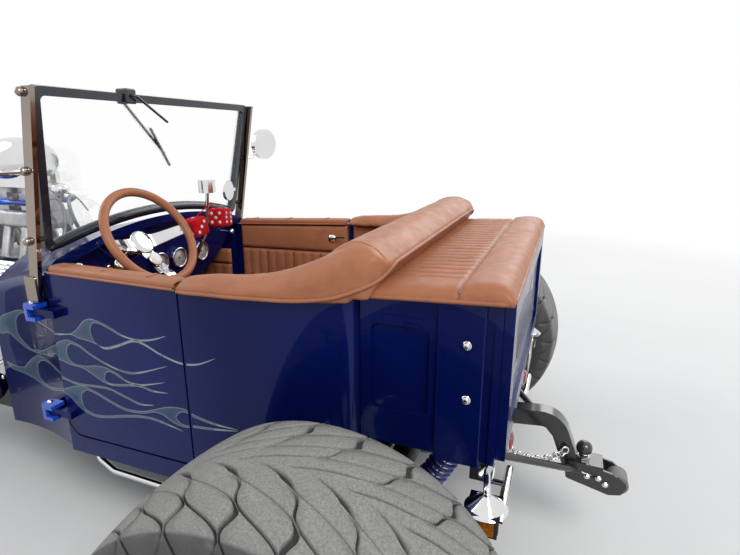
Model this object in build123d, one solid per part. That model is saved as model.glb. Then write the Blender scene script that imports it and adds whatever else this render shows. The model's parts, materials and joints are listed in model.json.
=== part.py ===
from build123d import *
import math
import os

# Street rod roadster, millimetres. +X is the car's left, +Y its rear, +Z up, and the ground is z = 0.
# Stations along the car are measured from the foot of the windscreen, and the finished model is moved
# so that the origin lies on the ground under the middle of the car.

# Body tub
WALL = 30.0
SEAM = 6.0
FIREWALL_Y = -430.0
FIREWALL_HALF_WIDTH = 395.0
FIREWALL_SHOULDER_Z = 775.0
FIREWALL_CROWN_Z = 920.0
FIREWALL_THICKNESS = 20.0
COWL_MID_Y = -200.0
COWL_MID_HALF_WIDTH = 425.0
COWL_MID_SHOULDER_Z = 852.0
COWL_MID_CROWN_Z = 962.0
COWL_REAR_HALF_WIDTH = 500.0
COWL_REAR_SHOULDER_Z = 930.0
COWL_REAR_CROWN_Z = 1014.0
COWL_LIP = 42.0
COWL_FILLET = 55.0
DOOR_FRONT_Y = 17.0
DOOR_REAR_Y = 580.0
DOOR_REAR_HALF_WIDTH = 562.0
QUARTER_BULGE_Y = 780.0
QUARTER_BULGE_HALF_WIDTH = 570.0
TUB_REAR_Y = 1050.0
TUB_REAR_HALF_WIDTH = 530.0
TUB_CORNER_RADIUS = 45.0
BODY_BOTTOM_Z = 295.0
BODY_BOTTOM_SLOPE = 0.104
SILL_HEIGHT = 60.0
RAIL_TOP_Z = 905.0
RAIL_TOP_SLOPE = 0.036
DOOR_CORNER_RADIUS = 60.0
AXLE_OPENING_HALF = 190.0
AXLE_OPENING_TOP_Z = 545.0

# Floor
FLOOR_THICKNESS = 12.0
FLOOR_INSET = 4.0
DECK_INSET = 20.0
DECK_FRONT_Y = 400.0
SEAT_DECK_Z = 565.0
TUNNEL_FRONT_RADIUS = 190.0
TUNNEL_REAR_RADIUS = 100.0
TUNNEL_REAR_Y = 330.0

# Chassis
RAIL_CENTRE_X = 330.0
RAIL_WIDTH = 40.0
RAIL_HEIGHT = 80.0
RAIL_BOTTOM_Z = 265.0
KICK_START_Y = 720.0
KICK_END_Y = 930.0
KICK_BOTTOM_Z = 480.0
RAIL_REAR_Y = 1340.0
CROSS_TUBE = 50.0
TOW_CROSS_Z = 446.0
TOW_CROSS_SIZE = 40.0

# Wheels and tyres
REAR_AXLE_Y = 1093.0
REAR_TYRE_RADIUS = 393.0
REAR_TYRE_WIDTH = 390.0
REAR_TRACK_HALF = 915.0
REAR_RIM_RADIUS = 196.0
REAR_RIM_WIDTH = 330.0
FRONT_AXLE_Y = -1450.0
FRONT_TYRE_RADIUS = 320.0
FRONT_TYRE_WIDTH = 150.0
FRONT_TRACK_HALF = 645.0
FRONT_RIM_RADIUS = 193.0
FRONT_RIM_WIDTH = 115.0
RIM_SEAT = 14.0
TYRE_BEAD = 12.0
SPOKE_COUNT = 5
BEARING_CLEARANCE = 0.05

# Front axle and steering
KINGPIN_HALF = 555.0
KINGPIN_RADIUS = 11.0
KINGPIN_LENGTH = 128.0
KNUCKLE_BOSS_RADIUS = 21.0
AXLE_DROP = 88.0
AXLE_RADIUS = 25.0
SPINDLE_RADIUS = 16.0
STEER_ARM = 150.0
TIE_ROD_RADIUS = 11.0
TIE_ROD_DROP = 56.0
DRAG_LINK_DROP = 112.0
BALL_PIN_RADIUS = 7.0
ROD_EYE_RADIUS = 17.0
STEERING_BOX = (72.0, 84.0, 74.0)
TIE_ROD_TO_RAIL = 22.0
RAIL_FRONT_Y = FRONT_AXLE_Y + STEER_ARM + TIE_ROD_TO_RAIL
PITMAN_PIVOT = (262.0, FRONT_AXLE_Y + 282.0)
RADIUS_ROD_LENGTH = 750.0

# Steering wheel and column
WHEEL_HUB = (240.0, 199.0, 985.0)
WHEEL_TILT = 31.7
WHEEL_RADIUS = 163.0
WHEEL_RIM_RADIUS = 14.5
COLUMN_RADIUS = 22.0
COLUMN_TOP_GAP = 62.0
COLUMN_LENGTH = 785.0

# Windscreen
SCREEN_FOOT_Z = 969.0
SCREEN_TOP_Z = 1425.0
SCREEN_TOP_Y = 84.0
SCREEN_FOOT_HALF = 464.0
SCREEN_TOP_HALF = 490.0
SCREEN_ARCH = 70.0
SCREEN_TUBE = 26.0
GLASS_THICKNESS = 6.0
POST_FOOT_Z = 813.0
POST_X = 513.0
POST_TOP_Z = 1432.0
POST_THICKNESS = 14.0
POST_WIDTH = 36.0
CLAMP_Z = 1207.0
CLAMP_RADIUS = 13.0

# Engine
CRANK_Z = 520.0
ENGINE_REAR_Y = -470.0
BLOCK_LENGTH = 510.0
DECK_DISTANCE = 229.0
DECK_HALF_WIDTH = 75.0
HEAD_HEIGHT = 108.0
COVER_HEIGHT = 66.0
COVER_HALF_WIDTH = 56.0
PAN_DEPTH = 205.0
BANK_ANGLE = 45.0
CARB_BASE_Z = 1000.0

# Radiator
RADIATOR_TO_BLOCK = 185.0
RADIATOR_Y = ENGINE_REAR_Y - BLOCK_LENGTH - RADIATOR_TO_BLOCK
RADIATOR_HALF_WIDTH = 235.0
RADIATOR_BOTTOM_Z = 380.0
RADIATOR_TOP_Z = 950.0
RADIATOR_THICKNESS = 56.0

# Load bed
BED_HALF_WIDTH = 500.0
BED_FRONT_Y = 1052.0
BED_REAR_Y = 1376.0
BED_BOTTOM_Z = 585.0
BED_TOP_Z = 952.0
BED_RISE = 16.0
BED_WALL = 20.0
PANEL_RECESS = 9.0
PANEL_FRONT_MARGIN = 26.0
PANEL_REAR_MARGIN = 20.0
PANEL_BOTTOM_Z = 672.0
PANEL_TOP_Z = 889.0
PANEL_CORNER = 18.0
POST_FRONT_Y = 1238.0
POST_REAR_Y = 1342.0
TAILGATE_THICKNESS = 22.0
TAILGATE_GAP = 0.5
TAILGATE_FRAME = 62.0
TONNEAU_THICKNESS = 34.0
TONNEAU_OVERHANG = 28.0

# Tow gear behind the bed
HITCH_TUBE = 50.0
BALL_RADIUS = 23.8
BALL_CENTRE = (0.0, 1594.0, 372.0)
ROLLER_RADIUS = 30.0
ROLLER_CENTRE = (0.0, 1696.0, 284.0)

CHAIN_LINK = 11.0
CHAIN_WIRE = 3.0
CHAIN_PITCH = 15.1
CHAIN_STUD = 3.5
CHAIN_START = (120.0, 1350.0, 446.0)
CHAIN_END = (37.0, 1538.0, 376.0)
CHAIN_SAG_Z = 330.0

SOFT_GAP = 0.3

# Door hinges
HINGE_HEIGHTS = (785.0, 447.0)
HINGE_PIN_X = 521.0
HINGE_PIN_Y = -6.0
HINGE_PIN_RADIUS = 5.0
HINGE_BARREL = 13.0
HINGE_ROOT = 66.0
HINGE_TALL = 50.0
HINGE_KNUCKLE = 24.0
HINGE_AXIAL_GAP = 0.5

# Door trim
TRIM_THICKNESS = 12.0
PAD_HEIGHT = 26.0
PAD_OVERHANG = 7.0

# Driveshaft
SHAFT_RADIUS = 38.0
GEARBOX_TAIL_Y = ENGINE_REAR_Y + 655.0
PINION_REACH = 200.0

# Dash
DASH_HALF = 440.0
DASH_Y = (-4.0, 8.0)
DASH_END_Z = 884.0
DASH_LOW_Z = 690.0
GAUGE_RADIUS = 41.0
GAUGE_Z = 828.0
GAUGE_XS = (30.0, -75.0, -210.0)

# Mirrors
MIRROR_HEAD = (688.0, 55.0, 1267.0)
MIRROR_RADIUS = 70.0
MIRROR_DEPTH = 24.0

# Shift lever
SHIFTER_BASE = (-14.0, 72.0)
SHIFTER_BEND = (-30.0, 205.0, 958.0)
SHIFTER_TOP = (-30.0, 222.0, 1102.0)
KNOB_RADIUS = 31.0
KNOB_HEIGHT = 46.0

# Dice
DIE_SIZE = 70.0
DICE = (
    {"centre": (-77.0, 237.0, 1003.0), "turn": (4.0, -6.0, 8.0)},
    {"centre": (18.0, 194.0, 978.0), "turn": (8.0, 7.0, -8.0)},
)

# Seat
SEAT_SIDE_GAP = 29.0
SEAT_CUSHION = 92.0
SEAT_LIP = 60.0
SEAT_BACK_Y = 800.0

# Padded roll: half-widths and height above the body's edge at stations along the arms
BOLSTER_STATIONS = (
    {"y": 588.0, "outer": 578.0, "inner": 498.0, "rise": 30.0},
    {"y": 740.0, "outer": 586.0, "inner": 474.0, "rise": 44.0},
    {"y": 890.0, "outer": 580.0, "inner": 452.0, "rise": 67.0},
    {"y": 980.0, "outer": 569.0, "inner": 436.0, "rise": 101.0},
    {"y": 1045.0, "outer": 554.0, "inner": 424.0, "rise": 129.0},
)
ROLL_BASE_Y = 1088.0
ROLL_FRONT_Y = 930.0
ROLL_PIPING = (1128.0, 1028.0)
ROLL_CREST = (1045.0, 1072.0)
ROLL_LIP = (960.0, 1024.0)
ROLL_CORNER = 72.0

# Mounts
GEARBOX_MOUNT_Y = -200.0
SPRING_TOP_Z = RAIL_BOTTOM_Z + RAIL_HEIGHT + 40.0

# Front spring
SPRING_EYE_X = 355.0
SPRING_ARCH = 78.0

# Front brakes
BRAKE_DISC_X = KINGPIN_HALF + 55.0
BRAKE_DISC_RADIUS = 130.0

# Hubs
REAR_HUB_RADIUS = 88.0
REAR_WHEEL_FACE = 60.0
REAR_HUB_DEPTH = 60.0
REAR_SHAFT_RADIUS = 20.0
FRONT_HUB_RADIUS = 62.0
FRONT_WHEEL_FACE = 22.0

# Rear axle
DIFF_RADIUS = 135.0
AXLE_TUBE_RADIUS = 38.0
BACKING_X = 778.0

# Rear radius rods
REAR_ROD_X = 452.0

# Air scoop
SCOOP_BASE_Z = CARB_BASE_Z + 100.0
SCOOP_TOP_Z = 1300.0
SCOOP_FRONT_Y = -880.0
SCOOP_REAR_Y = -528.0

# Exhaust
PORT_SPACING = 112.0
COLLECTOR = (432.0, -505.0, 400.0)

# Headlamps
LAMP_CENTRE = (368.0, -1150.0, 740.0)
LAMP_RADIUS = 92.0

# Lanterns
LANTERN = (560.0, 1372.0, 500.0)

# Number plate
PLATE_CENTRE_X = 330.0
PLATE_BOLT_SPACING = 130.0
PLATE_BOLT_RADIUS = 3.5

# Wheelie bar
PLATE_HALF = 38.0
PLATE_THICKNESS = 8.0
ROLLER_PIN = 8.0
STRUT_X = 236.0

FRONT_END_Y = FRONT_AXLE_Y - FRONT_TYRE_RADIUS
REAR_END_Y = ROLLER_CENTRE[1] + ROLLER_RADIUS
MIDDLE_Y = (FRONT_END_Y + REAR_END_Y) / 2


def save(name, *solids):
    """Write one node with its solids, moved so that the origin is under the middle of the car."""
    flat = [piece for item in solids for piece in item.solids()]
    placed = [Pos(0, -MIDDLE_Y, 0) * piece for piece in flat]
    shape = placed[0] if len(placed) == 1 else Compound(placed)
    export_step(shape, f"parts/{name}.step")


def block(x0, x1, y0, y1, z0, z1):
    """A box between two corners."""
    size = Box(x1 - x0, y1 - y0, z1 - z0)
    return Pos((x0 + x1) / 2, (y0 + y1) / 2, (z0 + z1) / 2) * size


def rod(start, end, radius):
    """A straight round bar between two points."""
    start = Vector(*start)
    end = Vector(*end)
    along = end - start
    return Solid.make_cylinder(radius, along.length, Plane(origin=start, z_dir=along))


def bent_tube(points, radius, bend):
    """A round bar that follows straight runs joined by bends."""
    path = FilletPolyline(*points, radius=bend)
    start = Vector(*points[0])
    along = Vector(*points[1]) - start
    section = Plane(origin=start, z_dir=along) * Circle(radius)
    return sweep(section, path=path)


def disc(centre, axis, radius, length):
    """A cylinder centred on a point."""
    plane = Plane(origin=centre, z_dir=axis).offset(-length / 2)
    return Solid.make_cylinder(radius, length, plane)


def ring(centre, axis, outer, inner, length):
    """A plain ring centred on a point."""
    return disc(centre, axis, outer, length) - disc(centre, axis, inner, length + 2)


def mirrored(shape):
    """The same piece on the car's right side."""
    return mirror(shape, about=Plane.YZ)


def pair(shape):
    """The left piece and its mirror image."""
    return [shape, mirrored(shape)]


def side_plate(points, x0, x1):
    """A plate cut to a side view outline of (y, z) points, from x0 to x1."""
    face = make_face(Polyline([(y, z) for y, z in points], close=True))
    return extrude(Plane(origin=(x0, 0, 0), x_dir=(0, 1, 0), z_dir=(1, 0, 0)) * face, amount=x1 - x0)


def front_plate(points, y0, y1):
    """A plate cut to a front view outline of (x, z) points, from y0 to y1."""
    face = make_face(Polyline([(x, z) for x, z in points], close=True))
    plane = Plane(origin=(0, y1, 0), x_dir=(1, 0, 0), z_dir=(0, -1, 0))
    return extrude(plane * face, amount=y1 - y0)


def wheel_disc(profile):
    """A solid of revolution about the X axis from (x, radius) points."""
    face = make_face(Polyline([(x, r) for x, r in profile], close=True))
    return revolve(Plane.XY * face, axis=Axis.X)


def body_bottom(y):
    """Height of the lower edge of the body side."""
    return BODY_BOTTOM_Z + BODY_BOTTOM_SLOPE * y


def body_top(y):
    """Height of the top edge of the doors and the rear body side."""
    return RAIL_TOP_Z + RAIL_TOP_SLOPE * y


def bed_top(y):
    """Height of the bed's top edge, which rises towards the tailgate."""
    return BED_TOP_Z + BED_RISE * (y - BED_FRONT_Y) / (BED_REAR_Y - BED_FRONT_Y)


def side_x(y):
    """Half-width of the body beside the doors."""
    share = y / DOOR_REAR_Y
    return COWL_REAR_HALF_WIDTH + (DOOR_REAR_HALF_WIDTH - COWL_REAR_HALF_WIDTH) * share


def cowl_section(y, half_width, shoulder, crown, inset, drop):
    """A cross-section of the cowl: flat bottom, upright sides and an arched top."""
    w = half_width - inset
    low = drop
    top = shoulder - inset
    sides = [Line((w, top), (w, low)), Line((w, low), (-w, low)), Line((-w, low), (-w, top))]
    arch = ThreePointArc((-w, top), (0, crown - inset), (w, top))
    face = make_face(Curve() + sides + [arch])
    corners = face.vertices().sort_by(Axis.Y)[-2:]
    face = fillet(corners, COWL_FILLET - inset / 2)
    return Plane(origin=(0, y, 0), x_dir=(1, 0, 0), z_dir=(0, -1, 0)) * face


def cowl_loft(inset, front_y, low_front, low_rear):
    """The cowl's outer form, or with an inset the hollow inside it."""
    rear_y = COWL_LIP
    stations = (
        (front_y, FIREWALL_HALF_WIDTH, FIREWALL_SHOULDER_Z, FIREWALL_CROWN_Z),
        (COWL_MID_Y, COWL_MID_HALF_WIDTH, COWL_MID_SHOULDER_Z, COWL_MID_CROWN_Z),
        (rear_y, side_x(rear_y), COWL_REAR_SHOULDER_Z, COWL_REAR_CROWN_Z),
    )
    span = rear_y - front_y
    sections = []
    for y, half_width, shoulder, crown in stations:
        low = low_front + (low_rear - low_front) * (y - front_y) / span
        sections.append(cowl_section(y, half_width, shoulder, crown, inset, low))
    return loft(sections)


def cowl_outer():
    """The whole outer form of the cowl."""
    return cowl_loft(0, FIREWALL_Y, body_bottom(FIREWALL_Y), body_bottom(COWL_LIP))


def make_cowl():
    """Cowl with firewall, open below and behind."""
    inner_front = FIREWALL_Y + FIREWALL_THICKNESS
    hollow = cowl_loft(WALL, inner_front, 0, 0)
    shell = cowl_outer() - hollow
    reach = side_x(COWL_LIP) + 10
    door_top = body_top(DOOR_FRONT_Y)
    shell -= block(-reach, reach, DOOR_FRONT_Y, COWL_LIP + 5, 0, door_top + SEAM)
    inside = COWL_MID_HALF_WIDTH - 2 * WALL
    shell -= block(-inside, inside, inner_front, COWL_LIP + 5, 0, body_bottom(COWL_LIP) + 20)
    tunnel = disc((0, FIREWALL_Y, CRANK_Z), (0, 1, 0), TUNNEL_FRONT_RADIUS, 100)
    slot = block(-TUNNEL_FRONT_RADIUS, TUNNEL_FRONT_RADIUS, FIREWALL_Y - 50, FIREWALL_Y + 50, 0, CRANK_Z)
    column_hole = rod(column_point(300), column_point(900), COLUMN_RADIUS + 3)
    rail_high = RAIL_BOTTOM_Z + RAIL_HEIGHT + SOFT_GAP
    rail_half = RAIL_WIDTH / 2 + SOFT_GAP
    shell = shell - tunnel - slot - column_hole
    for side in (-1, 1):
        centre = side * RAIL_CENTRE_X
        shell -= block(centre - rail_half, centre + rail_half, FIREWALL_Y - 50, FIREWALL_Y + 50, 0, rail_high)
    return shell.solids().sort_by(SortBy.VOLUME)[-1]


def plan_face(inset):
    """Plan of the tub behind the cowl, or with an inset the space inside it."""
    half0 = side_x(DOOR_FRONT_Y) - inset
    half1 = DOOR_REAR_HALF_WIDTH - inset
    bulge = QUARTER_BULGE_HALF_WIDTH - inset
    half2 = TUB_REAR_HALF_WIDTH - inset
    y0 = DOOR_FRONT_Y
    y1 = DOOR_REAR_Y
    y2 = TUB_REAR_Y - inset
    edges = [
        Line((half0, y0), (half1, y1)),
        ThreePointArc((half1, y1), (bulge, QUARTER_BULGE_Y), (half2, y2)),
        Line((half2, y2), (-half2, y2)),
        ThreePointArc((-half2, y2), (-bulge, QUARTER_BULGE_Y), (-half1, y1)),
        Line((-half1, y1), (-half0, y0)),
        Line((-half0, y0), (half0, y0)),
    ]
    face = make_face(Curve() + edges)
    corners = face.vertices().sort_by(Axis.Y)[-2:]
    return fillet(corners, TUB_CORNER_RADIUS - inset / 2)


def tub_walls():
    """The body walls behind the cowl, as thick as the whole wall and of full height."""
    return extrude(plan_face(0) - plan_face(WALL), amount=1200)


def side_slab():
    """The left wall alone."""
    return tub_walls() & block(0, 800, DOOR_FRONT_Y, QUARTER_BULGE_Y, 0, 1200)


def door_outline(gap, reach):
    """Side view of the door opening, or with a gap the door itself. The front lower corner is round."""
    y0 = DOOR_FRONT_Y + gap
    y1 = DOOR_REAR_Y - gap
    low0 = body_bottom(y0) + SILL_HEIGHT + gap
    low1 = body_bottom(y1) + SILL_HEIGHT + gap
    points = [(y0, body_top(y0) + reach), (y0, low0), (y1, low1), (y1, body_top(y1) + reach)]
    face = make_face(Polyline(points, close=True))
    corner = face.vertices().sort_by(Axis.Y)[0]
    face = fillet(corner, DOOR_CORNER_RADIUS - gap)
    plane = Plane(origin=(0, 0, 0), x_dir=(0, 1, 0), z_dir=(1, 0, 0))
    return extrude(plane * face, amount=800)


def make_rear_body():
    """Both body sides with the sills, joined by the panel behind the seat."""
    y0 = DOOR_FRONT_Y
    y1 = TUB_REAR_Y
    outline = [(y0, body_bottom(y0)), (y1, body_bottom(y1)), (y1, body_top(y1)), (y0, body_top(y0))]
    opening = door_outline(0, 40)
    tub = (tub_walls() & side_plate(outline, -800, 800)) - opening - mirrored(opening)
    half = RAIL_WIDTH / 2 + 4
    for side in (-1, 1):
        x = side * RAIL_CENTRE_X
        low = KICK_BOTTOM_Z
        tub -= block(x - half, x + half, y1 - WALL - 5, y1 + 5, low - 3, low + RAIL_HEIGHT + 3)
    tub -= block(-AXLE_OPENING_HALF, AXLE_OPENING_HALF, y1 - WALL - 5, y1 + 5, 0, AXLE_OPENING_TOP_Z)
    return tub.solids().sort_by(SortBy.VOLUME)[-1]


def make_door():
    """Left door: the wall's full thickness, from the sill to the body's top edge."""
    reach = [
        (DOOR_FRONT_Y - 50, 0),
        (DOOR_REAR_Y + 50, 0),
        (DOOR_REAR_Y + 50, body_top(DOOR_REAR_Y + 50)),
        (DOOR_FRONT_Y - 50, body_top(DOOR_FRONT_Y - 50)),
    ]
    door = side_slab() & door_outline(SEAM, 0) & side_plate(reach, 0, 800)
    return door.solids()[0]


def hinge_fixed(z):
    """Body half of a door hinge: a forked block on the cowl with the pin."""
    pin_x = HINGE_PIN_X
    pin_y = HINGE_PIN_Y
    half = HINGE_TALL / 2
    body = block(pin_x - HINGE_ROOT, pin_x, pin_y - 38, pin_y - 14, z - half, z + half)
    body += block(pin_x - 6, pin_x + HINGE_BARREL, pin_y - 38, pin_y, z - half, z + half)
    body += disc((pin_x, pin_y, z), (0, 0, 1), HINGE_BARREL, HINGE_TALL)
    gap = HINGE_KNUCKLE + 2 * HINGE_AXIAL_GAP
    body -= disc((pin_x, pin_y, z), (0, 0, 1), HINGE_BARREL + 6, gap)
    body -= block(pin_x, pin_x + 40, pin_y, pin_y + 40, z - gap / 2, z + gap / 2)
    body += disc((pin_x, pin_y, z), (0, 0, 1), HINGE_PIN_RADIUS, HINGE_TALL)
    return body


def make_cowl_with_hinges():
    """Cowl with the fixed halves of all four door hinges."""
    body = make_cowl()
    for z in HINGE_HEIGHTS:
        hinge = hinge_fixed(z)
        body = body + hinge + mirrored(hinge)
    return body.solids().sort_by(SortBy.VOLUME)[-1]


def hinge_leaf(z):
    """Door half of a hinge: the middle knuckle and the leaf that seats on the door's skin."""
    pin_x = HINGE_PIN_X
    pin_y = HINGE_PIN_Y
    half = HINGE_KNUCKLE / 2
    leaf = disc((pin_x, pin_y, z), (0, 0, 1), HINGE_BARREL, HINGE_KNUCKLE)
    leaf += block(pin_x - 4, pin_x + 10, pin_y, pin_y + 78, z - half, z + half)
    leaf += block(pin_x - 30, pin_x + 10, pin_y + 34, pin_y + 78, z - half, z + half)
    hole = HINGE_PIN_RADIUS + BEARING_CLEARANCE
    leaf -= disc((pin_x, pin_y, z), (0, 0, 1), hole, HINGE_KNUCKLE + 4)
    return leaf


def make_door_set():
    """Left door with its hinge leaves and a trimmed inside panel."""
    door = make_door()
    leaves = [hinge_leaf(z) for z in HINGE_HEIGHTS]
    for leaf in leaves:
        door = door + (leaf - side_slab())
    return door.solids().sort_by(SortBy.VOLUME)[-1]


def make_door_trim():
    """Padded inner panel and top pad of the left door."""
    y0 = DOOR_FRONT_Y + SEAM + 40
    y1 = DOOR_REAR_Y - SEAM - 4
    inner = []
    for depth in (WALL + SOFT_GAP, WALL + TRIM_THICKNESS):
        inner.append([(side_x(y0) - depth, y0), (side_x(y1) - depth, y1)])
    plan = make_face(Polyline([*inner[0], *reversed(inner[1])], close=True))
    low0 = body_bottom(y0) + SILL_HEIGHT + 60
    low1 = body_bottom(y1) + SILL_HEIGHT + 40
    outline = [(y0, low0), (y1, low1), (y1, body_top(y1) - 4), (y0, body_top(y0) - 4)]
    panel = extrude(plan, amount=1000) & side_plate(outline, 0, 800)
    return panel.solids()[0]


def make_door_pad():
    """Rolled leather pad along the top of the left door."""
    y0 = COWL_LIP + SEAM + 2
    y1 = DOOR_REAR_Y - SEAM
    outer = [(side_x(y0) + PAD_OVERHANG, y0), (side_x(y1) + PAD_OVERHANG, y1)]
    inner = [(side_x(y) - WALL - TRIM_THICKNESS - 8, y) for y in (y1, y0)]
    plan = make_face(Polyline([*outer, *inner], close=True))
    low = [(y, body_top(y) + SOFT_GAP) for y in (y0, y1)]
    high = [(y, body_top(y) + PAD_HEIGHT) for y in (y1, y0)]
    pad = extrude(plan, amount=1100) & side_plate([*low, *high], 0, 800)
    long_edges = pad.edges().filter_by(lambda e: e.length > 200)
    return fillet(long_edges, 9).solids()[0]


def cabin(inset):
    """The space between the walls, from the firewall to the back panel."""
    front = FIREWALL_Y + FIREWALL_THICKNESS
    ahead = cowl_loft(WALL + inset, front, 0, 0) & block(-800, 800, front, DOOR_FRONT_Y, 0, 1200)
    behind = extrude(plan_face(WALL + inset), amount=1200)
    return ahead, behind


def tunnel_cone(wall):
    """Tapering round top of the gearbox tunnel, or with a wall the hollow inside it."""
    front = FIREWALL_Y + FIREWALL_THICKNESS
    length = TUNNEL_REAR_Y - front - wall
    plane = Plane(origin=(0, front, CRANK_Z), z_dir=(0, 1, 0))
    return Solid.make_cone(TUNNEL_FRONT_RADIUS - wall, TUNNEL_REAR_RADIUS - wall, length, plane)


def tunnel_sides(wall, low):
    """The tunnel's upright sides below its round top."""
    y0 = FIREWALL_Y + FIREWALL_THICKNESS
    y1 = TUNNEL_REAR_Y - wall
    half0 = TUNNEL_FRONT_RADIUS - wall
    half1 = TUNNEL_REAR_RADIUS - wall
    plan = make_face(Polyline([(half0, y0), (half1, y1), (-half1, y1), (-half0, y0)], close=True))
    return extrude(Pos(0, 0, low) * plan, amount=CRANK_Z - low)


def make_floor():
    """Floor with the gearbox tunnel, and the raised deck under the seat."""
    t = FLOOR_THICKNESS
    low = RAIL_BOTTOM_Z + RAIL_HEIGHT
    front = FIREWALL_Y + FIREWALL_THICKNESS
    rear = TUB_REAR_Y - WALL
    ahead, behind = cabin(FLOOR_INSET)
    plate = block(-700, 700, front, DECK_FRONT_Y, low, low + t)
    floor = (plate & ahead) + (plate & behind)
    riser = block(-700, 700, DECK_FRONT_Y - t, DECK_FRONT_Y, low, SEAT_DECK_Z + t)
    deck = block(-700, 700, DECK_FRONT_Y - t, rear, SEAT_DECK_Z, SEAT_DECK_Z + t)
    inner = extrude(plan_face(WALL + DECK_INSET), amount=1200)
    floor = floor + ((riser + deck) & inner)
    tunnel = tunnel_cone(0) + tunnel_sides(0, low)
    tunnel &= block(-300, 300, front, TUNNEL_REAR_Y, low, 1000)
    floor = floor + tunnel - tunnel_cone(t) - tunnel_sides(t, 0)
    floor -= rod(shaft_point(0), shaft_point(1), SHAFT_RADIUS + 10)
    return floor.solids().sort_by(SortBy.VOLUME)[-1]


def shaft_point(share):
    """A point on the driveshaft's axis, from the gearbox tail to just ahead of the rear axle."""
    start = Vector(0, GEARBOX_TAIL_Y, CRANK_Z)
    end = Vector(0, REAR_AXLE_Y - PINION_REACH - 12, REAR_TYRE_RADIUS)
    return start + (end - start) * share


def make_dash():
    """Lens-shaped dash panel under the cowl's rear edge."""
    top = ThreePointArc((-DASH_HALF, DASH_END_Z), (0, COWL_REAR_CROWN_Z), (DASH_HALF, DASH_END_Z))
    low = ThreePointArc((DASH_HALF, DASH_END_Z), (0, DASH_LOW_Z), (-DASH_HALF, DASH_END_Z))
    face = make_face(Curve() + [top, low])
    plane = Plane(origin=(0, DASH_Y[1], 0), x_dir=(1, 0, 0), z_dir=(0, -1, 0))
    panel = extrude(plane * face, amount=DASH_Y[1] - DASH_Y[0])
    panel &= cowl_loft(WALL + SOFT_GAP, FIREWALL_Y + FIREWALL_THICKNESS, 0, 0)
    return panel - rod(column_point(0), column_point(600), COLUMN_RADIUS + 2)


def make_gauges():
    """Gauge cases on the dash, knobs at both ends and a row of switches and keys."""
    face_y = DASH_Y[1]
    pieces = []
    for x in GAUGE_XS:
        case = disc((x, face_y + 8, GAUGE_Z), (0, 1, 0), GAUGE_RADIUS, 16)
        case -= disc((x, face_y + 16, GAUGE_Z), (0, 1, 0), GAUGE_RADIUS - 6, 12)
        pieces.append(case)
    for side in (-1, 1):
        x = side * 400
        z = DASH_END_Z - 2
        stem = rod((x, face_y, z), (x, face_y + 26, z), 6)
        knob = Pos(x, face_y + 34, z) * Sphere(13)
        pieces.append((stem + knob).solids()[0])
    for x, z in ((352, 868), (330, 838), (302, 862)):
        switch = disc((x, face_y + 4, z), (0, 1, 0), 9, 8) + rod((x, face_y, z), (x, face_y + 24, z), 3.5)
        pieces.append(switch.solids()[0])
    return pieces


def column_point(s):
    """A point on the steering column's axis, a distance s ahead of the wheel's hub."""
    tilt = math.radians(WHEEL_TILT)
    x, y, z = WHEEL_HUB
    return (x, y - s * math.cos(tilt), z - s * math.sin(tilt))


def make_column():
    """Steering column, universal joint, lower shaft and steering box."""
    column = rod(column_point(COLUMN_TOP_GAP), column_point(COLUMN_LENGTH), COLUMN_RADIUS)
    end = column_point(COLUMN_LENGTH)
    px, py = PITMAN_PIVOT
    w, length, h = STEERING_BOX
    low = RAIL_BOTTOM_Z + 2
    shaft_z = low + h / 2
    shaft_x = px + 14
    bend = (shaft_x, ENGINE_REAR_Y - 190, shaft_z)
    lower = bent_tube([end, bend, (shaft_x, py + length / 2 - 5, shaft_z)], 10, 60)
    joint = Pos(*end) * Sphere(COLUMN_RADIUS + 4)
    box = fillet(block(px - w / 2, px + w / 2, py - length / 2, py + length / 2, low, low + h).edges(), 8)
    foot = block(px, RAIL_CENTRE_X - RAIL_WIDTH / 2, py - 30, py + 30, low + 15, low + h - 15)
    return (column + joint + lower + box + foot).solids().sort_by(SortBy.VOLUME)[-1]


def wheel_plane():
    """Plane of the steering wheel: its normal points along the column to the driver."""
    tilt = math.radians(WHEEL_TILT)
    return Plane(origin=WHEEL_HUB, x_dir=(1, 0, 0), z_dir=(0, math.cos(tilt), math.sin(tilt)))


def make_steering_rim():
    """Leather-wrapped rim."""
    return wheel_plane() * Torus(WHEEL_RADIUS, WHEEL_RIM_RADIUS)


def make_steering_hub():
    """Chrome hub with three flat spokes that end on the rim."""
    plane = wheel_plane()
    reach = WHEEL_RADIUS - WHEEL_RIM_RADIUS + 4
    hub = plane.offset(-COLUMN_TOP_GAP + 1) * extrude(Circle(COLUMN_RADIUS + 4), amount=COLUMN_TOP_GAP - 14)
    hub += plane.offset(-14) * extrude(Circle(34), amount=16)
    hub += plane.offset(0) * extrude(Circle(24), amount=12)
    for angle in (30, 150, 270):
        spoke = Rot(0, 0, angle) * Pos(reach / 2, 0, -6) * Box(reach, 34, 5)
        hub += plane * spoke
    return (hub - make_steering_rim()).solids().sort_by(SortBy.VOLUME)[-1]


def screen_plane():
    """Raked plane of the windscreen: local x is the car's +X and local y runs up the glass."""
    rise = SCREEN_TOP_Z - SCREEN_FOOT_Z
    return Plane(origin=(0, 0, SCREEN_FOOT_Z), x_dir=(1, 0, 0), z_dir=(0, -rise, SCREEN_TOP_Y))


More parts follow.
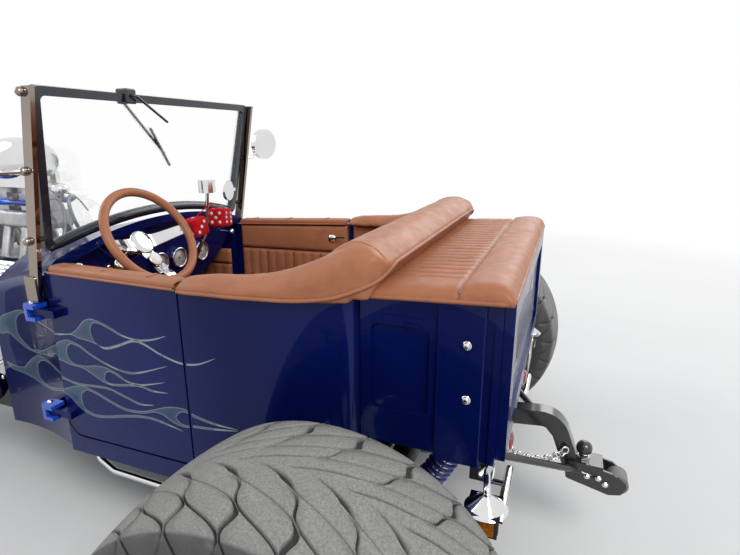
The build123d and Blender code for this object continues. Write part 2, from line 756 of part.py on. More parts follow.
def screen_outline(inset, radius):
    """Outline of the windscreen frame, with an arched lower edge that clears the cowl."""
    half = SCREEN_TUBE / 2 - inset
    tall = math.hypot(SCREEN_TOP_Z - SCREEN_FOOT_Z, SCREEN_TOP_Y)
    foot = SCREEN_FOOT_HALF + half
    head = SCREEN_TOP_HALF + half
    low = ThreePointArc((-foot, -half), (0, SCREEN_ARCH - half), (foot, -half))
    edges = [
        low,
        Line((foot, -half), (head, tall + half)),
        Line((head, tall + half), (-head, tall + half)),
        Line((-head, tall + half), (-foot, -half)),
    ]
    face = make_face(Curve() + edges)
    return fillet(face.vertices(), radius)


def make_screen_frame():
    """Black hoop around the glass."""
    outer = extrude(screen_plane() * screen_outline(0, 26), amount=SCREEN_TUBE / 2, both=True)
    inner = extrude(screen_plane() * screen_outline(SCREEN_TUBE, 14), amount=SCREEN_TUBE, both=True)
    return outer - inner + (make_wiper() - outer)


def make_screen_glass():
    """Flat clear glass inside the hoop."""
    pane = screen_plane() * screen_outline(SCREEN_TUBE + 0.2, 14)
    return extrude(pane, amount=GLASS_THICKNESS / 2, both=True)


def rake_y(z):
    """Position of the windscreen plane at a height."""
    return (z - SCREEN_FOOT_Z) * SCREEN_TOP_Y / (SCREEN_TOP_Z - SCREEN_FOOT_Z)


def screen_half(z):
    """Half-width of the windscreen frame's centre line at a height."""
    share = (z - SCREEN_FOOT_Z) / (SCREEN_TOP_Z - SCREEN_FOOT_Z)
    return SCREEN_FOOT_HALF + (SCREEN_TOP_HALF - SCREEN_FOOT_HALF) * share


def make_screen_posts():
    """Left windscreen post with its foot on the cowl, its clamps and top finial."""
    z = POST_FOOT_Z
    lean = SCREEN_TOP_Y / (SCREEN_TOP_Z - SCREEN_FOOT_Z)
    foot_y = rake_y(z) + 14
    top_y = foot_y + (POST_TOP_Z - z) * lean
    half = POST_WIDTH / 2
    outline = [(foot_y - half, z), (foot_y + half, z), (top_y + half, POST_TOP_Z), (top_y - half, POST_TOP_Z)]
    outer_x = POST_X + POST_THICKNESS / 2
    post = side_plate(outline, POST_X - POST_THICKNESS / 2, outer_x)
    pad = block(POST_X - 40, outer_x + 4, foot_y - 24, DOOR_FRONT_Y - SEAM - 4, z, z + 82)
    pad = fillet(pad.edges().filter_by(Axis.X), 10) - cowl_outer()
    post += pad.solids().sort_by(SortBy.VOLUME)[-1]
    for stud_z in (SCREEN_FOOT_Z + 34, CLAMP_Z, SCREEN_TOP_Z - 8):
        stud_y = rake_y(stud_z)
        inner_x = screen_half(stud_z) + SCREEN_TUBE / 2 - 6
        post += rod((inner_x, stud_y, stud_z), (outer_x, stud_y, stud_z), 8)
        post += Pos(outer_x + 4, stud_y, stud_z) * Sphere(CLAMP_RADIUS)
    post = post - extrude(screen_plane() * screen_outline(0, 26), amount=SCREEN_TUBE / 2, both=True)
    return post.solids().sort_by(SortBy.VOLUME)[-1]


def make_door_mirror():
    """Round chrome mirror on an arm from the left post's clamp."""
    x, y, z = MIRROR_HEAD
    clamp_y = rake_y(CLAMP_Z)
    start_x = POST_X + POST_THICKNESS / 2 + 4 + CLAMP_RADIUS + SOFT_GAP
    head = disc(MIRROR_HEAD, (-0.25, 1, -0.05), MIRROR_RADIUS, MIRROR_DEPTH)
    arm = bent_tube([(start_x, clamp_y, CLAMP_Z), (start_x + 60, clamp_y, CLAMP_Z), (x, y, z)], 6, 30)
    return (head + arm).solids().sort_by(SortBy.VOLUME)[-1]


def make_oval_mirror():
    """Small oval mirror clipped to the right side of the windscreen frame."""
    centre = (-407, 34, 1069)
    plane = Plane(origin=centre, x_dir=(1, 0, 0), z_dir=(0, 1, 0))
    glass = extrude(plane * Ellipse(33, 45), amount=8, both=True)
    clip = block(-462, -425, 19, 36, 1062, 1076)
    shape = glass + clip
    shape -= extrude(screen_plane() * screen_outline(0, 26), amount=SCREEN_TUBE / 2, both=True)
    return shape.solids().sort_by(SortBy.VOLUME)[-1]


def make_wiper():
    """Hand wiper clamped on the top rail, with its blade ahead of the glass and a handle behind."""
    x = 166
    z = SCREEN_TOP_Z + 6
    y = rake_y(z)
    clamp = block(x - 22, x + 22, y - 24, y + 24, SCREEN_TOP_Z - 20, SCREEN_TOP_Z + 28)
    clamp = fillet(clamp.edges(), 6)
    tip_z = 1241
    arm = bent_tube([(x, y - 22, z), (x, y - 34, z), (-43, rake_y(tip_z) - 24, tip_z)], 4.5, 8)
    blade = rod((30, rake_y(1330) - 24, 1330), (-75, rake_y(1195) - 24, 1195), 5)
    handle = bent_tube([(x, y + 22, z), (x, y + 40, z), (10, rake_y(1352) + 34, 1352)], 4.5, 12)
    return clamp + arm + blade + handle


def tunnel_top(y):
    """Height of the tunnel's top at a station."""
    front = FIREWALL_Y + FIREWALL_THICKNESS
    share = (y - front) / (TUNNEL_REAR_Y - front)
    return CRANK_Z + TUNNEL_FRONT_RADIUS + (TUNNEL_REAR_RADIUS - TUNNEL_FRONT_RADIUS) * share


def make_shifter():
    """Tall shift lever with a piston-shaped knob."""
    x, y = SHIFTER_BASE
    base_z = tunnel_top(y - 25) + 1
    lever = bent_tube([(x, y, base_z), (x, y, base_z + 50), SHIFTER_BEND, SHIFTER_TOP], 7, [25, 40])
    boot = block(x - 30, x + 30, y - 24, y + 40, tunnel_top(y + 40) - 12, base_z + 12) - tunnel_cone(0)
    kx, ky, kz = SHIFTER_TOP
    knob = disc((kx, ky, kz + KNOB_HEIGHT / 2), (0, 0, 1), KNOB_RADIUS, KNOB_HEIGHT)
    for drop in (9, 17):
        knob -= ring((kx, ky, kz + KNOB_HEIGHT - drop), (0, 0, 1), KNOB_RADIUS + 2, KNOB_RADIUS - 1.5, 3)
    return (lever + boot + knob).solids().sort_by(SortBy.VOLUME)[-1]


def make_dice():
    """Two plush dice on the loop of cord that hangs them on the shift lever."""
    cubes = []
    for die in DICE:
        cube = fillet(Box(DIE_SIZE, DIE_SIZE, DIE_SIZE).edges(), 12)
        cubes.append(Pos(*die["centre"]) * Rot(*die["turn"]) * cube)
    ends = [Vector(*die["centre"]) + Vector(0, 0, DIE_SIZE * 0.46) for die in DICE]
    x, y, z = SHIFTER_TOP
    top = (x, y + 6.5, z - 40)
    loop = bent_tube([tuple(ends[0]), top, tuple(ends[1])], 2.5, 4)
    shape = cubes[0] + cubes[1] + loop - rod(SHIFTER_BEND, SHIFTER_TOP, 7.3)
    return shape.solids().sort_by(SortBy.VOLUME)[-1]


def make_pedals():
    """Brake and throttle pedals hung from the firewall."""
    pieces = []
    wall_y = FIREWALL_Y + FIREWALL_THICKNESS
    for x, width, drop in ((204, 44, 0), (330, 46, -14)):
        arm = bent_tube([(x, wall_y, 640), (x, wall_y + 40, 640), (x, wall_y + 95, 470 + drop)], 8, 20)
        pad = Pos(x, wall_y + 100, 470 + drop) * Rot(-35, 0, 0) * Box(width, 10, 60)
        pieces.append((arm + pad).solids().sort_by(SortBy.VOLUME)[-1])
    return pieces


def make_seat():
    """Bench seat: cushion on the deck and a leaning back below the roll."""
    deck = SEAT_DECK_Z + FLOOR_THICKNESS + SOFT_GAP
    front = DECK_FRONT_Y - SEAT_LIP
    half = side_x(front) - WALL - TRIM_THICKNESS - SEAT_SIDE_GAP
    cushion = block(-half, half, front, SEAT_BACK_Y - 2, deck, deck + SEAT_CUSHION)
    cushion = fillet(cushion.edges(), 28)
    top = BED_TOP_Z - 18
    rear = TUB_REAR_Y - WALL - 6
    outline = [(SEAT_BACK_Y, deck), (SEAT_BACK_Y + 105, deck), (rear, top), (rear - 82, top)]
    back = fillet(side_plate(outline, -half, half).edges(), 16)
    return [cushion, back]


def bolster_section(y, station):
    """Rounded section of the side roll."""
    outer = station["outer"]
    inner = station["inner"]
    low = body_top(station["y"]) + SOFT_GAP
    top = low + station["rise"]
    shoulder = low + 0.35 * station["rise"]
    edges = [
        Line((inner, low), (outer, low)),
        Line((outer, low), (outer, shoulder)),
        ThreePointArc((outer, shoulder), ((outer + inner) / 2, top), (inner, shoulder)),
        Line((inner, shoulder), (inner, low)),
    ]
    face = make_face(Curve() + edges)
    return Plane(origin=(0, y, 0), x_dir=(1, 0, 0), z_dir=(0, -1, 0)) * face


def make_bolster():
    """Padded roll along both body sides and across the back of the seat."""
    arm = loft([bolster_section(station["y"], station) for station in BOLSTER_STATIONS])
    last = BOLSTER_STATIONS[-1]
    turn = loft([bolster_section(y, last) for y in (last["y"], ROLL_PIPING[0] + 10)])
    low = bed_top(ROLL_BASE_Y) + SOFT_GAP
    outline = [
        Line((ROLL_FRONT_Y, low), (ROLL_BASE_Y, low)),
        Line((ROLL_BASE_Y, low), ROLL_PIPING),
        ThreePointArc(ROLL_PIPING, ROLL_CREST, ROLL_LIP),
        Line(ROLL_LIP, (ROLL_FRONT_Y, low)),
    ]
    half = last["outer"]
    plane = Plane(origin=(-half, 0, 0), x_dir=(0, 1, 0), z_dir=(1, 0, 0))
    back = extrude(plane * make_face(Curve() + outline), amount=2 * half)
    corner = back & turn
    crest = (last["outer"] + last["inner"]) / 2
    back &= block(-crest, crest, ROLL_FRONT_Y - 10, ROLL_PIPING[0] + 10, 0, 2000)
    roll = back + arm + mirrored(arm) + corner + mirrored(corner)
    x = half - ROLL_CORNER
    y = ROLL_PIPING[0] - ROLL_CORNER
    trim = block(x, half + 50, y, ROLL_PIPING[0] + 50, 0, 2000)
    trim -= disc((x, y, 1000), (0, 0, 1), ROLL_CORNER, 2100)
    roll = roll - trim - mirrored(trim)
    return roll.solids().sort_by(SortBy.VOLUME)[-1]


def make_frame():
    """Chassis: two side rails with a kick-up over the rear axle, cross tubes and the spring perch."""
    low = RAIL_BOTTOM_Z
    high = low + RAIL_HEIGHT
    kick_low = KICK_BOTTOM_Z
    kick_high = kick_low + RAIL_HEIGHT
    outline = [
        (RAIL_FRONT_Y, low),
        (KICK_START_Y, low),
        (KICK_END_Y, kick_low),
        (RAIL_REAR_Y, kick_low),
        (RAIL_REAR_Y, kick_high),
        (KICK_END_Y - 20, kick_high),
        (KICK_START_Y - 20, high),
        (RAIL_FRONT_Y, high),
    ]
    inner = RAIL_CENTRE_X - RAIL_WIDTH / 2
    outer = RAIL_CENTRE_X + RAIL_WIDTH / 2
    rail = side_plate(outline, inner, outer)
    frame = rail + mirrored(rail)
    kick_mid = kick_low + RAIL_HEIGHT / 2
    tubes = ((RAIL_FRONT_Y + 30, low + 45), (GEARBOX_MOUNT_Y, low + 25), (640, low + 40))
    tubes += ((RAIL_REAR_Y - 30, kick_mid), (REAR_AXLE_Y - 110, kick_mid))
    for y, z in tubes:
        frame += rod((-inner - 5, y, z), (inner + 5, y, z), CROSS_TUBE / 2)
    perch = [
        (RAIL_FRONT_Y + 40, high),
        (RAIL_FRONT_Y - 20, high),
        (FRONT_AXLE_Y + 40, SPRING_TOP_Z),
        (FRONT_AXLE_Y - 34, SPRING_TOP_Z),
        (FRONT_AXLE_Y - 34, SPRING_TOP_Z + 22),
        (RAIL_FRONT_Y + 10, SPRING_TOP_Z + 22),
    ]
    frame += block(-inner, inner, RAIL_FRONT_Y, RAIL_FRONT_Y + 60, low + 45, high)
    frame += side_plate(perch, -50, 50)
    half = TOW_CROSS_SIZE / 2
    cross_y = RAIL_REAR_Y - TOW_CROSS_SIZE
    frame += block(-outer, outer, cross_y, RAIL_REAR_Y, TOW_CROSS_Z - half, TOW_CROSS_Z + half)
    stud_x = CHAIN_START[0]
    frame += rod((stud_x, RAIL_REAR_Y - 5, TOW_CROSS_Z), (stud_x, RAIL_REAR_Y + 15, TOW_CROSS_Z), CHAIN_STUD)
    for side in (-1, 1):
        x = side * RAIL_CENTRE_X
        half = RAIL_WIDTH / 2
        frame += block(x - half, x + half, cross_y, RAIL_REAR_Y, TOW_CROSS_Z, kick_low + 5)
    return frame.solids().sort_by(SortBy.VOLUME)[-1]


def axle_z():
    """Height of the front wheel centres."""
    return FRONT_TYRE_RADIUS


def make_front_axle():
    """Dropped tube axle with kingpins at both ends."""
    z = axle_z()
    low = z - AXLE_DROP
    half = KINGPIN_HALF - KNUCKLE_BOSS_RADIUS
    y = FRONT_AXLE_Y
    points = [(half + 4, y, z), (half - 45, y, z), (half - 150, y, low), (-half + 150, y, low)]
    points += [(-half + 45, y, z), (-half - 4, y, z)]
    beam = bent_tube(points, AXLE_RADIUS, 55)
    eye = disc((KINGPIN_HALF, y, z), (0, 0, 1), KNUCKLE_BOSS_RADIUS, 64)
    pin = disc((KINGPIN_HALF, y, z), (0, 0, 1), KINGPIN_RADIUS, KINGPIN_LENGTH)
    for part in (eye, pin):
        beam = beam + part + mirrored(part)
    for side in (-1, 1):
        x = side * SPRING_EYE_X
        beam += block(x - 16, x + 16, y - 12, y + 12, low + 10, low + 62)
    return beam.solids().sort_by(SortBy.VOLUME)[-1]


def make_front_suspension():
    """Transverse leaf spring under the perch, shackles, and the radius rods to the rails."""
    y = FRONT_AXLE_Y
    eye_z = axle_z() - AXLE_DROP + 92
    top = SPRING_TOP_Z
    pieces = []
    t = 24
    upper = [(-SPRING_EYE_X, eye_z + t / 2), (0, top - 0.2), (SPRING_EYE_X, eye_z + t / 2)]
    lower = [(SPRING_EYE_X, eye_z - t / 2), (0, top - 0.2 - t), (-SPRING_EYE_X, eye_z - t / 2)]
    curve = [
        ThreePointArc(*upper),
        Line(upper[2], lower[0]),
        ThreePointArc(*lower),
        Line(lower[2], upper[0]),
    ]
    plane = Plane(origin=(0, y + 22, 0), x_dir=(1, 0, 0), z_dir=(0, -1, 0))
    leaf = extrude(plane * make_face(Curve() + curve), amount=44)
    for side in (-1, 1):
        x = side * SPRING_EYE_X
        leaf += disc((x, y, eye_z), (0, 1, 0), 17, 48)
        for plate_y in (-30, 30):
            leaf += block(x - 12, x + 12, y + plate_y - 5, y + plate_y + 5, eye_z - 62, eye_z + 12)
        leaf += disc((x, y, eye_z), (0, 1, 0), 7, 66)
        leaf += disc((x, y, eye_z - 52), (0, 1, 0), 7, 66)
    leaf -= block(-430, 430, y - 12.2, y + 12.2, 0, eye_z - 29.8)
    pieces.append(leaf.solids().sort_by(SortBy.VOLUME)[-1])
    return pieces


def make_radius_rod():
    """Left front hairpin radius rod, from the axle back to a bracket on the rail."""
    y = FRONT_AXLE_Y
    x0 = KINGPIN_HALF - 105
    z = axle_z()
    end = (RAIL_CENTRE_X + RAIL_WIDTH / 2 + 26, y + RADIUS_ROD_LENGTH, RAIL_BOTTOM_Z + 30)
    gap = AXLE_RADIUS + 0.2
    plate = block(x0 - 8, x0 + 8, y + gap - 14, y + 48, z - 110, z + 30)
    upper = rod((x0, y + 40, z + 14), end, 10)
    lower = rod((x0, y + 40, z - 92), end, 10)
    eye = disc(end, (1, 0, 0), 17, 26)
    lug = block(RAIL_CENTRE_X + RAIL_WIDTH / 2, end[0], end[1] - 18, end[1] + 18, end[2] - 18, end[2] + 18)
    shape = plate + upper + lower + eye + lug
    shape -= disc((x0, y, z - 40), (1, 0, 0), gap, 60)
    return (shape - make_front_axle()).solids().sort_by(SortBy.VOLUME)[-1]


def make_knuckle(with_drag_arm):
    """Left steering knuckle: forked boss on the kingpin, spindle, steering arm and brake caliper."""
    x = KINGPIN_HALF
    y = FRONT_AXLE_Y
    z = axle_z()
    boss = disc((x, y, z), (0, 0, 1), KNUCKLE_BOSS_RADIUS, KINGPIN_LENGTH - 2)
    boss += block(x + 4, x + 34, y - 26, y + 26, z - 52, z + 52)
    boss -= disc((x, y, z), (0, 0, 1), KNUCKLE_BOSS_RADIUS + 6, 66)
    boss -= block(x - 60, x, y - 40, y + 40, z - 33, z + 33)
    boss += block(x + 27.5, x + 40, y - 30, y + 30, z - 52, z + 52)
    boss -= disc((x, y, z), (0, 0, 1), KINGPIN_RADIUS + BEARING_CLEARANCE, KINGPIN_LENGTH + 10)
    boss += rod((x + 39, y, z), (FRONT_TRACK_HALF + FRONT_WHEEL_FACE - 2, y, z), SPINDLE_RADIUS)
    arm_z = z - 48
    arm_end = (x, y + STEER_ARM, z - TIE_ROD_DROP + 25)
    arm = bent_tube([(x, y + 18, arm_z), (x, y + 60, arm_z), arm_end], 9, 30)
    pin_low = z - (DRAG_LINK_DROP if with_drag_arm else TIE_ROD_DROP) - 14
    pin_high = z - TIE_ROD_DROP + 34
    end_eye = disc((x, y + STEER_ARM, z - TIE_ROD_DROP + 22), (0, 0, 1), 15, 18)
    pin = rod((x, y + STEER_ARM, pin_low), (x, y + STEER_ARM, pin_high), BALL_PIN_RADIUS)
    arm = arm - disc((x, y, z), (0, 0, 1), KINGPIN_RADIUS + BEARING_CLEARANCE, KINGPIN_LENGTH + 10)
    caliper = block(x + 28, x + 66, y + 92, y + 142, z - 40, z + 60)
    caliper -= disc((BRAKE_DISC_X, y, z), (1, 0, 0), BRAKE_DISC_RADIUS + 3, 18)
    bridge = block(x + 28, x + 40, y + 20, y + 100, z - 16, z + 40)
    shape = boss + arm + end_eye + pin + bridge + caliper
    return shape.solids().sort_by(SortBy.VOLUME)[-1]


def rod_eye(x, y, z):
    """Rod end around a ball pin."""
    hole = BALL_PIN_RADIUS + BEARING_CLEARANCE
    return ring((x, y, z), (0, 0, 1), ROD_EYE_RADIUS, hole, 20)


def make_tie_rod():
    """Tie rod between the two steering arms."""
    y = FRONT_AXLE_Y + STEER_ARM
    z = axle_z() - TIE_ROD_DROP
    reach = KINGPIN_HALF - ROD_EYE_RADIUS + 3
    bar = rod((-reach, y, z), (reach, y, z), TIE_ROD_RADIUS)
    eye = rod_eye(KINGPIN_HALF, y, z)
    other = ring((-KINGPIN_HALF, y, z), (0, 0, 1), ROD_EYE_RADIUS, BALL_PIN_RADIUS + 0.6, 20)
    return (bar + eye + other).solids()[0]


def make_pitman_arm():
    """Pitman arm on the steering box's sector shaft, parallel to the steering arms."""
    px, py = PITMAN_PIVOT
    z = axle_z() - DRAG_LINK_DROP
    arm_z = z + 22
    box_low = RAIL_BOTTOM_Z + 2
    arm = block(px - 11, px + 11, py, py + STEER_ARM, arm_z - 7, arm_z + 7)
    arm += disc((px, py, arm_z), (0, 0, 1), 19, 14) + disc((px, py + STEER_ARM, arm_z), (0, 0, 1), 15, 14)
    shaft = rod((px, py, arm_z), (px, py, box_low - SOFT_GAP), 13)
    pin = rod((px, py + STEER_ARM, z - 14), (px, py + STEER_ARM, arm_z), BALL_PIN_RADIUS)
    return (arm + shaft + pin).solids()[0]


def make_drag_link():
    """Cross link from the pitman arm to the right steering arm."""
    px, py = PITMAN_PIVOT
    z = axle_z() - DRAG_LINK_DROP
    start = Vector(px, py + STEER_ARM, z)
    end = Vector(-KINGPIN_HALF, FRONT_AXLE_Y + STEER_ARM, z)
    along = (end - start).normalized()
    bar = rod(start + along * (ROD_EYE_RADIUS - 3), end - along * (ROD_EYE_RADIUS - 3), TIE_ROD_RADIUS)
    near = rod_eye(start.X, start.Y, z)
    far = ring((end.X, end.Y, z), (0, 0, 1), ROD_EYE_RADIUS, BALL_PIN_RADIUS + 0.6, 20)
    return (bar + near + far).solids()[0]


def tyre(radius, width, rim_radius, rim_width, shoulder, crown):
    """Tyre of revolution about the X axis, centred on the origin."""
    half = width / 2
    rim_half = rim_width / 2
    bead = rim_radius + TYRE_BEAD
    waist = (radius + rim_radius) / 2
    edge = half - shoulder
    top = radius - crown
    outline = [
        Line((-rim_half, rim_radius), (-rim_half, bead)),
        ThreePointArc((-rim_half, bead), (-half, waist), (-edge, top)),
        ThreePointArc((-edge, top), (0, radius), (edge, top)),
        ThreePointArc((edge, top), (half, waist), (rim_half, bead)),
        Line((rim_half, bead), (rim_half, rim_radius)),
        Line((rim_half, rim_radius), (-rim_half, rim_radius)),
    ]
    return revolve(make_face(Curve() + outline), axis=Axis.X)


def make_rear_tyre():
    """Wide rear tyre, left side."""
    shape = tyre(REAR_TYRE_RADIUS, REAR_TYRE_WIDTH, REAR_RIM_RADIUS, REAR_RIM_WIDTH, 34, 16)
    return Pos(REAR_TRACK_HALF, REAR_AXLE_Y, REAR_TYRE_RADIUS) * shape


def make_front_tyre():
    """Narrow front tyre, left side."""
    shape = tyre(FRONT_TYRE_RADIUS, FRONT_TYRE_WIDTH, FRONT_RIM_RADIUS, FRONT_RIM_WIDTH, 26, 7)
    return Pos(FRONT_TRACK_HALF, FRONT_AXLE_Y, FRONT_TYRE_RADIUS) * shape


def spoked_wheel(rim_radius, rim_width, face_x, hub_radius, hub_depth, hub_bore):
    """Wheel of revolution about X with tapering spokes, outer face towards +X."""
    half = rim_width / 2
    barrel = rim_radius - RIM_SEAT
    outline = [
        (-half, barrel - 6),
        (-half, rim_radius),
        (-half + 4, rim_radius),
        (half - 4, rim_radius),
        (half, rim_radius),
        (half, barrel - 6),
        (half - 8, barrel - 6),
        (half - 20, barrel - 10),
        (-half + 20, barrel - 10),
        (-half + 8, barrel - 6),
    ]
    wheel = wheel_disc(outline)
    spoke_inner = hub_radius - 14
    spoke_outer = barrel - 6
    length = spoke_outer - spoke_inner
    for index in range(SPOKE_COUNT):
        angle = 360 * index / SPOKE_COUNT
        web = [(-30, spoke_inner), (-22, spoke_outer), (22, spoke_outer), (30, spoke_inner)]
        face = make_face(Polyline(web, close=True))
        plane = Plane(origin=(face_x - 30, 0, 0), x_dir=(0, 1, 0), z_dir=(1, 0, 0))
        spoke = extrude(plane * face, amount=30)
        spoke = fillet(spoke.edges().filter_by(lambda e: e.length > length * 0.9), 8)
        wheel += Rot(angle, 0, 0) * spoke
    wheel += disc((face_x - hub_depth / 2 + 6, 0, 0), (1, 0, 0), hub_radius, hub_depth)
    wheel += disc((face_x + 14, 0, 0), (1, 0, 0), hub_radius * 0.45, 34)
    for index in range(SPOKE_COUNT):
        angle = math.radians(360 * (index + 0.5) / SPOKE_COUNT)
        nut = (face_x + 8, math.cos(angle) * hub_radius * 0.72, math.sin(angle) * hub_radius * 0.72)
        wheel += disc(nut, (1, 0, 0), 10, 22)
    return wheel - rod((-rim_width, 0, 0), (face_x, 0, 0), hub_bore)


def make_rear_wheel():
    """Deep-dish rear wheel with its brake drum, left side."""
    wheel = spoked_wheel(
        REAR_RIM_RADIUS - 0.2,
        REAR_RIM_WIDTH,
        REAR_WHEEL_FACE,
        REAR_HUB_RADIUS,
        REAR_HUB_DEPTH,
        REAR_SHAFT_RADIUS + BEARING_CLEARANCE,
    )
    drum_x = REAR_WHEEL_FACE - REAR_HUB_DEPTH - 34
    drum = disc((drum_x, 0, 0), (1, 0, 0), 138, 80)
    drum -= disc((drum_x, 0, 0), (1, 0, 0), REAR_SHAFT_RADIUS + BEARING_CLEARANCE, 200)
    wheel = (wheel + drum).solids().sort_by(SortBy.VOLUME)[-1]
    return Pos(REAR_TRACK_HALF, REAR_AXLE_Y, REAR_TYRE_RADIUS) * wheel


def make_front_wheel():
    """Narrow front wheel with its brake disc, left side."""
    wheel = spoked_wheel(
        FRONT_RIM_RADIUS - 0.2,
        FRONT_RIM_WIDTH,
        FRONT_WHEEL_FACE,
        FRONT_HUB_RADIUS,
        46,
        SPINDLE_RADIUS + BEARING_CLEARANCE,
    )
    disc_x = BRAKE_DISC_X - FRONT_TRACK_HALF
    bell = disc((disc_x + 4, 0, 0), (1, 0, 0), 58, 24)
    rotor = disc((disc_x, 0, 0), (1, 0, 0), BRAKE_DISC_RADIUS, 10)
    bore = rod((disc_x - 50, 0, 0), (FRONT_WHEEL_FACE, 0, 0), SPINDLE_RADIUS + BEARING_CLEARANCE)
    wheel = (wheel + bell + rotor - bore).solids().sort_by(SortBy.VOLUME)[-1]
    return Pos(FRONT_TRACK_HALF, FRONT_AXLE_Y, FRONT_TYRE_RADIUS) * wheel


def make_rear_axle():
    """Live rear axle: housing, tubes, end plates and the wheel shafts."""
    y = REAR_AXLE_Y
    z = REAR_TYRE_RADIUS
    shaft_end = REAR_TRACK_HALF + REAR_WHEEL_FACE - 2
    pumpkin = Sphere(DIFF_RADIUS) & Box(300, 220, 400)
    housing = rod((-BACKING_X, y, z), (BACKING_X, y, z), AXLE_TUBE_RADIUS)
    housing += Pos(0, y, z) * fillet(pumpkin.edges(), 12)
    housing += rod((0, y - 60, z), (0, y - PINION_REACH, z), 48)
    housing += rod((-shaft_end, y, z), (shaft_end, y, z), REAR_SHAFT_RADIUS)
    for side in (-1, 1):
        housing += disc((side * (BACKING_X + 4), y, z), (1, 0, 0), 60, 12)
    return housing.solids().sort_by(SortBy.VOLUME)[-1]


def make_rear_radius_rod():
    """Left rear hairpin radius rod with its curved front end under the body."""
    y = REAR_AXLE_Y - 62
    z = REAR_TYRE_RADIUS
    x = REAR_ROD_X
    front = [(x - 40, 40, 300), (x - 5, 62, 242), (x, 130, 211)]
    lower = bent_tube([*front, (x, 380, 206), (x, y, z - 80)], 10.5, [30, 40, 150])
    upper = rod((x, 330, 208), (x, y, z - 16), 9)
    plate = block(x - 12, x + 12, y - 14, y + 74, z - 96, z - 2)
    bracket = block(RAIL_CENTRE_X + RAIL_WIDTH / 2, x - 30, 28, 52, 292, 308)
    shape = lower + upper + plate + bracket - disc((x, REAR_AXLE_Y, z), (1, 0, 0), AXLE_TUBE_RADIUS + 0.2, 80)
    return shape.solids().sort_by(SortBy.VOLUME)[-1]


def make_coilover():
    """Left rear coil spring over its damper, behind the axle."""
    x = RAIL_CENTRE_X - 60
    axle = (REAR_AXLE_Y, REAR_TYRE_RADIUS)
    low = (x + 30, axle[0] + 72, 330)
    high = (x, RAIL_REAR_Y - 30 - CROSS_TUBE / 2 - 15, KICK_BOTTOM_Z + 30)
    body = rod(low, high, 14)
    along = Vector(*high) - Vector(*low)
    body += rod(Vector(*low) + along * 0.2, Vector(*low) + along * 0.86, 32)
    lug = block(x + 18, x + 42, axle[0] + 20, axle[0] + 84, 318, 342)
    hanger = block(x, RAIL_CENTRE_X - RAIL_WIDTH / 2, high[1] - 14, high[1] + 14, high[2] - 12, high[2] + 14)
    shape = body + lug + hanger - disc((x, *axle), (1, 0, 0), AXLE_TUBE_RADIUS, 200)
    return shape.solids().sort_by(SortBy.VOLUME)[-1]


def bank_block(u0, u1, v0, v1, y0, y1):
    """A block square to the left cylinder bank: u runs along the bores, v outward along the deck."""
    angle = math.radians(BANK_ANGLE)
    c = math.cos(angle)
    s = math.sin(angle)
    corners = []
    for u, v in ((u0, v0), (u1, v0), (u1, v1), (u0, v1)):
        corners.append((u * s + v * c, CRANK_Z + u * c - v * s))
    return front_plate(corners, y0, y1)


def make_engine_block():
    """Engine block with heads, oil pan, front cover and bellhousing."""
    y0 = ENGINE_REAR_Y - BLOCK_LENGTH
    y1 = ENGINE_REAR_Y
    z = CRANK_Z
    core = [(-150, z - 60), (150, z - 60), (165, z + 60), (60, z + 190), (-60, z + 190), (-165, z + 60)]
    engine = front_plate(core, y0, y1)
    deck = DECK_DISTANCE
    half = DECK_HALF_WIDTH
    bank = bank_block(60, deck, -half, half, y0 + 4, y1 - 4)
    head = bank_block(deck, deck + HEAD_HEIGHT, -half, half, y0 + 8, y1 - 8)
    for part in (bank, head):
        engine = engine + part + mirrored(part)
    pan = block(-118, 118, y0 + 20, y1 - 10, z - 110, z - 60)
    sump = block(-105, 105, y1 - 230, y1 - 10, z - PAN_DEPTH, z - 100)
    cover = block(-125, 125, y0 - 24, y0, z - 90, z + 130)
    engine += pan + fillet(sump.edges(), 14) + fillet(cover.edges().filter_by(Axis.Y), 30)
    starter = disc((-150, y1 - 110, z - 95), (0, 1, 0), 38, 200)
    filter_can = disc((145, y1 - 70, z - 100), (0, 0, 1), 46, 110)
    return (engine + starter + filter_can).solids().sort_by(SortBy.VOLUME)[-1]


def make_valve_covers():
    """Polished ribbed valve covers."""
    base = DECK_DISTANCE + HEAD_HEIGHT
    y0 = ENGINE_REAR_Y - BLOCK_LENGTH + 16
    y1 = ENGINE_REAR_Y - 16
    cover = bank_block(base, base + COVER_HEIGHT - 10, -COVER_HALF_WIDTH, COVER_HALF_WIDTH, y0, y1)
    cover = fillet(cover.edges(), 9)
    for index in range(5):
        v = -36 + 18 * index
        cover += bank_block(base + COVER_HEIGHT - 22, base + COVER_HEIGHT, v - 3.5, v + 3.5, y0 + 30, y1 - 30)
    return pair(cover.solids().sort_by(SortBy.VOLUME)[-1])


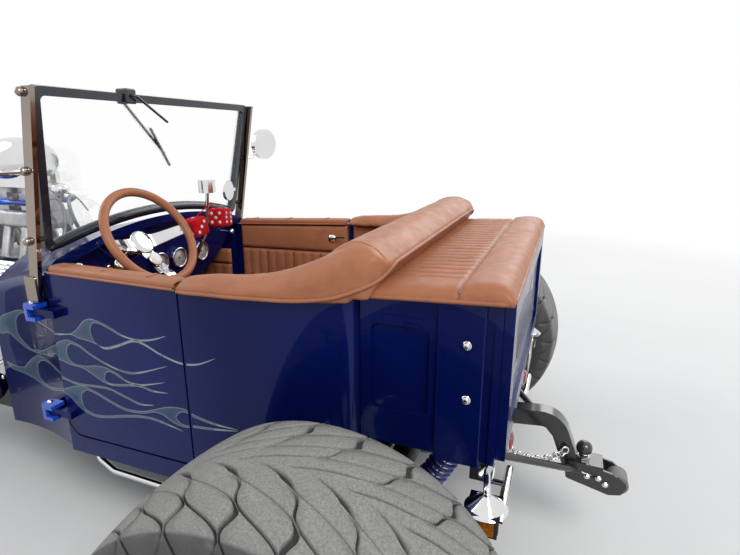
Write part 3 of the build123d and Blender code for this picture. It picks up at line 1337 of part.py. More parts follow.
def make_intake():
    """Tunnel-ram intake with two carburettors and blue fuel fittings."""
    y0 = ENGINE_REAR_Y - BLOCK_LENGTH + 40
    y1 = ENGINE_REAR_Y - 40
    middle = (y0 + y1) / 2
    low = CRANK_Z + 190
    high = CRANK_Z + 285
    valley = front_plate([(-60, low), (60, low), (110, high), (-110, high)], y0, y1)
    plenum = block(-72, 72, y0 + 30, y1 - 30, CARB_BASE_Z - 75, CARB_BASE_Z)
    plenum = fillet(plenum.edges().filter_by(Axis.Y), 18)
    intake = valley + plenum
    for index in range(4):
        y = y0 + 48 + index * (y1 - y0 - 96) / 3
        runner = rod((88, y, CRANK_Z + 270), (44, y, CARB_BASE_Z - 60), 21)
        intake += runner + mirrored(runner)
    for offset in (-95, 95):
        y = middle + offset
        intake += block(-48, 48, y - 56, y + 56, CARB_BASE_Z, CARB_BASE_Z + 72)
        intake += block(-40, 40, y - 76, y + 76, CARB_BASE_Z + 14, CARB_BASE_Z + 52)
        intake += disc((0, y, CARB_BASE_Z + 84), (0, 0, 1), 62, 30)
    head_top = DECK_DISTANCE + HEAD_HEIGHT + 2
    heads = bank_block(DECK_DISTANCE - 5, head_top, -DECK_HALF_WIDTH, 90, y0 - 60, y1 + 60)
    intake = intake - heads - mirrored(heads)
    core = [(-150, CRANK_Z - 60), (150, CRANK_Z - 60), (165, CRANK_Z + 60), (60, CRANK_Z + 190)]
    core += [(-60, CRANK_Z + 190), (-165, CRANK_Z + 60)]
    bank = bank_block(60, DECK_DISTANCE, -DECK_HALF_WIDTH, DECK_HALF_WIDTH, y0 - 60, y1 + 60)
    intake = intake - front_plate(core, y0 - 60, y1 + 60) - bank - mirrored(bank)
    return intake.solids().sort_by(SortBy.VOLUME)[-1]


def make_scoop():
    """Chrome teardrop scoop over the carburettors, open at the front."""
    tall = SCOOP_TOP_Z - SCOOP_BASE_Z - 22
    stations = ((SCOOP_FRONT_Y, 95, 0.82), (-740.0, 108, 1.0), (-610.0, 92, 0.86), (SCOOP_REAR_Y, 34, 0.36))
    sections = []
    for y, half, share in stations:
        z = SCOOP_BASE_Z + 22 + tall * 0.46
        face = Ellipse(half, tall * share * 0.54)
        sections.append(Plane(origin=(0, y, z), x_dir=(1, 0, 0), z_dir=(0, -1, 0)) * face)
    body = loft(sections)
    middle = ENGINE_REAR_Y - BLOCK_LENGTH / 2
    base = block(-74, 74, middle - 165, middle + 165, SCOOP_BASE_Z - 0.8, SCOOP_BASE_Z + 60)
    body += fillet(base.edges().filter_by(Axis.Z), 40)
    centre = (0, SCOOP_FRONT_Y - 5, SCOOP_BASE_Z + 22 + tall * 0.46)
    mouth = Plane(origin=centre, x_dir=(1, 0, 0), z_dir=(0, 1, 0))
    body -= extrude(mouth * Ellipse(85, tall * 0.82 * 0.54 - 9), amount=110)
    return body.solids().sort_by(SortBy.VOLUME)[-1]


def make_header():
    """Left exhaust header: four swept tubes into a capped collector."""
    angle = math.radians(BANK_ANGLE)
    u = DECK_DISTANCE + HEAD_HEIGHT * 0.5
    v = DECK_HALF_WIDTH
    port_x = u * math.sin(angle) + v * math.cos(angle)
    port_z = CRANK_Z + u * math.cos(angle) - v * math.sin(angle)
    out = Vector(math.cos(angle), 0, -math.sin(angle))
    cx, cy, cz = COLLECTOR
    header = rod((cx, cy - 170, cz), (cx, cy + 40, cz), 44)
    header += rod((cx, cy + 40, cz), (cx, cy + 52, cz), 56)
    shifts = ((14, 14), (-14, 14), (14, -14), (-14, -14))
    for index, (dx, dz) in enumerate(shifts):
        y = ENGINE_REAR_Y - 70 - index * PORT_SPACING
        start = Vector(port_x, y, port_z)
        knee = start + out * 95
        entry = Vector(cx + dx, cy - 160, cz + dz)
        lead = Vector(cx + dx, min(y + 40, cy - 210), cz + dz + (50 if index == 0 else 16))
        points = [start, knee, lead, entry]
        radius = [34, 30]
        if index == 0:
            points = [start, knee + out * 20, entry + Vector(0, 40, 10)]
            radius = [34]
        header += bent_tube([tuple(p) for p in points], 21, radius)
    flange = bank_block(u - 32, u + 32, v, v + 10, ENGINE_REAR_Y - 455, ENGINE_REAR_Y - 30)
    header += flange
    head = bank_block(DECK_DISTANCE, DECK_DISTANCE + HEAD_HEIGHT, -v, v, ENGINE_REAR_Y - 520, ENGINE_REAR_Y)
    return (header - head).solids().sort_by(SortBy.VOLUME)[-1]


def make_belt_drive():
    """Crank, pump and alternator pulleys with the belt and a six-blade fan."""
    y = ENGINE_REAR_Y - BLOCK_LENGTH - 24
    pump_z = CRANK_Z + 150
    drive = disc((0, y - 20, CRANK_Z), (0, 1, 0), 85, 40)
    drive += disc((0, y - 45, pump_z), (0, 1, 0), 28, 90)
    drive += disc((0, y - 30, pump_z), (0, 1, 0), 62, 20)
    drive += block(-70, 70, y - 12, y, CRANK_Z, pump_z + 50)
    alternator = (-215, y - 15, CRANK_Z + 120)
    drive += disc(alternator, (0, 1, 0), 62, 70)
    drive += disc((alternator[0], y - 58, alternator[2]), (0, 1, 0), 32, 20)
    belt = [(84, CRANK_Z), (61, pump_z + 20), (-20, pump_z + 60), (-230, alternator[2] + 28)]
    belt += [(-238, alternator[2] - 20), (-60, CRANK_Z - 60), (40, CRANK_Z - 74)]
    drive += front_plate(belt, y - 36, y - 26)
    fan_y = y - 84
    drive += disc((0, fan_y + 2, pump_z), (0, 1, 0), 52, 8)
    for index in range(6):
        blade = Pos(0, 0, 122) * Rot(0, 0, 28) * Box(64, 3, 160)
        drive += Pos(0, fan_y, pump_z) * Rot(0, index * 60, 0) * blade
    return drive.solids().sort_by(SortBy.VOLUME)[-1]


def make_gearbox():
    """Bellhousing, gearbox and driveshaft."""
    z = CRANK_Z
    y = ENGINE_REAR_Y + 0.2
    box = Solid.make_cone(166, 120, 170, Plane(origin=(0, y, z), z_dir=(0, 1, 0)))
    box += rod((0, y + 160, z), (0, y + 430, z), 104)
    box += rod((0, y + 420, z), (0, GEARBOX_TAIL_Y + 5, z), 55)
    box += block(-130, 130, y + 200, y + 390, z - 142, z - 60)
    box += rod(shaft_point(0), shaft_point(1), SHAFT_RADIUS)
    pinion_y = REAR_AXLE_Y - PINION_REACH
    box += rod((0, pinion_y - 20, REAR_TYRE_RADIUS), (0, pinion_y - 0.2, REAR_TYRE_RADIUS), 26)
    mount_z = RAIL_BOTTOM_Z + 25 + CROSS_TUBE / 2
    box += block(-60, 60, GEARBOX_MOUNT_Y - 25, GEARBOX_MOUNT_Y + 25, mount_z + 0.2, z - 90)
    return box.solids().sort_by(SortBy.VOLUME)[-1]


def make_radiator():
    """Radiator core with its feet and top hose."""
    y0 = RADIATOR_Y - RADIATOR_THICKNESS / 2
    y1 = y0 + RADIATOR_THICKNESS
    half = RADIATOR_HALF_WIDTH
    rail_top = RAIL_BOTTOM_Z + RAIL_HEIGHT
    core = block(-half, half, y0, y1, RADIATOR_BOTTOM_Z, RADIATOR_TOP_Z + 60)
    core &= extrude(shell_plane() * shell_outline(26, RADIATOR_BOTTOM_Z), amount=200)
    reach = RAIL_CENTRE_X + RAIL_WIDTH / 2
    feet = block(-reach, reach, y0 + 8, y1 - 8, rail_top, RADIATOR_BOTTOM_Z - 22)
    feet += block(-half, half, y0 + 8, y1 - 8, rail_top, RADIATOR_BOTTOM_Z)
    feet -= block(-half + 30, half - 30, y0, y1, 0, RADIATOR_BOTTOM_Z - 20)
    top = RADIATOR_TOP_Z - 60
    hose = bent_tube([(60, y1 - 2, top), (60, y1 + 40, top), (60, y1 + 66, CRANK_Z + 260)], 18, 24)
    shape = core + feet + hose
    return shape.solids().sort_by(SortBy.VOLUME)[-1]


def shell_plane():
    """Plane of the radiator shell's rear edge, facing forward."""
    rear = RADIATOR_Y + RADIATOR_THICKNESS / 2 + 6
    return Plane(origin=(0, rear, 0), x_dir=(1, 0, 0), z_dir=(0, -1, 0))


def shell_outline(inset, floor):
    """Arched front view outline of the radiator shell."""
    half = RADIATOR_HALF_WIDTH + 26 - inset
    shoulder = RADIATOR_TOP_Z - 40
    edges = [
        Line((half, floor), (half, shoulder)),
        ThreePointArc((half, shoulder), (0, RADIATOR_TOP_Z + 52 - inset), (-half, shoulder)),
        Line((-half, shoulder), (-half, floor)),
        Line((-half, floor), (half, floor)),
    ]
    face = make_face(Curve() + edges)
    return fillet(face.vertices().sort_by(Axis.Y)[-2:], 40 - inset / 2)


def make_grille_shell():
    """Polished radiator shell with an arched top and a filler cap."""
    depth = RADIATOR_THICKNESS + 32
    low = RADIATOR_BOTTOM_Z - 16
    shoulder = RADIATOR_TOP_Z - 40
    shell = extrude(shell_plane() * shell_outline(0, low), amount=depth)
    shell -= extrude(shell_plane() * shell_outline(25.6, low - 40), amount=depth - 8)
    front_y = RADIATOR_Y - RADIATOR_THICKNESS / 2 - 30
    mouth = [(-190, low + 40), (190, low + 40), (205, shoulder - 30), (-205, shoulder - 30)]
    shell -= front_plate(mouth, front_y, RADIATOR_Y)
    cap = disc((0, RADIATOR_Y - 10, RADIATOR_TOP_Z + 64), (0, 0, 1), 30, 40)
    return (shell + fillet(cap.edges(), 5)).solids().sort_by(SortBy.VOLUME)[-1]


def make_headlamp():
    """Left headlamp bucket on a stand from the chassis rail."""
    x, y, z = LAMP_CENTRE
    profile = [(0, 0), (LAMP_RADIUS, 0), (LAMP_RADIUS - 4, 40), (60, 96), (26, 122), (0, 126)]
    face = make_face(Polyline(profile, close=True))
    plane = Plane(origin=(x, y - 30, z), x_dir=(1, 0, 0), z_dir=(0, 0, 1))
    bucket = revolve(plane * face, axis=Axis((x, y, z), (0, 1, 0)))
    rim = ring((x, y - 32, z), (0, 1, 0), LAMP_RADIUS + 5, LAMP_RADIUS - 8, 14)
    foot_z = RAIL_BOTTOM_Z + RAIL_HEIGHT
    foot_x = RAIL_CENTRE_X
    stand = bent_tube([(foot_x, y + 45, foot_z), (foot_x, y + 45, foot_z + 160), (x, y + 24, z - 60)], 11, 60)
    plate = block(foot_x - 20, foot_x + 20, y + 25, y + 65, foot_z, foot_z + 10)
    return (bucket + rim + stand + plate).solids().sort_by(SortBy.VOLUME)[-1]


def bed_wall(x0, x1, y0, y1, low):
    """Upright plate of the bed, up to the bed's sloping top edge."""
    outline = [(y0, low), (y1, low), (y1, bed_top(y1)), (y0, bed_top(y0))]
    return side_plate(outline, x0, x1)


def bed_side():
    """Left bed side with its recessed panel and stake post."""
    x1 = BED_HALF_WIDTH
    side = bed_wall(x1 - BED_WALL, x1, BED_FRONT_Y, BED_REAR_Y, BED_BOTTOM_Z)
    y0 = BED_FRONT_Y + PANEL_FRONT_MARGIN
    y1 = POST_FRONT_Y - PANEL_REAR_MARGIN
    recess = block(x1 - PANEL_RECESS, x1 + 5, y0, y1, PANEL_BOTTOM_Z, PANEL_TOP_Z)
    recess = fillet(recess.edges().filter_by(Axis.X), PANEL_CORNER)
    side -= recess
    ledge = block(x1 - PANEL_RECESS - 2, x1 + 3, y0 + 24, y1 - 14, PANEL_TOP_Z + 11, PANEL_TOP_Z + 23)
    side += ledge
    post = bed_wall(x1 - 5, x1 + 10, POST_FRONT_Y, POST_REAR_Y, BED_BOTTOM_Z - 10)
    side += fillet(post.edges().filter_by(Axis.Z), 4)
    side += bed_wall(x1 - 5, x1 + 6, BED_REAR_Y - 16, BED_REAR_Y, BED_BOTTOM_Z)
    return side


def make_bed():
    """Short load bed: two sides, front wall and floor."""
    inner = BED_HALF_WIDTH - BED_WALL
    side = bed_side()
    floor = block(-inner - 5, inner + 5, BED_FRONT_Y, BED_REAR_Y, BED_BOTTOM_Z, BED_BOTTOM_Z + 16)
    front = block(-inner - 5, inner + 5, BED_FRONT_Y, BED_FRONT_Y + BED_WALL, BED_BOTTOM_Z, BED_TOP_Z)
    bed = side + mirrored(side) + floor + front
    for sign in (-1, 1):
        x = sign * RAIL_CENTRE_X
        top = KICK_BOTTOM_Z + RAIL_HEIGHT
        bed += block(x - 15, x + 15, BED_FRONT_Y + 40, RAIL_REAR_Y - 30, top, BED_BOTTOM_Z)
    return bed.solids().sort_by(SortBy.VOLUME)[-1]


def make_tailgate():
    """Tailgate with a moulded frame around its recessed panel."""
    y0 = BED_REAR_Y + TAILGATE_GAP
    y1 = y0 + TAILGATE_THICKNESS
    half = BED_HALF_WIDTH - 4
    low = BED_BOTTOM_Z + 12
    top = bed_top(BED_REAR_Y)
    gate = block(-half, half, y0, y1, low, top)
    frame = TAILGATE_FRAME
    panel = block(-half + frame, half - frame, y1 - 10, y1 + 5, low + frame - 10, top - frame + 10)
    gate -= fillet(panel.edges().filter_by(Axis.Y), 24)
    return gate


def make_tonneau():
    """Padded cover over the bed, tucked under the overhang of the roll."""
    half = BED_HALF_WIDTH + TONNEAU_OVERHANG
    base = bed_top(ROLL_BASE_Y) + SOFT_GAP
    lean = (ROLL_PIPING[0] - ROLL_BASE_Y) / (ROLL_PIPING[1] - base)
    front = ROLL_BASE_Y + 1
    rear = BED_REAR_Y + TAILGATE_THICKNESS
    tip = front + lean * (TONNEAU_THICKNESS + 1)
    outline = [
        (front, bed_top(front) + SOFT_GAP),
        (rear, bed_top(rear) + SOFT_GAP),
        (rear, bed_top(rear) + TONNEAU_THICKNESS),
        (tip, bed_top(front) + TONNEAU_THICKNESS),
    ]
    pad = side_plate(outline, -half, half)
    return fillet(pad.edges().filter_by(lambda e: e.center().Y > front + 30), 11)


def make_tail_lamp():
    """Left round tail lamp on a stalk from the tow cross member."""
    x = 212
    z = 478
    top = TOW_CROSS_Z + TOW_CROSS_SIZE / 2
    body = rod((x, RAIL_REAR_Y + 8, z), (x, 1384, z), 30)
    y = RAIL_REAR_Y - 20
    body += bent_tube([(x, y, top), (x, y, z + 4), (x, RAIL_REAR_Y + 20, z + 4)], 9, 14)
    return body.solids().sort_by(SortBy.VOLUME)[-1]


def make_lantern():
    """Left lantern lamp on its bracket under the bed corner."""
    x, y, z = LANTERN
    body = block(x - 30, x + 30, y - 30, y + 30, z - 34, z + 18)
    roof = Solid.make_cone(48, 6, 34, Plane(origin=(x, y, z + 18)))
    roof_edges = block(x - 40, x + 40, y - 40, y + 40, z + 18, z + 24)
    bracket = bent_tube([(x, y, z + 30), (x, y, z + 62), (x - 74, y - 12, z + 62)], 8, 14)
    stub = block(x - 96, x - 62, POST_REAR_Y + 1, BED_REAR_Y - 1, z + 44, BED_BOTTOM_Z - SOFT_GAP)
    shape = body + roof + roof_edges + bracket + stub
    return shape.solids().sort_by(SortBy.VOLUME)[-1]


def make_plate_bracket():
    """Number plate bracket with a blank plate, on the right rail's rear end."""
    y = BED_REAR_Y + 16
    plate = block(-PLATE_CENTRE_X - 84, -PLATE_CENTRE_X + 84, y, y + 3, 468, 560)
    for dx in (-PLATE_BOLT_SPACING / 2, PLATE_BOLT_SPACING / 2):
        plate -= disc((-PLATE_CENTRE_X + dx, y, 548), (0, 1, 0), PLATE_BOLT_RADIUS, 20)
    arm = block(-RAIL_CENTRE_X - 15, -RAIL_CENTRE_X + 15, RAIL_REAR_Y, y, 510, 524)
    return (plate + arm).solids().sort_by(SortBy.VOLUME)[-1]


def make_rear_bars():
    """Pair of chrome bars behind the bed with their stays from the tow cross member."""
    y = 1392
    z = 388
    low = z - 50
    bar = bent_tube([(-470, y - 60, low), (-440, y, z), (440, y, z), (470, y - 60, low)], 12, 40)
    top = TOW_CROSS_Z - TOW_CROSS_SIZE / 2
    for side in (-1, 1):
        x = side * 290
        bar += bent_tube([(x, RAIL_REAR_Y - 20, top), (x, RAIL_REAR_Y - 20, z), (x, y - 6, z)], 10, 20)
    return bar - block(-215, 215, y - 30, y + 30, z - 30, z + 30)


def make_drawbar():
    """Black square drawbar that drops behind the bed."""
    start = (0, RAIL_REAR_Y, TOW_CROSS_Z)
    path = FilletPolyline(start, (0, 1504, 462), (0, 1566, 300), radius=62)
    section = Plane(origin=start, z_dir=(0, 1, 0)) * Rectangle(HITCH_TUBE, HITCH_TUBE)
    x, y, z = CHAIN_END
    stud = rod((HITCH_TUBE / 2 - 2, y, z), (x + 8, y, z), CHAIN_STUD)
    return sweep(section, path=path) + stud


def make_wheelie_bar():
    """Bracket behind the drawbar: two side plates, the tow ball's seat and the two arms."""
    rx, ry, rz = ROLLER_CENTRE
    bx, by, bz = BALL_CENTRE
    front = (by - 54, bz - 36)
    outline = [
        front,
        (by + 6, bz - 32),
        (ry - 16, rz + 38),
        (ry + 26, rz + 6),
        (ry + 10, rz - 26),
        (ry - 24, rz - 34),
        (front[0] + 8, front[1] - 56),
    ]
    plate = side_plate(outline, PLATE_HALF - PLATE_THICKNESS, PLATE_HALF)
    plate = fillet(plate.edges().filter_by(Axis.X), 12)
    slot = block(PLATE_HALF - 20, PLATE_HALF + 5, by - 2, by + 40, bz - 72, bz - 54)
    plate -= fillet(slot.edges().filter_by(Axis.X), 8)
    bracket = plate + mirrored(plate)
    bracket += block(-PLATE_HALF + 1, PLATE_HALF - 1, by - 28, by + 56, bz - 46, bz - 34)
    bracket += rod((0, by, bz - 42), (0, by, bz - 15), 14)
    bracket += Pos(0, by, bz) * Sphere(BALL_RADIUS)
    bracket += rod((-PLATE_HALF + 1, ry, rz), (PLATE_HALF - 1, ry, rz), ROLLER_PIN)
    for sign in (-1, 1):
        x = sign * STRUT_X
        start = (x, RAIL_REAR_Y + 2, TOW_CROSS_Z - 6)
        joint_y = by - 30
        joint_z = bz - 58
        bracket += rod(start, (sign * (PLATE_HALF + 6), joint_y - 4, joint_z + 4), 11)
        bracket += block(x - 18, x + 18, RAIL_REAR_Y, RAIL_REAR_Y + 8, TOW_CROSS_Z - 18, TOW_CROSS_Z + 18)
        bracket += disc((sign * (PLATE_HALF + 6), joint_y, joint_z), (1, 0, 0), 15, 16)
    bracket -= block(-400, 400, RAIL_REAR_Y - 60, RAIL_REAR_Y, 300, 600)
    return (bracket - make_drawbar()).solids().sort_by(SortBy.VOLUME)[-1]


def make_roller():
    """Small black roller between the side plates."""
    half = PLATE_HALF - PLATE_THICKNESS
    return ring(ROLLER_CENTRE, (1, 0, 0), ROLLER_RADIUS, ROLLER_PIN + BEARING_CLEARANCE, 2 * half - 2)


def make_safety_chain():
    """Safety chain: round links that sag from a stud on the cross member to one on the drawbar."""
    hang = CHAIN_LINK - CHAIN_WIRE - CHAIN_STUD - 2 * SOFT_GAP
    start = Vector(*CHAIN_START) - Vector(0, 0, hang)
    end = Vector(*CHAIN_END) - Vector(0, 0, hang)
    first = Vector(start.X - 8, start.Y + 30, CHAIN_SAG_Z)
    second = Vector(end.X + 14, end.Y - 30, CHAIN_SAG_Z)
    path = Bezier(start, first, second, end)
    count = 2 * round(path.length / CHAIN_PITCH / 2) + 1
    links = []
    for index in range(count + 1):
        share = index / count
        roll = 0 if index % 2 else 90
        plane = Plane(origin=path @ share, z_dir=path % share, x_dir=(0, 0, 1))
        links.append(plane * Rot(0, 0, roll) * Rot(90, 0, 0) * Torus(CHAIN_LINK, CHAIN_WIRE))
    return links


def build():
    """Write every node of the car."""
    os.makedirs("parts", exist_ok=True)
    save("frame_rails", make_frame())
    save("cowl_body", make_cowl_with_hinges())
    save("rear_body", make_rear_body())
    save("floor_pan", make_floor())
    door = make_door_set()
    trim = make_door_trim()
    pad = make_door_pad()
    save("door_left", door)
    save("door_right", mirrored(door))
    save("door_trim_left", trim, pad)
    save("door_trim_right", mirrored(trim), mirrored(pad))
    save("dash_panel", make_dash())
    save("gauges_and_knobs", *make_gauges())
    save("steering_column", make_column())
    save("steering_wheel", make_steering_rim(), make_steering_hub())
    save("windscreen_frame", make_screen_frame())
    save("windscreen_glass", make_screen_glass())
    save("windscreen_posts", *pair(make_screen_posts()))
    save("mirrors", *pair(make_door_mirror()), make_oval_mirror())
    save("shift_lever", make_shifter())
    save("hanging_dice", make_dice())
    save("pedals", *make_pedals())
    save("bench_seat", *make_seat())
    save("bolster_roll", make_bolster())
    save("front_axle", make_front_axle())
    save("front_suspension", *make_front_suspension(), *pair(make_radius_rod()))
    save("knuckle_left", make_knuckle(False))
    save("knuckle_right", mirrored(make_knuckle(True)))
    save("tie_rod", make_tie_rod())
    save("pitman_arm", make_pitman_arm())
    save("drag_link", make_drag_link())
    for name, shape in (("tyre", make_front_tyre()), ("wheel", make_front_wheel())):
        save(f"front_{name}_left", shape)
        save(f"front_{name}_right", mirrored(shape))
    for name, shape in (("tyre", make_rear_tyre()), ("wheel", make_rear_wheel())):
        save(f"rear_{name}_left", shape)
        save(f"rear_{name}_right", mirrored(shape))
    save("rear_axle", make_rear_axle())
    save("rear_suspension", *pair(make_rear_radius_rod()), *pair(make_coilover()))
    save("engine_block", make_engine_block())
    save("valve_covers", *make_valve_covers())
    save("intake_and_carburettors", make_intake())
    save("air_scoop", make_scoop())
    save("exhaust_headers", *pair(make_header()))
    save("belt_drive", make_belt_drive())
    save("gearbox_and_driveshaft", make_gearbox())
    save("radiator_core", make_radiator())
    save("grille_shell", make_grille_shell())
    save("headlamps", *pair(make_headlamp()))
    save("bed_box", make_bed())
    save("tailgate", make_tailgate())
    save("tonneau_cover", make_tonneau())
    save("rear_lamps", *pair(make_tail_lamp()), *pair(make_lantern()))
    save("rear_bars_and_plate", make_rear_bars(), make_plate_bracket())
    save("drawbar", make_drawbar())
    save("wheelie_bar", make_wheelie_bar())
    save("wheelie_roller", make_roller())
    save("safety_chain", *make_safety_chain())


build()
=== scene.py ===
"""Dresses the street rod roadster: paint, leather, tyres, glass, lamps and engine details, and sets the stage."""

import json
import math
import sys

import bmesh
import bpy
from bpy.props import BoolProperty, FloatProperty, FloatVectorProperty, IntProperty, PointerProperty
from mathutils import Matrix, Vector, geometry, noise
from mathutils.bvhtree import BVHTree
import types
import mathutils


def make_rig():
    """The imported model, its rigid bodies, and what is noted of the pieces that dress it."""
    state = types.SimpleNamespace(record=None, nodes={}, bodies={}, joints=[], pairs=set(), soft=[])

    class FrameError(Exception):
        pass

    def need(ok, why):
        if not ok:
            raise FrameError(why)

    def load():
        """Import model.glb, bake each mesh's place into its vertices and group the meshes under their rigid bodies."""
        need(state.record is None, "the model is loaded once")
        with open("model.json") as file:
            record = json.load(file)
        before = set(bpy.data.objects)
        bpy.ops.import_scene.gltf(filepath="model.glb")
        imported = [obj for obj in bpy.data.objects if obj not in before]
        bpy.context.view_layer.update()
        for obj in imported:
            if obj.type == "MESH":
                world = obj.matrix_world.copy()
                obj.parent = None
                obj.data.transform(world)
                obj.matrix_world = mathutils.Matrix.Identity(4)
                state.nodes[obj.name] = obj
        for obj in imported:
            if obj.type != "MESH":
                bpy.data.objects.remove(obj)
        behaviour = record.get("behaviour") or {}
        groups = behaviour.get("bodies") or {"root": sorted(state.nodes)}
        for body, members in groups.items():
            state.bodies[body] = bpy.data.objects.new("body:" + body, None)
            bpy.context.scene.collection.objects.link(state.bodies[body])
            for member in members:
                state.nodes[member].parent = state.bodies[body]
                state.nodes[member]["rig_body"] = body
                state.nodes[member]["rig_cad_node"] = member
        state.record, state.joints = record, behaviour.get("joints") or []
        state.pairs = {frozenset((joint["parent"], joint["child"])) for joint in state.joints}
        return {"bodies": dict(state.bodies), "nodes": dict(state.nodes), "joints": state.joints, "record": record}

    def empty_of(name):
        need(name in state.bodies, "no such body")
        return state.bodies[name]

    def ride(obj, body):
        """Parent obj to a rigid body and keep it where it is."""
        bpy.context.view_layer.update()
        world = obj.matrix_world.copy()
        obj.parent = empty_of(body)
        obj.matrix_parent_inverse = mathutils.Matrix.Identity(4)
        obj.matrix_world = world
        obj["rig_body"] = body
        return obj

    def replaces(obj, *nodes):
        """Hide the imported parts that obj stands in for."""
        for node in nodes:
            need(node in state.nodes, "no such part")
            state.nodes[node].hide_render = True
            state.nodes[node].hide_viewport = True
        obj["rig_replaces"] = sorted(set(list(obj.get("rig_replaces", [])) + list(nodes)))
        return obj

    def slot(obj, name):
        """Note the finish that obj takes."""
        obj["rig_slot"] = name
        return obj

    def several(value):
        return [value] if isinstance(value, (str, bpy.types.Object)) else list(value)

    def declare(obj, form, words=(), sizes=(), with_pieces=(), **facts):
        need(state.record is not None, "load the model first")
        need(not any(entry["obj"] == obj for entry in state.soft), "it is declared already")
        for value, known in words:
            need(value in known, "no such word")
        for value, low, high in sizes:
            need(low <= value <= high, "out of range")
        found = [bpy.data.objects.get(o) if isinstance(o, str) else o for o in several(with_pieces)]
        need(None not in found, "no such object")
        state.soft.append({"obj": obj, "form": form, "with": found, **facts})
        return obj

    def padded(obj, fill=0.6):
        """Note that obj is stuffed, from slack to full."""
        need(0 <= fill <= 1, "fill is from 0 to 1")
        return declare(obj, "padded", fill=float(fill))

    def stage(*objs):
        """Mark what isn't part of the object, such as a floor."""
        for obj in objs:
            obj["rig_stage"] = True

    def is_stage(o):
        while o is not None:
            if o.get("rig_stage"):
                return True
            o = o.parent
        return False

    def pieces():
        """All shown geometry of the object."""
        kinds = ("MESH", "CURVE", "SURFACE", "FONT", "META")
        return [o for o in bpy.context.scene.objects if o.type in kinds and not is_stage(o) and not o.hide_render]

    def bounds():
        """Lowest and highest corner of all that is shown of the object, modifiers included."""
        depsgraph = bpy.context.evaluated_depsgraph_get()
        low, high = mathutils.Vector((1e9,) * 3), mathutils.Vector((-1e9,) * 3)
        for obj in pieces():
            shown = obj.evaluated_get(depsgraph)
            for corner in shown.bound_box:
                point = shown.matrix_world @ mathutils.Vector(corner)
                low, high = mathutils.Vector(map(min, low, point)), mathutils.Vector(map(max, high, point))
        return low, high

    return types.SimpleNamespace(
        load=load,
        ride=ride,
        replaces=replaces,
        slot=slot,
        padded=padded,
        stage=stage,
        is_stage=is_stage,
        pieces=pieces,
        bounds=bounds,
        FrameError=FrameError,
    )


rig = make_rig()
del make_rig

bl_info = {
    "name": "Street Rod Roadster",
    "version": (1, 0, 0),
    "blender": (4, 5, 0),
    "location": "View3D > Sidebar > Roadster",
    "description": "Dresses the street rod roadster and sets its stage",
    "category": "Object",
}

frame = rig.load()
CAD_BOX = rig.bounds()
NODES = frame["nodes"]
SIDES = (("left", 1), ("right", -1))

# Places shared by several pieces, in metres
REAR_HUB = Vector((0.915, 1.115, 0.393))
FRONT_HUB = Vector((0.645, -1.428, 0.320))
# How far the shared frame lies behind the station at which a place along the car is given
BACK = 0.022
X, Y, Z = (1, 0, 0), (0, 1, 0), (0, 0, 1)


def at(x, y, z):
    """A place given by its station along the car, in millimetres."""
    return Vector((x / 1000, y / 1000 + BACK, z / 1000))


def spread_round(count, start=0.0):
    """Angles spread evenly round a circle."""
    return [2 * math.pi * (k + start) / count for k in range(count)]


def ease(value, low, high):
    """Smooth step from 0 to 1."""
    t = min(1.0, max(0.0, (value - low) / (high - low)))
    return t * t * (3 - 2 * t)


# Materials


def scaled(tone, factor, lift=0.0):
    """A tone made darker or paler."""
    return tuple(min(1.0, c * factor + lift) for c in tone)


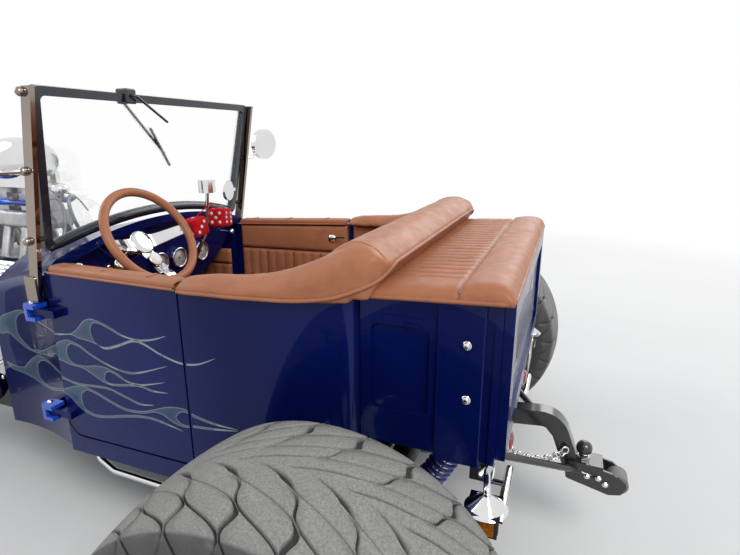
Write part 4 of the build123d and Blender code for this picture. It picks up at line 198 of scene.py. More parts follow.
class Finish:
    """A material whose nodes are added one after another."""

    def __init__(self, name, colour, rough=0.5, metal=0.0, **sockets):
        self.material = bpy.data.materials.new(name)
        self.material.use_nodes = True
        self.nodes = self.material.node_tree.nodes
        self.links = self.material.node_tree.links
        self.shader = self.nodes["Principled BSDF"]
        self.set("Base Color", (*colour, 1.0))
        self.set("Roughness", rough)
        self.set("Metallic", metal)
        self.height = None
        for key, value in sockets.items():
            self.set(key.replace("_", " "), value)
        self.place = self.nodes.new("ShaderNodeTexCoord").outputs["Object"]

    def set(self, socket, value):
        """Set one socket of the shader to a plain value."""
        self.shader.inputs[socket].default_value = value

    def pattern(self, node, output, **inputs):
        """Set up a texture node on the object's coordinates."""
        for key, value in inputs.items():
            node.inputs[key].default_value = value
        self.links.new(self.place, node.inputs["Vector"])
        return node.outputs[output]

    def noise(self, scale, detail=4.0, rough=0.55):
        """Noise over the surface."""
        node = self.nodes.new("ShaderNodeTexNoise")
        return self.pattern(node, "Fac", Scale=scale, Detail=detail, Roughness=rough)

    def cells(self, scale, feature="F1"):
        """Cell pattern such as leather grain or grit."""
        node = self.nodes.new("ShaderNodeTexVoronoi")
        node.feature = feature
        return self.pattern(node, "Distance", Scale=scale)

    def attribute(self, name):
        """A value stored on the mesh's points."""
        node = self.nodes.new("ShaderNodeAttribute")
        node.attribute_name = name
        return node.outputs["Fac"]

    def feed(self, value, socket):
        """Give a socket a number, a tone or another node's output."""
        if isinstance(value, (int, float)):
            socket.default_value = value
        elif isinstance(value, tuple):
            socket.default_value = (*value, 1.0)
        else:
            self.links.new(value, socket)

    def math(self, operation, *values, clamp=False):
        """One sum on values or sockets."""
        node = self.nodes.new("ShaderNodeMath")
        node.operation = operation
        node.use_clamp = clamp
        for index, value in enumerate(values):
            self.feed(value, node.inputs[index])
        return node.outputs["Value"]

    def band(self, value, low, high, to_low=0.0, to_high=1.0):
        """A value brought from one span into another."""
        node = self.nodes.new("ShaderNodeMapRange")
        names = ("Value", "From Min", "From Max", "To Min", "To Max")
        for name, part in zip(names, (value, low, high, to_low, to_high)):
            self.feed(part, node.inputs[name])
        return node.outputs["Result"]

    def mix(self, factor, first, second):
        """Two colours mixed by a factor."""
        node = self.nodes.new("ShaderNodeMix")
        node.data_type = "RGBA"
        for name, value in (("Factor", factor), ("A", first), ("B", second)):
            self.feed(value, [s for s in node.inputs if s.name == name and s.enabled][0])
        return [s for s in node.outputs if s.enabled][0]

    def colour(self, socket):
        """Drive the base colour."""
        self.links.new(socket, self.shader.inputs["Base Color"])
        return self

    def roughness(self, socket):
        """Drive the roughness."""
        self.links.new(socket, self.shader.inputs["Roughness"])
        return self

    def bump(self, socket, strength, distance):
        """Add a bump on top of the earlier ones."""
        node = self.nodes.new("ShaderNodeBump")
        node.inputs["Strength"].default_value = strength
        node.inputs["Distance"].default_value = distance
        self.links.new(socket, node.inputs["Height"])
        if self.height is not None:
            self.links.new(self.height, node.inputs["Normal"])
        self.height = node.outputs["Normal"]
        self.links.new(self.height, self.shader.inputs["Normal"])
        return self

    def worn(self, light, dark, scale=6.0, low=0.35, high=0.65):
        """Base colour that wanders between two tones."""
        return self.colour(self.mix(self.band(self.noise(scale), low, high), light, dark))


def blue_paint():
    """Candy blue paint under clear coat, with room for the ghost flames."""
    look = bpy.context.scene.roadster_colours
    base = tuple(look.body_blue)
    coat = {"Specular_IOR_Level": 0.05, "Coat_Weight": 0.3, "Coat_Roughness": 0.02}
    paint = Finish("body_blue_paint", base, 0.3, 0.3, **coat)
    tone = paint.mix(paint.band(paint.noise(1.6, 2.0), 0.35, 0.65), base, scaled(base, 0.6))
    fill = paint.math("MULTIPLY", paint.attribute("flame_fill"), 1.0, clamp=True)
    tone = paint.mix(fill, tone, tuple(look.flame_teal))
    paint.colour(paint.mix(paint.attribute("flame_edge"), tone, tuple(look.flame_line)))
    paint.roughness(paint.band(paint.noise(7.0, 6.0), 0.5, 0.8, 0.24, 0.34))
    return paint.bump(paint.noise(900.0, 1.0), 0.02, 0.0004).material


def chrome_plate(name="chrome_plate", tint=(0.78, 0.78, 0.79), low=0.04, high=0.13):
    """Polished chrome with a few dull patches."""
    plate = Finish(name, tint, low, 1.0)
    plate.roughness(plate.band(plate.noise(9.0, 6.0), 0.45, 0.75, low, high))
    plate.colour(plate.mix(plate.band(plate.noise(3.5, 4.0), 0.3, 0.75), tint, scaled(tint, 0.82)))
    return plate.bump(plate.noise(140.0, 2.0), 0.015, 0.0004).material


def cast_metal(name, tone, rough=0.42):
    """Cast aluminium with a sandy skin."""
    cast = Finish(name, tone, rough, 1.0)
    cast.worn(tone, scaled(tone, 0.62), 9.0)
    cast.roughness(cast.band(cast.noise(30.0), 0.35, 0.7, rough - 0.1, rough + 0.18))
    return cast.bump(cast.cells(700.0), 0.18, 0.0006).material


def enamel(name, tone, rough=0.22, coat=0.7):
    """Enamel paint with light dust in patches."""
    paint = Finish(name, tone, rough, 0.0, Coat_Weight=coat, Coat_Roughness=0.08)
    paint.worn(tone, scaled(tone, 0.75, 0.02), 7.0, 0.4, 0.85)
    paint.roughness(paint.band(paint.noise(12.0, 6.0), 0.4, 0.75, rough, rough + 0.2))
    return paint.bump(paint.noise(260.0, 3.0), 0.05, 0.0005).material


def leather():
    """Tan upholstery leather with pores, creases and darker rubbed patches, and painted shade in the creases and sewn
    seams.
    """
    tone = tuple(bpy.context.scene.roadster_colours.leather_tan)
    skin = {"Specular_IOR_Level": 0.3, "Coat_Weight": 0.08, "Coat_Roughness": 0.3}
    hide = Finish("tan_leather", tone, 0.45, 0.0, **skin)
    dark, pale = scaled(tone, 0.66), scaled(tone, 1.16, 0.012)
    tint = hide.mix(hide.band(hide.noise(5.0, 5.0), 0.35, 0.7), pale, tone)
    creases = hide.band(hide.cells(42.0, "DISTANCE_TO_EDGE"), 0.0, 0.035, 1.0, 0.0)
    rubbed = hide.band(hide.noise(16.0, 5.0), 0.52, 0.78)
    tint = hide.mix(hide.math("MULTIPLY", rubbed, 0.5), tint, dark)
    # Painted shade: the crease lines are darkened a little in the colour.
    tint = hide.mix(hide.math("MULTIPLY", creases, 0.12), tint, dark)
    # Painted shade: the seams and the valleys beside them are painted much darker, along with the seam line itself.
    seam = hide.math("MULTIPLY", hide.attribute("seam"), 0.75, clamp=True)
    hide.colour(hide.mix(seam, tint, scaled(tone, 0.3)))
    hide.roughness(hide.band(hide.noise(30.0, 4.0), 0.3, 0.7, 0.36, 0.56))
    hide.bump(hide.cells(900.0), 0.22, 0.0006)
    hide.bump(hide.noise(70.0, 5.0, 0.6), 0.16, 0.0018)
    return hide.bump(creases, -0.06, 0.0008).material


def carpet(name, tone):
    """Short cut pile."""
    pile = Finish(name, tone, 0.95, 0.0, Specular_IOR_Level=0.1, Sheen_Weight=0.05, Sheen_Roughness=0.6)
    pile.worn(tone, scaled(tone, 0.5), 60.0, 0.3, 0.7)
    pile.bump(pile.noise(1300.0, 2.0), 0.7, 0.0016)
    return pile.bump(pile.noise(120.0, 4.0), 0.3, 0.002).material


def tread_rubber():
    """Rubber with road dust on the tread. The grooves are painted near black as painted shade; the tread's edges, the
    shoulders and the sidewall are painted darker, as painted shade and, on the sidewall, as rubber with less dust.
    """
    dust = tuple(bpy.context.scene.roadster_colours.tyre_dust)
    rubber = Finish("dusty_tread_rubber", dust, 0.75)
    wall = rubber.attribute("wall")
    grit = rubber.band(rubber.noise(240.0, 6.0, 0.7), 0.35, 0.72)
    patch = rubber.band(rubber.noise(10.0, 7.0, 0.6), 0.3, 0.72)
    tone = rubber.mix(grit, scaled(dust, 0.62), scaled(dust, 1.3))
    tone = rubber.mix(rubber.math("MULTIPLY", patch, 0.4), tone, scaled(dust, 0.6))
    specks = rubber.band(rubber.cells(210.0), 0.0, 0.16, 1.0, 0.0)
    specks = rubber.math("MULTIPLY", specks, rubber.band(rubber.noise(26.0), 0.5, 0.65))
    tone = rubber.mix(specks, tone, (0.62, 0.6, 0.56))
    # Painted shade on the tread's edges and the shoulders, and a darker sidewall: the wall share paints them towards
    # black.
    tone = rubber.mix(rubber.math("MULTIPLY", wall, 0.97, clamp=True), tone, (0.02, 0.021, 0.023))
    # Painted shade: the grooves are painted near black.
    groove = rubber.math("MULTIPLY", rubber.attribute("groove"), 0.93, clamp=True)
    rubber.colour(rubber.mix(groove, tone, (0.014, 0.014, 0.015)))
    rubber.roughness(rubber.band(wall, 0.0, 1.0, 0.85, 0.5))
    rubber.bump(rubber.noise(420.0, 5.0), 0.3, 0.0012)
    return rubber.bump(rubber.noise(60.0, 4.0), 0.12, 0.002).material


def tinted_glass(name, tint, rough=0.02):
    """Window glass."""
    pane = Finish(name, tint, rough, 0.0, Transmission_Weight=1.0, IOR=1.15, Alpha=0.16)
    pane.roughness(pane.band(pane.noise(14.0, 5.0), 0.5, 0.8, rough, rough + 0.03))
    return pane.material


def lens(name, tint):
    """A lamp's lens with moulded ribs behind a smooth face."""
    cover = Finish(name, tint, 0.12, 0.0, Coat_Weight=1.0, Coat_Roughness=0.03, Transmission_Weight=0.25)
    ribs = cover.band(cover.cells(160.0), 0.0, 0.5)
    cover.colour(cover.mix(ribs, tint, scaled(tint, 0.45)))
    return cover.bump(ribs, 0.35, 0.0015).material


def ruled(name, ground, marks, pitch, metal=0.0, rough=0.5):
    """Fine bars across the height, as on a radiator core or a braid."""
    fins = Finish(name, ground, rough, metal)
    split = fins.nodes.new("ShaderNodeSeparateXYZ")
    fins.links.new(fins.place, split.inputs["Vector"])
    edge = fins.math("GREATER_THAN", fins.math("FRACT", fins.math("DIVIDE", split.outputs["Z"], pitch)), 0.5)
    fins.colour(fins.mix(edge, ground, marks))
    return fins.bump(edge, 0.7, 0.002).material


# The finishes in use: how each is made, and its name and values
RECIPES = {
    "paint": (blue_paint,),
    "tan": (leather,),
    "rubber": (tread_rubber,),
    "chrome": (chrome_plate,),
    "dark_chrome": (chrome_plate, "dark_chrome", (0.36, 0.36, 0.38), 0.07, 0.18),
    # Painted reflection: the posts' chrome is tinted dark brown, as a reflection of brown surroundings.
    "post": (chrome_plate, "smoked_chrome", (0.34, 0.29, 0.25), 0.05, 0.14),
    "anodised": (chrome_plate, "blue_anodised", (0.03, 0.12, 0.7), 0.16, 0.3),
    "alloy": (cast_metal, "cast_aluminium", (0.55, 0.55, 0.56)),
    "black": (enamel, "black_enamel", (0.009, 0.009, 0.011)),
    "white": (enamel, "white_enamel", (0.82, 0.81, 0.78), 0.25, 0.3),
    "satin": (enamel, "satin_chassis_paint", (0.012, 0.013, 0.018), 0.42, 0.15),
    "iron": (enamel, "engine_enamel", (0.006, 0.016, 0.09), 0.3, 0.5),
    "screen_black": (enamel, "screen_black_enamel", (0.006, 0.01, 0.02), 0.14, 0.5),
    # A blue far lighter than the body paint, for the hinge covers and the seam bead: painted highlight.
    "hinge_blue": (enamel, "hinge_blue_enamel", (0.004, 0.07, 0.55), 0.22, 0.6),
    "needle": (enamel, "needle_red", (0.7, 0.03, 0.01)),
    "thread": (enamel, "tan_thread", (0.12, 0.05, 0.02), 0.8, 0.0),
    "lead": (enamel, "blue_lead", (0.02, 0.06, 0.45), 0.45, 0.1),
    "spring": (enamel, "spring_enamel", (0.01, 0.03, 0.3)),
    "dark_floor": (carpet, "black_carpet", (0.018, 0.018, 0.02)),
    "plush": (carpet, "red_plush", (0.62, 0.004, 0.014)),
    "felt": (carpet, "white_felt", (0.85, 0.84, 0.8)),
    "pane": (tinted_glass, "screen_glass", (0.93, 0.96, 0.95)),
    "lamp": (lens, "lamp_lens", (0.9, 0.92, 0.93)),
    "red": (lens, "red_lens", (0.5, 0.01, 0.012)),
    "amber": (lens, "amber_lens", (0.95, 0.3, 0.02)),
    "core": (ruled, "radiator_fins", (0.03, 0.03, 0.032), (0.2, 0.2, 0.2), 0.0034),
    "braid": (ruled, "braided_steel", (0.32, 0.33, 0.35), (0.12, 0.12, 0.13), 0.0026, 0.8, 0.35),
}
FINISHES = {}


def finish(key):
    """A material made once and shared."""
    if key not in FINISHES:
        make, *values = RECIPES[key]
        FINISHES[key] = make(*values)
    return FINISHES[key]


# Mesh tools


def axes_about(axis):
    """A direction and two more square to it."""
    axis = Vector(axis).normalized()
    across = axis.orthogonal().normalized()
    return axis, across, axis.cross(across)


def closed_sheet(columns, rows):
    """Faces of a grid of points, of the same grid below it, and of the rim between the two."""
    row = columns + 1
    top = row * (rows + 1)
    faces = []
    for j in range(rows):
        for i in range(columns):
            k = j * row + i
            m = top + k
            faces += [(k, k + 1, k + 1 + row, k + row), (m + row, m + row + 1, m + 1, m)]
    rim = [*range(columns)] + [columns + j * row for j in range(rows)]
    rim += [rows * row + columns - i for i in range(columns)] + [(rows - j) * row for j in range(rows)]
    for first, second in zip(rim, rim[1:] + rim[:1]):
        faces.append((first, top + first, top + second, second))
    return faces


def bar_faces(rows, around, turned=False):
    """Faces of a bar made of rings of points, with both ends closed; turned where the rings run the other way."""
    faces = []
    for a in range(0, (rows - 1) * around, around):
        for k in range(around):
            m, b = (k + 1) % around, a + around
            faces.append((a + k, a + m, b + m, b + k) if turned else (a + k, b + k, b + m, a + m))
    last = (rows - 1) * around
    return faces + [tuple(range(around - 1, -1, -1)), tuple(range(last, last + around))]


def ring_faces(rows, around):
    """Faces of rings of points that follow one another round a closed loop."""
    faces = []
    for i in range(rows):
        a, b = i * around, (i + 1) % rows * around
        for k in range(around):
            m = (k + 1) % around
            faces.append((a + k, b + k, b + m, a + m))
    return faces


class Form:
    """One piece's mesh, gathered from several shapes, each with its own finish."""

    def __init__(self, name, *keys):
        self.name = name
        self.finishes = [finish(key) for key in keys]
        self.points = []
        self.faces = []
        self.slots = []
        self.smooth = []

    def add(self, points, faces, slot=0, smooth=True):
        """Add points and faces."""
        start = len(self.points)
        self.points.extend(tuple(p) for p in points)
        for face in faces:
            self.faces.append(tuple(start + i for i in face))
            self.slots.append(slot)
            self.smooth.append(smooth)

    def lathe(self, centre, axis, profile, slot=0, sides=32, smooth=True):
        """A turned shape: profile is (along the axis, radius) from one end to the other."""
        axis, across, other = axes_about(axis)
        centre = Vector(centre)
        points = []
        for along, radius in profile:
            for turn in spread_round(sides):
                out = across * math.cos(turn) + other * math.sin(turn)
                points.append(centre + axis * along + out * max(radius, 1e-5))
        self.add(points, bar_faces(len(profile), sides, True), slot, smooth)

    def torus(self, centre, axis, radius, wire, slot=0, sides=40, around=12):
        """A ring of round wire."""
        axis, across, other = axes_about(axis)
        centre = Vector(centre)
        points = []
        for turn in spread_round(sides):
            out = across * math.cos(turn) + other * math.sin(turn)
            for t in spread_round(around):
                points.append(centre + out * (radius + wire * math.cos(t)) + axis * wire * math.sin(t))
        self.add(points, ring_faces(sides, around), slot)

    def tube(self, path, radius, slot=0, sides=10, flat=1.0):
        """A round or flattened bar along a path; radius is one value or one for each point."""
        path = [Vector(p) for p in path]
        count = len(path)
        radii = radius if isinstance(radius, (list, tuple)) else [radius] * count
        normal = None
        points = []
        for i, point in enumerate(path):
            along = (path[min(i + 1, count - 1)] - path[max(i - 1, 0)]).normalized()
            if normal is None:
                normal = along.orthogonal()
            normal = (normal - along * normal.dot(along)).normalized()
            side = along.cross(normal)
            for t in spread_round(sides):
                points.append(point + (side * math.cos(t) + normal * math.sin(t) * flat) * radii[i])
        self.add(points, bar_faces(count, sides), slot)

    def slab(self, low, high, slot=0, bevel=0.0):
        """A box with chamfered edges."""
        low, high = Vector(low), Vector(high)
        middle = (low + high) / 2
        half = (high - low) / 2
        mesh = bmesh.new()
        bmesh.ops.create_cube(mesh, size=2.0)
        for v in mesh.verts:
            v.co = Vector(v.co[k] * half[k] for k in range(3))
        if bevel:
            bmesh.ops.bevel(mesh, geom=mesh.edges[:], offset=bevel, segments=2, affect="EDGES")
        mesh.verts.ensure_lookup_table()
        points = [v.co + middle for v in mesh.verts]
        self.add(points, [[v.index for v in f.verts] for f in mesh.faces], slot, False)
        mesh.free()

    def strap(self, path, widths, thick, across, slot=0):
        """A flat bar with chamfered edges along a path, as wide as given at each point."""
        across = Vector(across).normalized()
        points = []
        for i, point in enumerate(path):
            along = (path[min(i + 1, len(path) - 1)] - path[max(i - 1, 0)]).normalized()
            up = along.cross(across).normalized()
            w, t = widths[i] / 2, thick / 2
            section = ((-w, -t * 0.4), (-w + t, -t), (w - t, -t), (w, -t * 0.4),
                       (w, t * 0.4), (w - t, t), (-w + t, t), (-w, t * 0.4))
            for a, b in section:
                points.append(point + across * a + up * b)
        self.add(points, bar_faces(len(path), 8, True), slot, False)

    def hexagon(self, centre, axis, radius, height, slot=0):
        """A bolt head with a chamfered top and a round washer."""
        axis = Vector(axis).normalized()
        self.lathe(centre, axis, [(0, radius * 1.3), (height * 0.25, radius * 1.3)], slot, 20)
        base = Vector(centre) + axis * height * 0.25
        head = [(0, radius), (height * 0.6, radius), (height * 0.75, radius * 0.84)]
        self.lathe(base, axis, head, slot, 6, False)

    def dome(self, centre, axis, radius, height, slot=0, sides=24):
        """A button head."""
        turns = [t * math.pi / 12 for t in range(7)]
        profile = [(height * math.sin(t), radius * math.cos(t)) for t in turns]
        self.lathe(centre, axis, [(-height * 0.2, radius), *profile], slot, sides)

    def place(self, body, slot_name=None, replaces=(), mirror=False, values=None):
        """Turn the gathered mesh into a piece that rides on a body."""
        mesh = bpy.data.meshes.new(self.name)
        points, faces = self.points, self.faces
        if mirror:
            points = [(-x, y, z) for x, y, z in points]
            faces = [tuple(reversed(f)) for f in faces]
        mesh.from_pydata(points, [], faces)
        for material in self.finishes:
            mesh.materials.append(material)
        mesh.polygons.foreach_set("material_index", self.slots)
        mesh.polygons.foreach_set("use_smooth", self.smooth)
        for key, numbers in (values or {}).items():
            layer = mesh.attributes.new(key, "FLOAT", "POINT")
            layer.data.foreach_set("value", numbers)
        mesh.validate()
        mesh.update()
        piece = bpy.data.objects.new(self.name, mesh)
        bpy.context.scene.collection.objects.link(piece)
        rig.ride(piece, body)
        if slot_name:
            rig.slot(piece, slot_name)
        if replaces:
            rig.replaces(piece, *replaces)
        return piece


def curve_points(controls, step=0.01, closed=False):
    """Close points on a smooth line through the control points."""
    pts = [Vector(p) for p in controls]
    count = len(pts)
    out = []
    spans = count if closed else count - 1
    for i in range(spans):
        p1 = pts[i]
        p2 = pts[(i + 1) % count]
        p0 = pts[i - 1] if i or closed else p1 + (p1 - p2)
        p3 = pts[(i + 2) % count] if i + 2 < count or closed else p2 + (p2 - p1)
        n = max(2, int((p2 - p1).length / step))
        for k in range(n):
            t = k / n
            a = -p0 + 3 * p1 - 3 * p2 + p3
            b = 2 * p0 - 5 * p1 + 4 * p2 - p3
            out.append(0.5 * (a * t ** 3 + b * t ** 2 + (p2 - p0) * t) + p1)
    if not closed:
        out.append(pts[-1])
    return out


def surface_of(*names):
    """Ray-casting tree over some nodes, and the node that each of its faces belongs to."""
    points, faces, owner = [], [], []
    for name in names:
        mesh = NODES[name].data
        start = len(points)
        points.extend(v.co.copy() for v in mesh.vertices)
        for face in mesh.polygons:
            faces.append([start + i for i in face.vertices])
            owner.append(name)
    return BVHTree.FromPolygons(points, faces), owner


# Height of the fine creases over every pad
WRINKLE = 0.0006


class Pad:
    """A stuffed panel over four corners, with sewn channels and rounded edges."""

    def __init__(self, name, corners, thickness, channels, margins=(0.0, 0.0), depth=0.5, step=0.006, puff=0.0,
                 edge=0.02):
        self.name = name
        self.corners = a, b, c, d = [Vector(p) for p in corners]
        self.normal = (b - a).cross(d - a).normalized()
        self.thickness = thickness
        self.channels = channels
        self.margins = margins
        self.depth = depth
        self.puff = puff
        self.edge = edge
        self.width = ((b - a).length + (c - d).length) / 2
        self.length = ((d - a).length + (c - b).length) / 2
        self.columns = max(8, int(self.width / step))
        self.rows = max(8, int(self.length / step))

    def at(self, u, v):
        """A point of the flat panel."""
        a, b, c, d = self.corners
        return a * (1 - u) * (1 - v) + b * u * (1 - v) + c * u * v + d * (1 - u) * v

    def height(self, u, v):
        """Height of the cover over the flat panel, and how deep in a seam the place is, which the leather paints
        darker as painted shade.
        """
        near = min(u * self.width, (1 - u) * self.width, v * self.length, (1 - v) * self.length)
        share = min(1.0, near / self.edge)
        rise = math.sqrt(max(0.0, 1 - (1 - share) ** 2))
        seam = 0.0
        lift = 1.0
        low, high = self.margins[0] / self.length, 1 - self.margins[1] / self.length
        if self.channels and low < v < high:
            local = (u * self.channels) % 1.0
            ridge = abs(math.sin(math.pi * local)) ** 0.45
            fade = ease(v, low, low + 0.03) * (1 - ease(v, high - 0.03, high))
            lift = 1 - self.depth * (1 - ridge) * fade
            seam = (1 - min(1.0, ridge * 1.6)) * fade
        for edge in (low, high):
            if 0.001 < edge < 0.999:
                dip = max(0.0, 1 - abs(v - edge) * self.length / 0.006)
                lift -= self.depth * 0.8 * dip * dip
                seam = max(seam, dip)
        crown = self.puff * math.sin(math.pi * u) * math.sin(math.pi * v)
        return self.thickness * rise * lift + crown, seam

    def build(self, body, replaces=(), mirror=False, fill=0.6):
        """Make the closed piece."""
        form = Form(self.name, "tan")
        grid = [
            (i / self.columns, j / self.rows) for j in range(self.rows + 1) for i in range(self.columns + 1)
        ]
        points, seams = [], []
        for u, v in grid:
            rise, seam = self.height(u, v)
            base = self.at(u, v)
            rise += WRINKLE * noise.fractal(base * 38, 0.6, 2.0, 3) * (1 if rise > 0.003 else 0)
            points.append(base + self.normal * max(rise, 0.0004))
            # The seam depth goes to the leather, which paints it darker: painted shade in the sewn grooves.
            seams.append(seam)
        points += [self.at(u, v) for u, v in grid]
        seams += [0.0] * len(grid)
        form.add(points, closed_sheet(self.columns, self.rows))
        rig.padded(form.place(body, "tan_leather", replaces, mirror, {"seam": seams}), fill)


def softened(name, source, key, slot_name, fill, voxel, lift, grain_size, smoothing):
    """A stuffed form grown from a node's solid: remeshed, relaxed and given creases."""
    piece = bpy.data.objects.new(name, NODES[source].data.copy())
    bpy.context.scene.collection.objects.link(piece)
    for other in bpy.context.selected_objects:
        other.select_set(False)
    remesh = piece.modifiers.new("remesh", "REMESH")
    remesh.mode = "VOXEL"
    remesh.voxel_size = voxel
    relax = piece.modifiers.new("relax", "SMOOTH")
    relax.factor = 0.5
    relax.iterations = smoothing
    graph = bpy.context.evaluated_depsgraph_get()
    shape = bpy.data.meshes.new_from_object(piece.evaluated_get(graph))
    piece.modifiers.clear()
    piece.data = shape
    moved = []
    for place, normal in [(v.co.copy(), v.normal.copy()) for v in shape.vertices]:
        grain = Vector((place.x * grain_size, place.y * grain_size, place.z * grain_size * 1.6))
        moved.extend(place + normal * (noise.fractal(grain, 0.7, 2.1, 4) * lift))
    shape.vertices.foreach_set("co", moved)
    shape.update()
    shape.materials.clear()
    shape.materials.append(finish(key))
    shape.polygons.foreach_set("use_smooth", [True] * len(shape.polygons))
    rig.ride(piece, "car")
    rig.slot(piece, slot_name)
    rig.replaces(piece, source)
    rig.padded(piece, fill)
    return shape


# Sizes and colours a user may change


def tone_property(name, about, default):
    """A colour setting."""
    return FloatVectorProperty(
        name=name, description=about, subtype="COLOR", size=3, default=default, min=0, max=1)


def length_property(name, about, default, low, high):
    """A length setting, in metres."""
    return FloatProperty(
        name=name, description=about, subtype="DISTANCE", unit="LENGTH", default=default, min=low, max=high)


class RoadsterColours(bpy.types.PropertyGroup):
    """Colours of the car."""

    body_blue: tone_property("Body blue", "Paint under the clear coat", (0.002, 0.009, 0.11))
    flame_teal: tone_property("Flame fill", "Ghost flame fill", (0.085, 0.155, 0.2))
    flame_line: tone_property("Flame line", "Silver line round the flames", (0.27, 0.32, 0.34))
    leather_tan: tone_property("Leather", "Upholstery", (0.325, 0.118, 0.053))
    tyre_dust: tone_property("Tyre dust", "Dusty tread", (0.27, 0.265, 0.25))


class RoadsterSizes(bpy.types.PropertyGroup):
    """Sizes of the details."""

    groove_depth: length_property("Groove depth", "Depth of the rear tread's grooves", 0.008, 0.001, 0.012)
    tread_step: length_property("Tread step", "Spacing of the tread mesh", 0.0072, 0.004, 0.02)
    groove_width: length_property("Groove width", "Half the width of a rear groove", 0.0031, 0.001, 0.006)
    flame_width: length_property("Flame line", "Width of the flames' outline", 0.0034, 0.001, 0.01)
    piping: length_property("Piping", "Radius of the leather piping", 0.0048, 0.002, 0.01)
    rear_waves: IntProperty(
        name="Rear waves", description="Wavy grooves round each rear tyre", default=48, min=12, max=80)
    tonneau_ribs: IntProperty(
        name="Tonneau ribs", description="Sewn channels across the bed cover", default=21, min=8, max=40)
    seat_ribs: IntProperty(
        name="Seat ribs", description="Sewn channels across the seat", default=16, min=6, max=30)
    show_floor: BoolProperty(name="Floor", description="Show the pale studio floor", default=True)


def sizes():
    """The sizes in use."""
    return bpy.context.scene.roadster_sizes


# Stage


FLOOR_REACH = 40.0
# Distances from the origin over which the floor turns to plain white
FLOOR_FADE = (2.0, 6.5)
# Name, place, width and power of each light, and what they all point at
LIGHTS = (
    ("key_light", (3.6, 4.2, 5.2), 3.0, 250.0),
    ("fill_light", (-4.5, 2.0, 4.0), 4.0, 100.0),
    ("front_light", (1.0, -5.5, 4.2), 4.0, 110.0),
)
LIGHT_AIM = Vector((0, 0, 0.6))
CAMERA_PLACE = Vector((1.5338, 1.4784 + BACK, 1.2985))
CAMERA_LOOK = Vector((-0.8989, -0.3497, -0.2642))
CAMERA_UP = Vector((-0.2462, -0.0958, 0.9646))
CAMERA_LENS = 24.87


class ROADSTER_OT_stage(bpy.types.Operator):
    """Floor, lights, surroundings and the camera"""

    bl_idname = "roadster.stage"
    bl_label = "Stage"

    def execute(self, context):
        scene = context.scene
        scene.view_settings.view_transform = "Standard"
        data = bpy.data.cameras.new("photo_camera")
        data.sensor_fit = "HORIZONTAL"
        data.sensor_width = 36.0
        data.lens = CAMERA_LENS
        data.clip_end = 200.0
        camera = bpy.data.objects.new("photo_camera", data)
        scene.collection.objects.link(camera)
        look, up = CAMERA_LOOK.normalized(), CAMERA_UP.normalized()
        right = look.cross(up).normalized()
        up = right.cross(look)
        camera.matrix_world = Matrix((
            *((right[k], up[k], -look[k], CAMERA_PLACE[k]) for k in range(3)),
            (0, 0, 0, 1),
        ))
        scene.camera = camera
        if sizes().show_floor:
            self.floor(scene)
        self.lights(scene)
        self.surroundings(scene)
        return {"FINISHED"}

    def floor(self, scene):
        """Wide pale floor."""
        mesh = bpy.data.meshes.new("studio_floor")
        corners = [(x * FLOOR_REACH, y * FLOOR_REACH, 0) for x, y in ((-1, -1), (1, -1), (1, 1), (-1, 1))]
        mesh.from_pydata(corners, [], [(0, 1, 2, 3)])
        pale = (0.72, 0.715, 0.705)
        ground = Finish("pale_floor", pale, 0.9, 0.0, Specular_IOR_Level=0.1)
        ground.worn(pale, (0.69, 0.685, 0.675), 1.2)
        ground.bump(ground.noise(40.0), 0.05, 0.002)
        self.fade(ground)
        mesh.materials.append(ground.material)
        floor = bpy.data.objects.new("studio_floor", mesh)
        scene.collection.objects.link(floor)
        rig.stage(floor)

    def seen(self, nodes, links):
        """One where the camera, a reflection or clear glass looks, else nothing."""
        path = nodes.new("ShaderNodeLightPath")
        total = path.outputs["Is Camera Ray"]
        for kind in ("Is Glossy Ray", "Is Transmission Ray"):
            add = nodes.new("ShaderNodeMath")
            add.operation = "ADD"
            add.use_clamp = True
            links.new(total, add.inputs[0])
            links.new(path.outputs[kind], add.inputs[1])
            total = add.outputs["Value"]
        return total

    def fade(self, ground):
        """Turn the floor to plain white away from the object."""
        far = ground.nodes.new("ShaderNodeVectorMath")
        far.operation = "LENGTH"
        ground.links.new(ground.place, far.inputs[0])
        share = ground.band(far.outputs["Value"], *FLOOR_FADE)
        share = ground.math("MULTIPLY", share, self.seen(ground.nodes, ground.links), clamp=True)
        white = ground.nodes.new("ShaderNodeEmission")
        blend = ground.nodes.new("ShaderNodeMixShader")
        ground.links.new(share, blend.inputs["Fac"])
        ground.links.new(ground.shader.outputs["BSDF"], blend.inputs[1])
        ground.links.new(white.outputs["Emission"], blend.inputs[2])
        ground.links.new(blend.outputs["Shader"], ground.nodes["Material Output"].inputs["Surface"])

    def lights(self, scene):
        """Soft round lights above the car."""
        for name, place, width, power in LIGHTS:
            data = bpy.data.lights.new(name, "AREA")
            data.shape = "DISK"
            data.size = width
            data.energy = power
            lamp = bpy.data.objects.new(name, data)
            scene.collection.objects.link(lamp)
            lamp.location = place
            lamp.rotation_euler = (LIGHT_AIM - Vector(place)).to_track_quat("-Z", "Y").to_euler()

    def surroundings(self, scene):
        """Pale grey light all round, which looks white where it is seen."""
        world = bpy.data.worlds.new("pale_studio")
        scene.world = world
        world.use_nodes = True
        nodes, links = world.node_tree.nodes, world.node_tree.links
        sky = nodes["Background"]
        plain = nodes.new("ShaderNodeMix")
        plain.data_type = "RGBA"
        links.new(self.seen(nodes, links), plain.inputs["Factor"])
        plain.inputs[6].default_value = (0.55, 0.57, 0.6, 1)
        plain.inputs[7].default_value = (1, 1, 1, 1)
        links.new(plain.outputs[2], sky.inputs["Color"])
        sky.inputs["Strength"].default_value = 1.0


# Finishes of the plain nodes


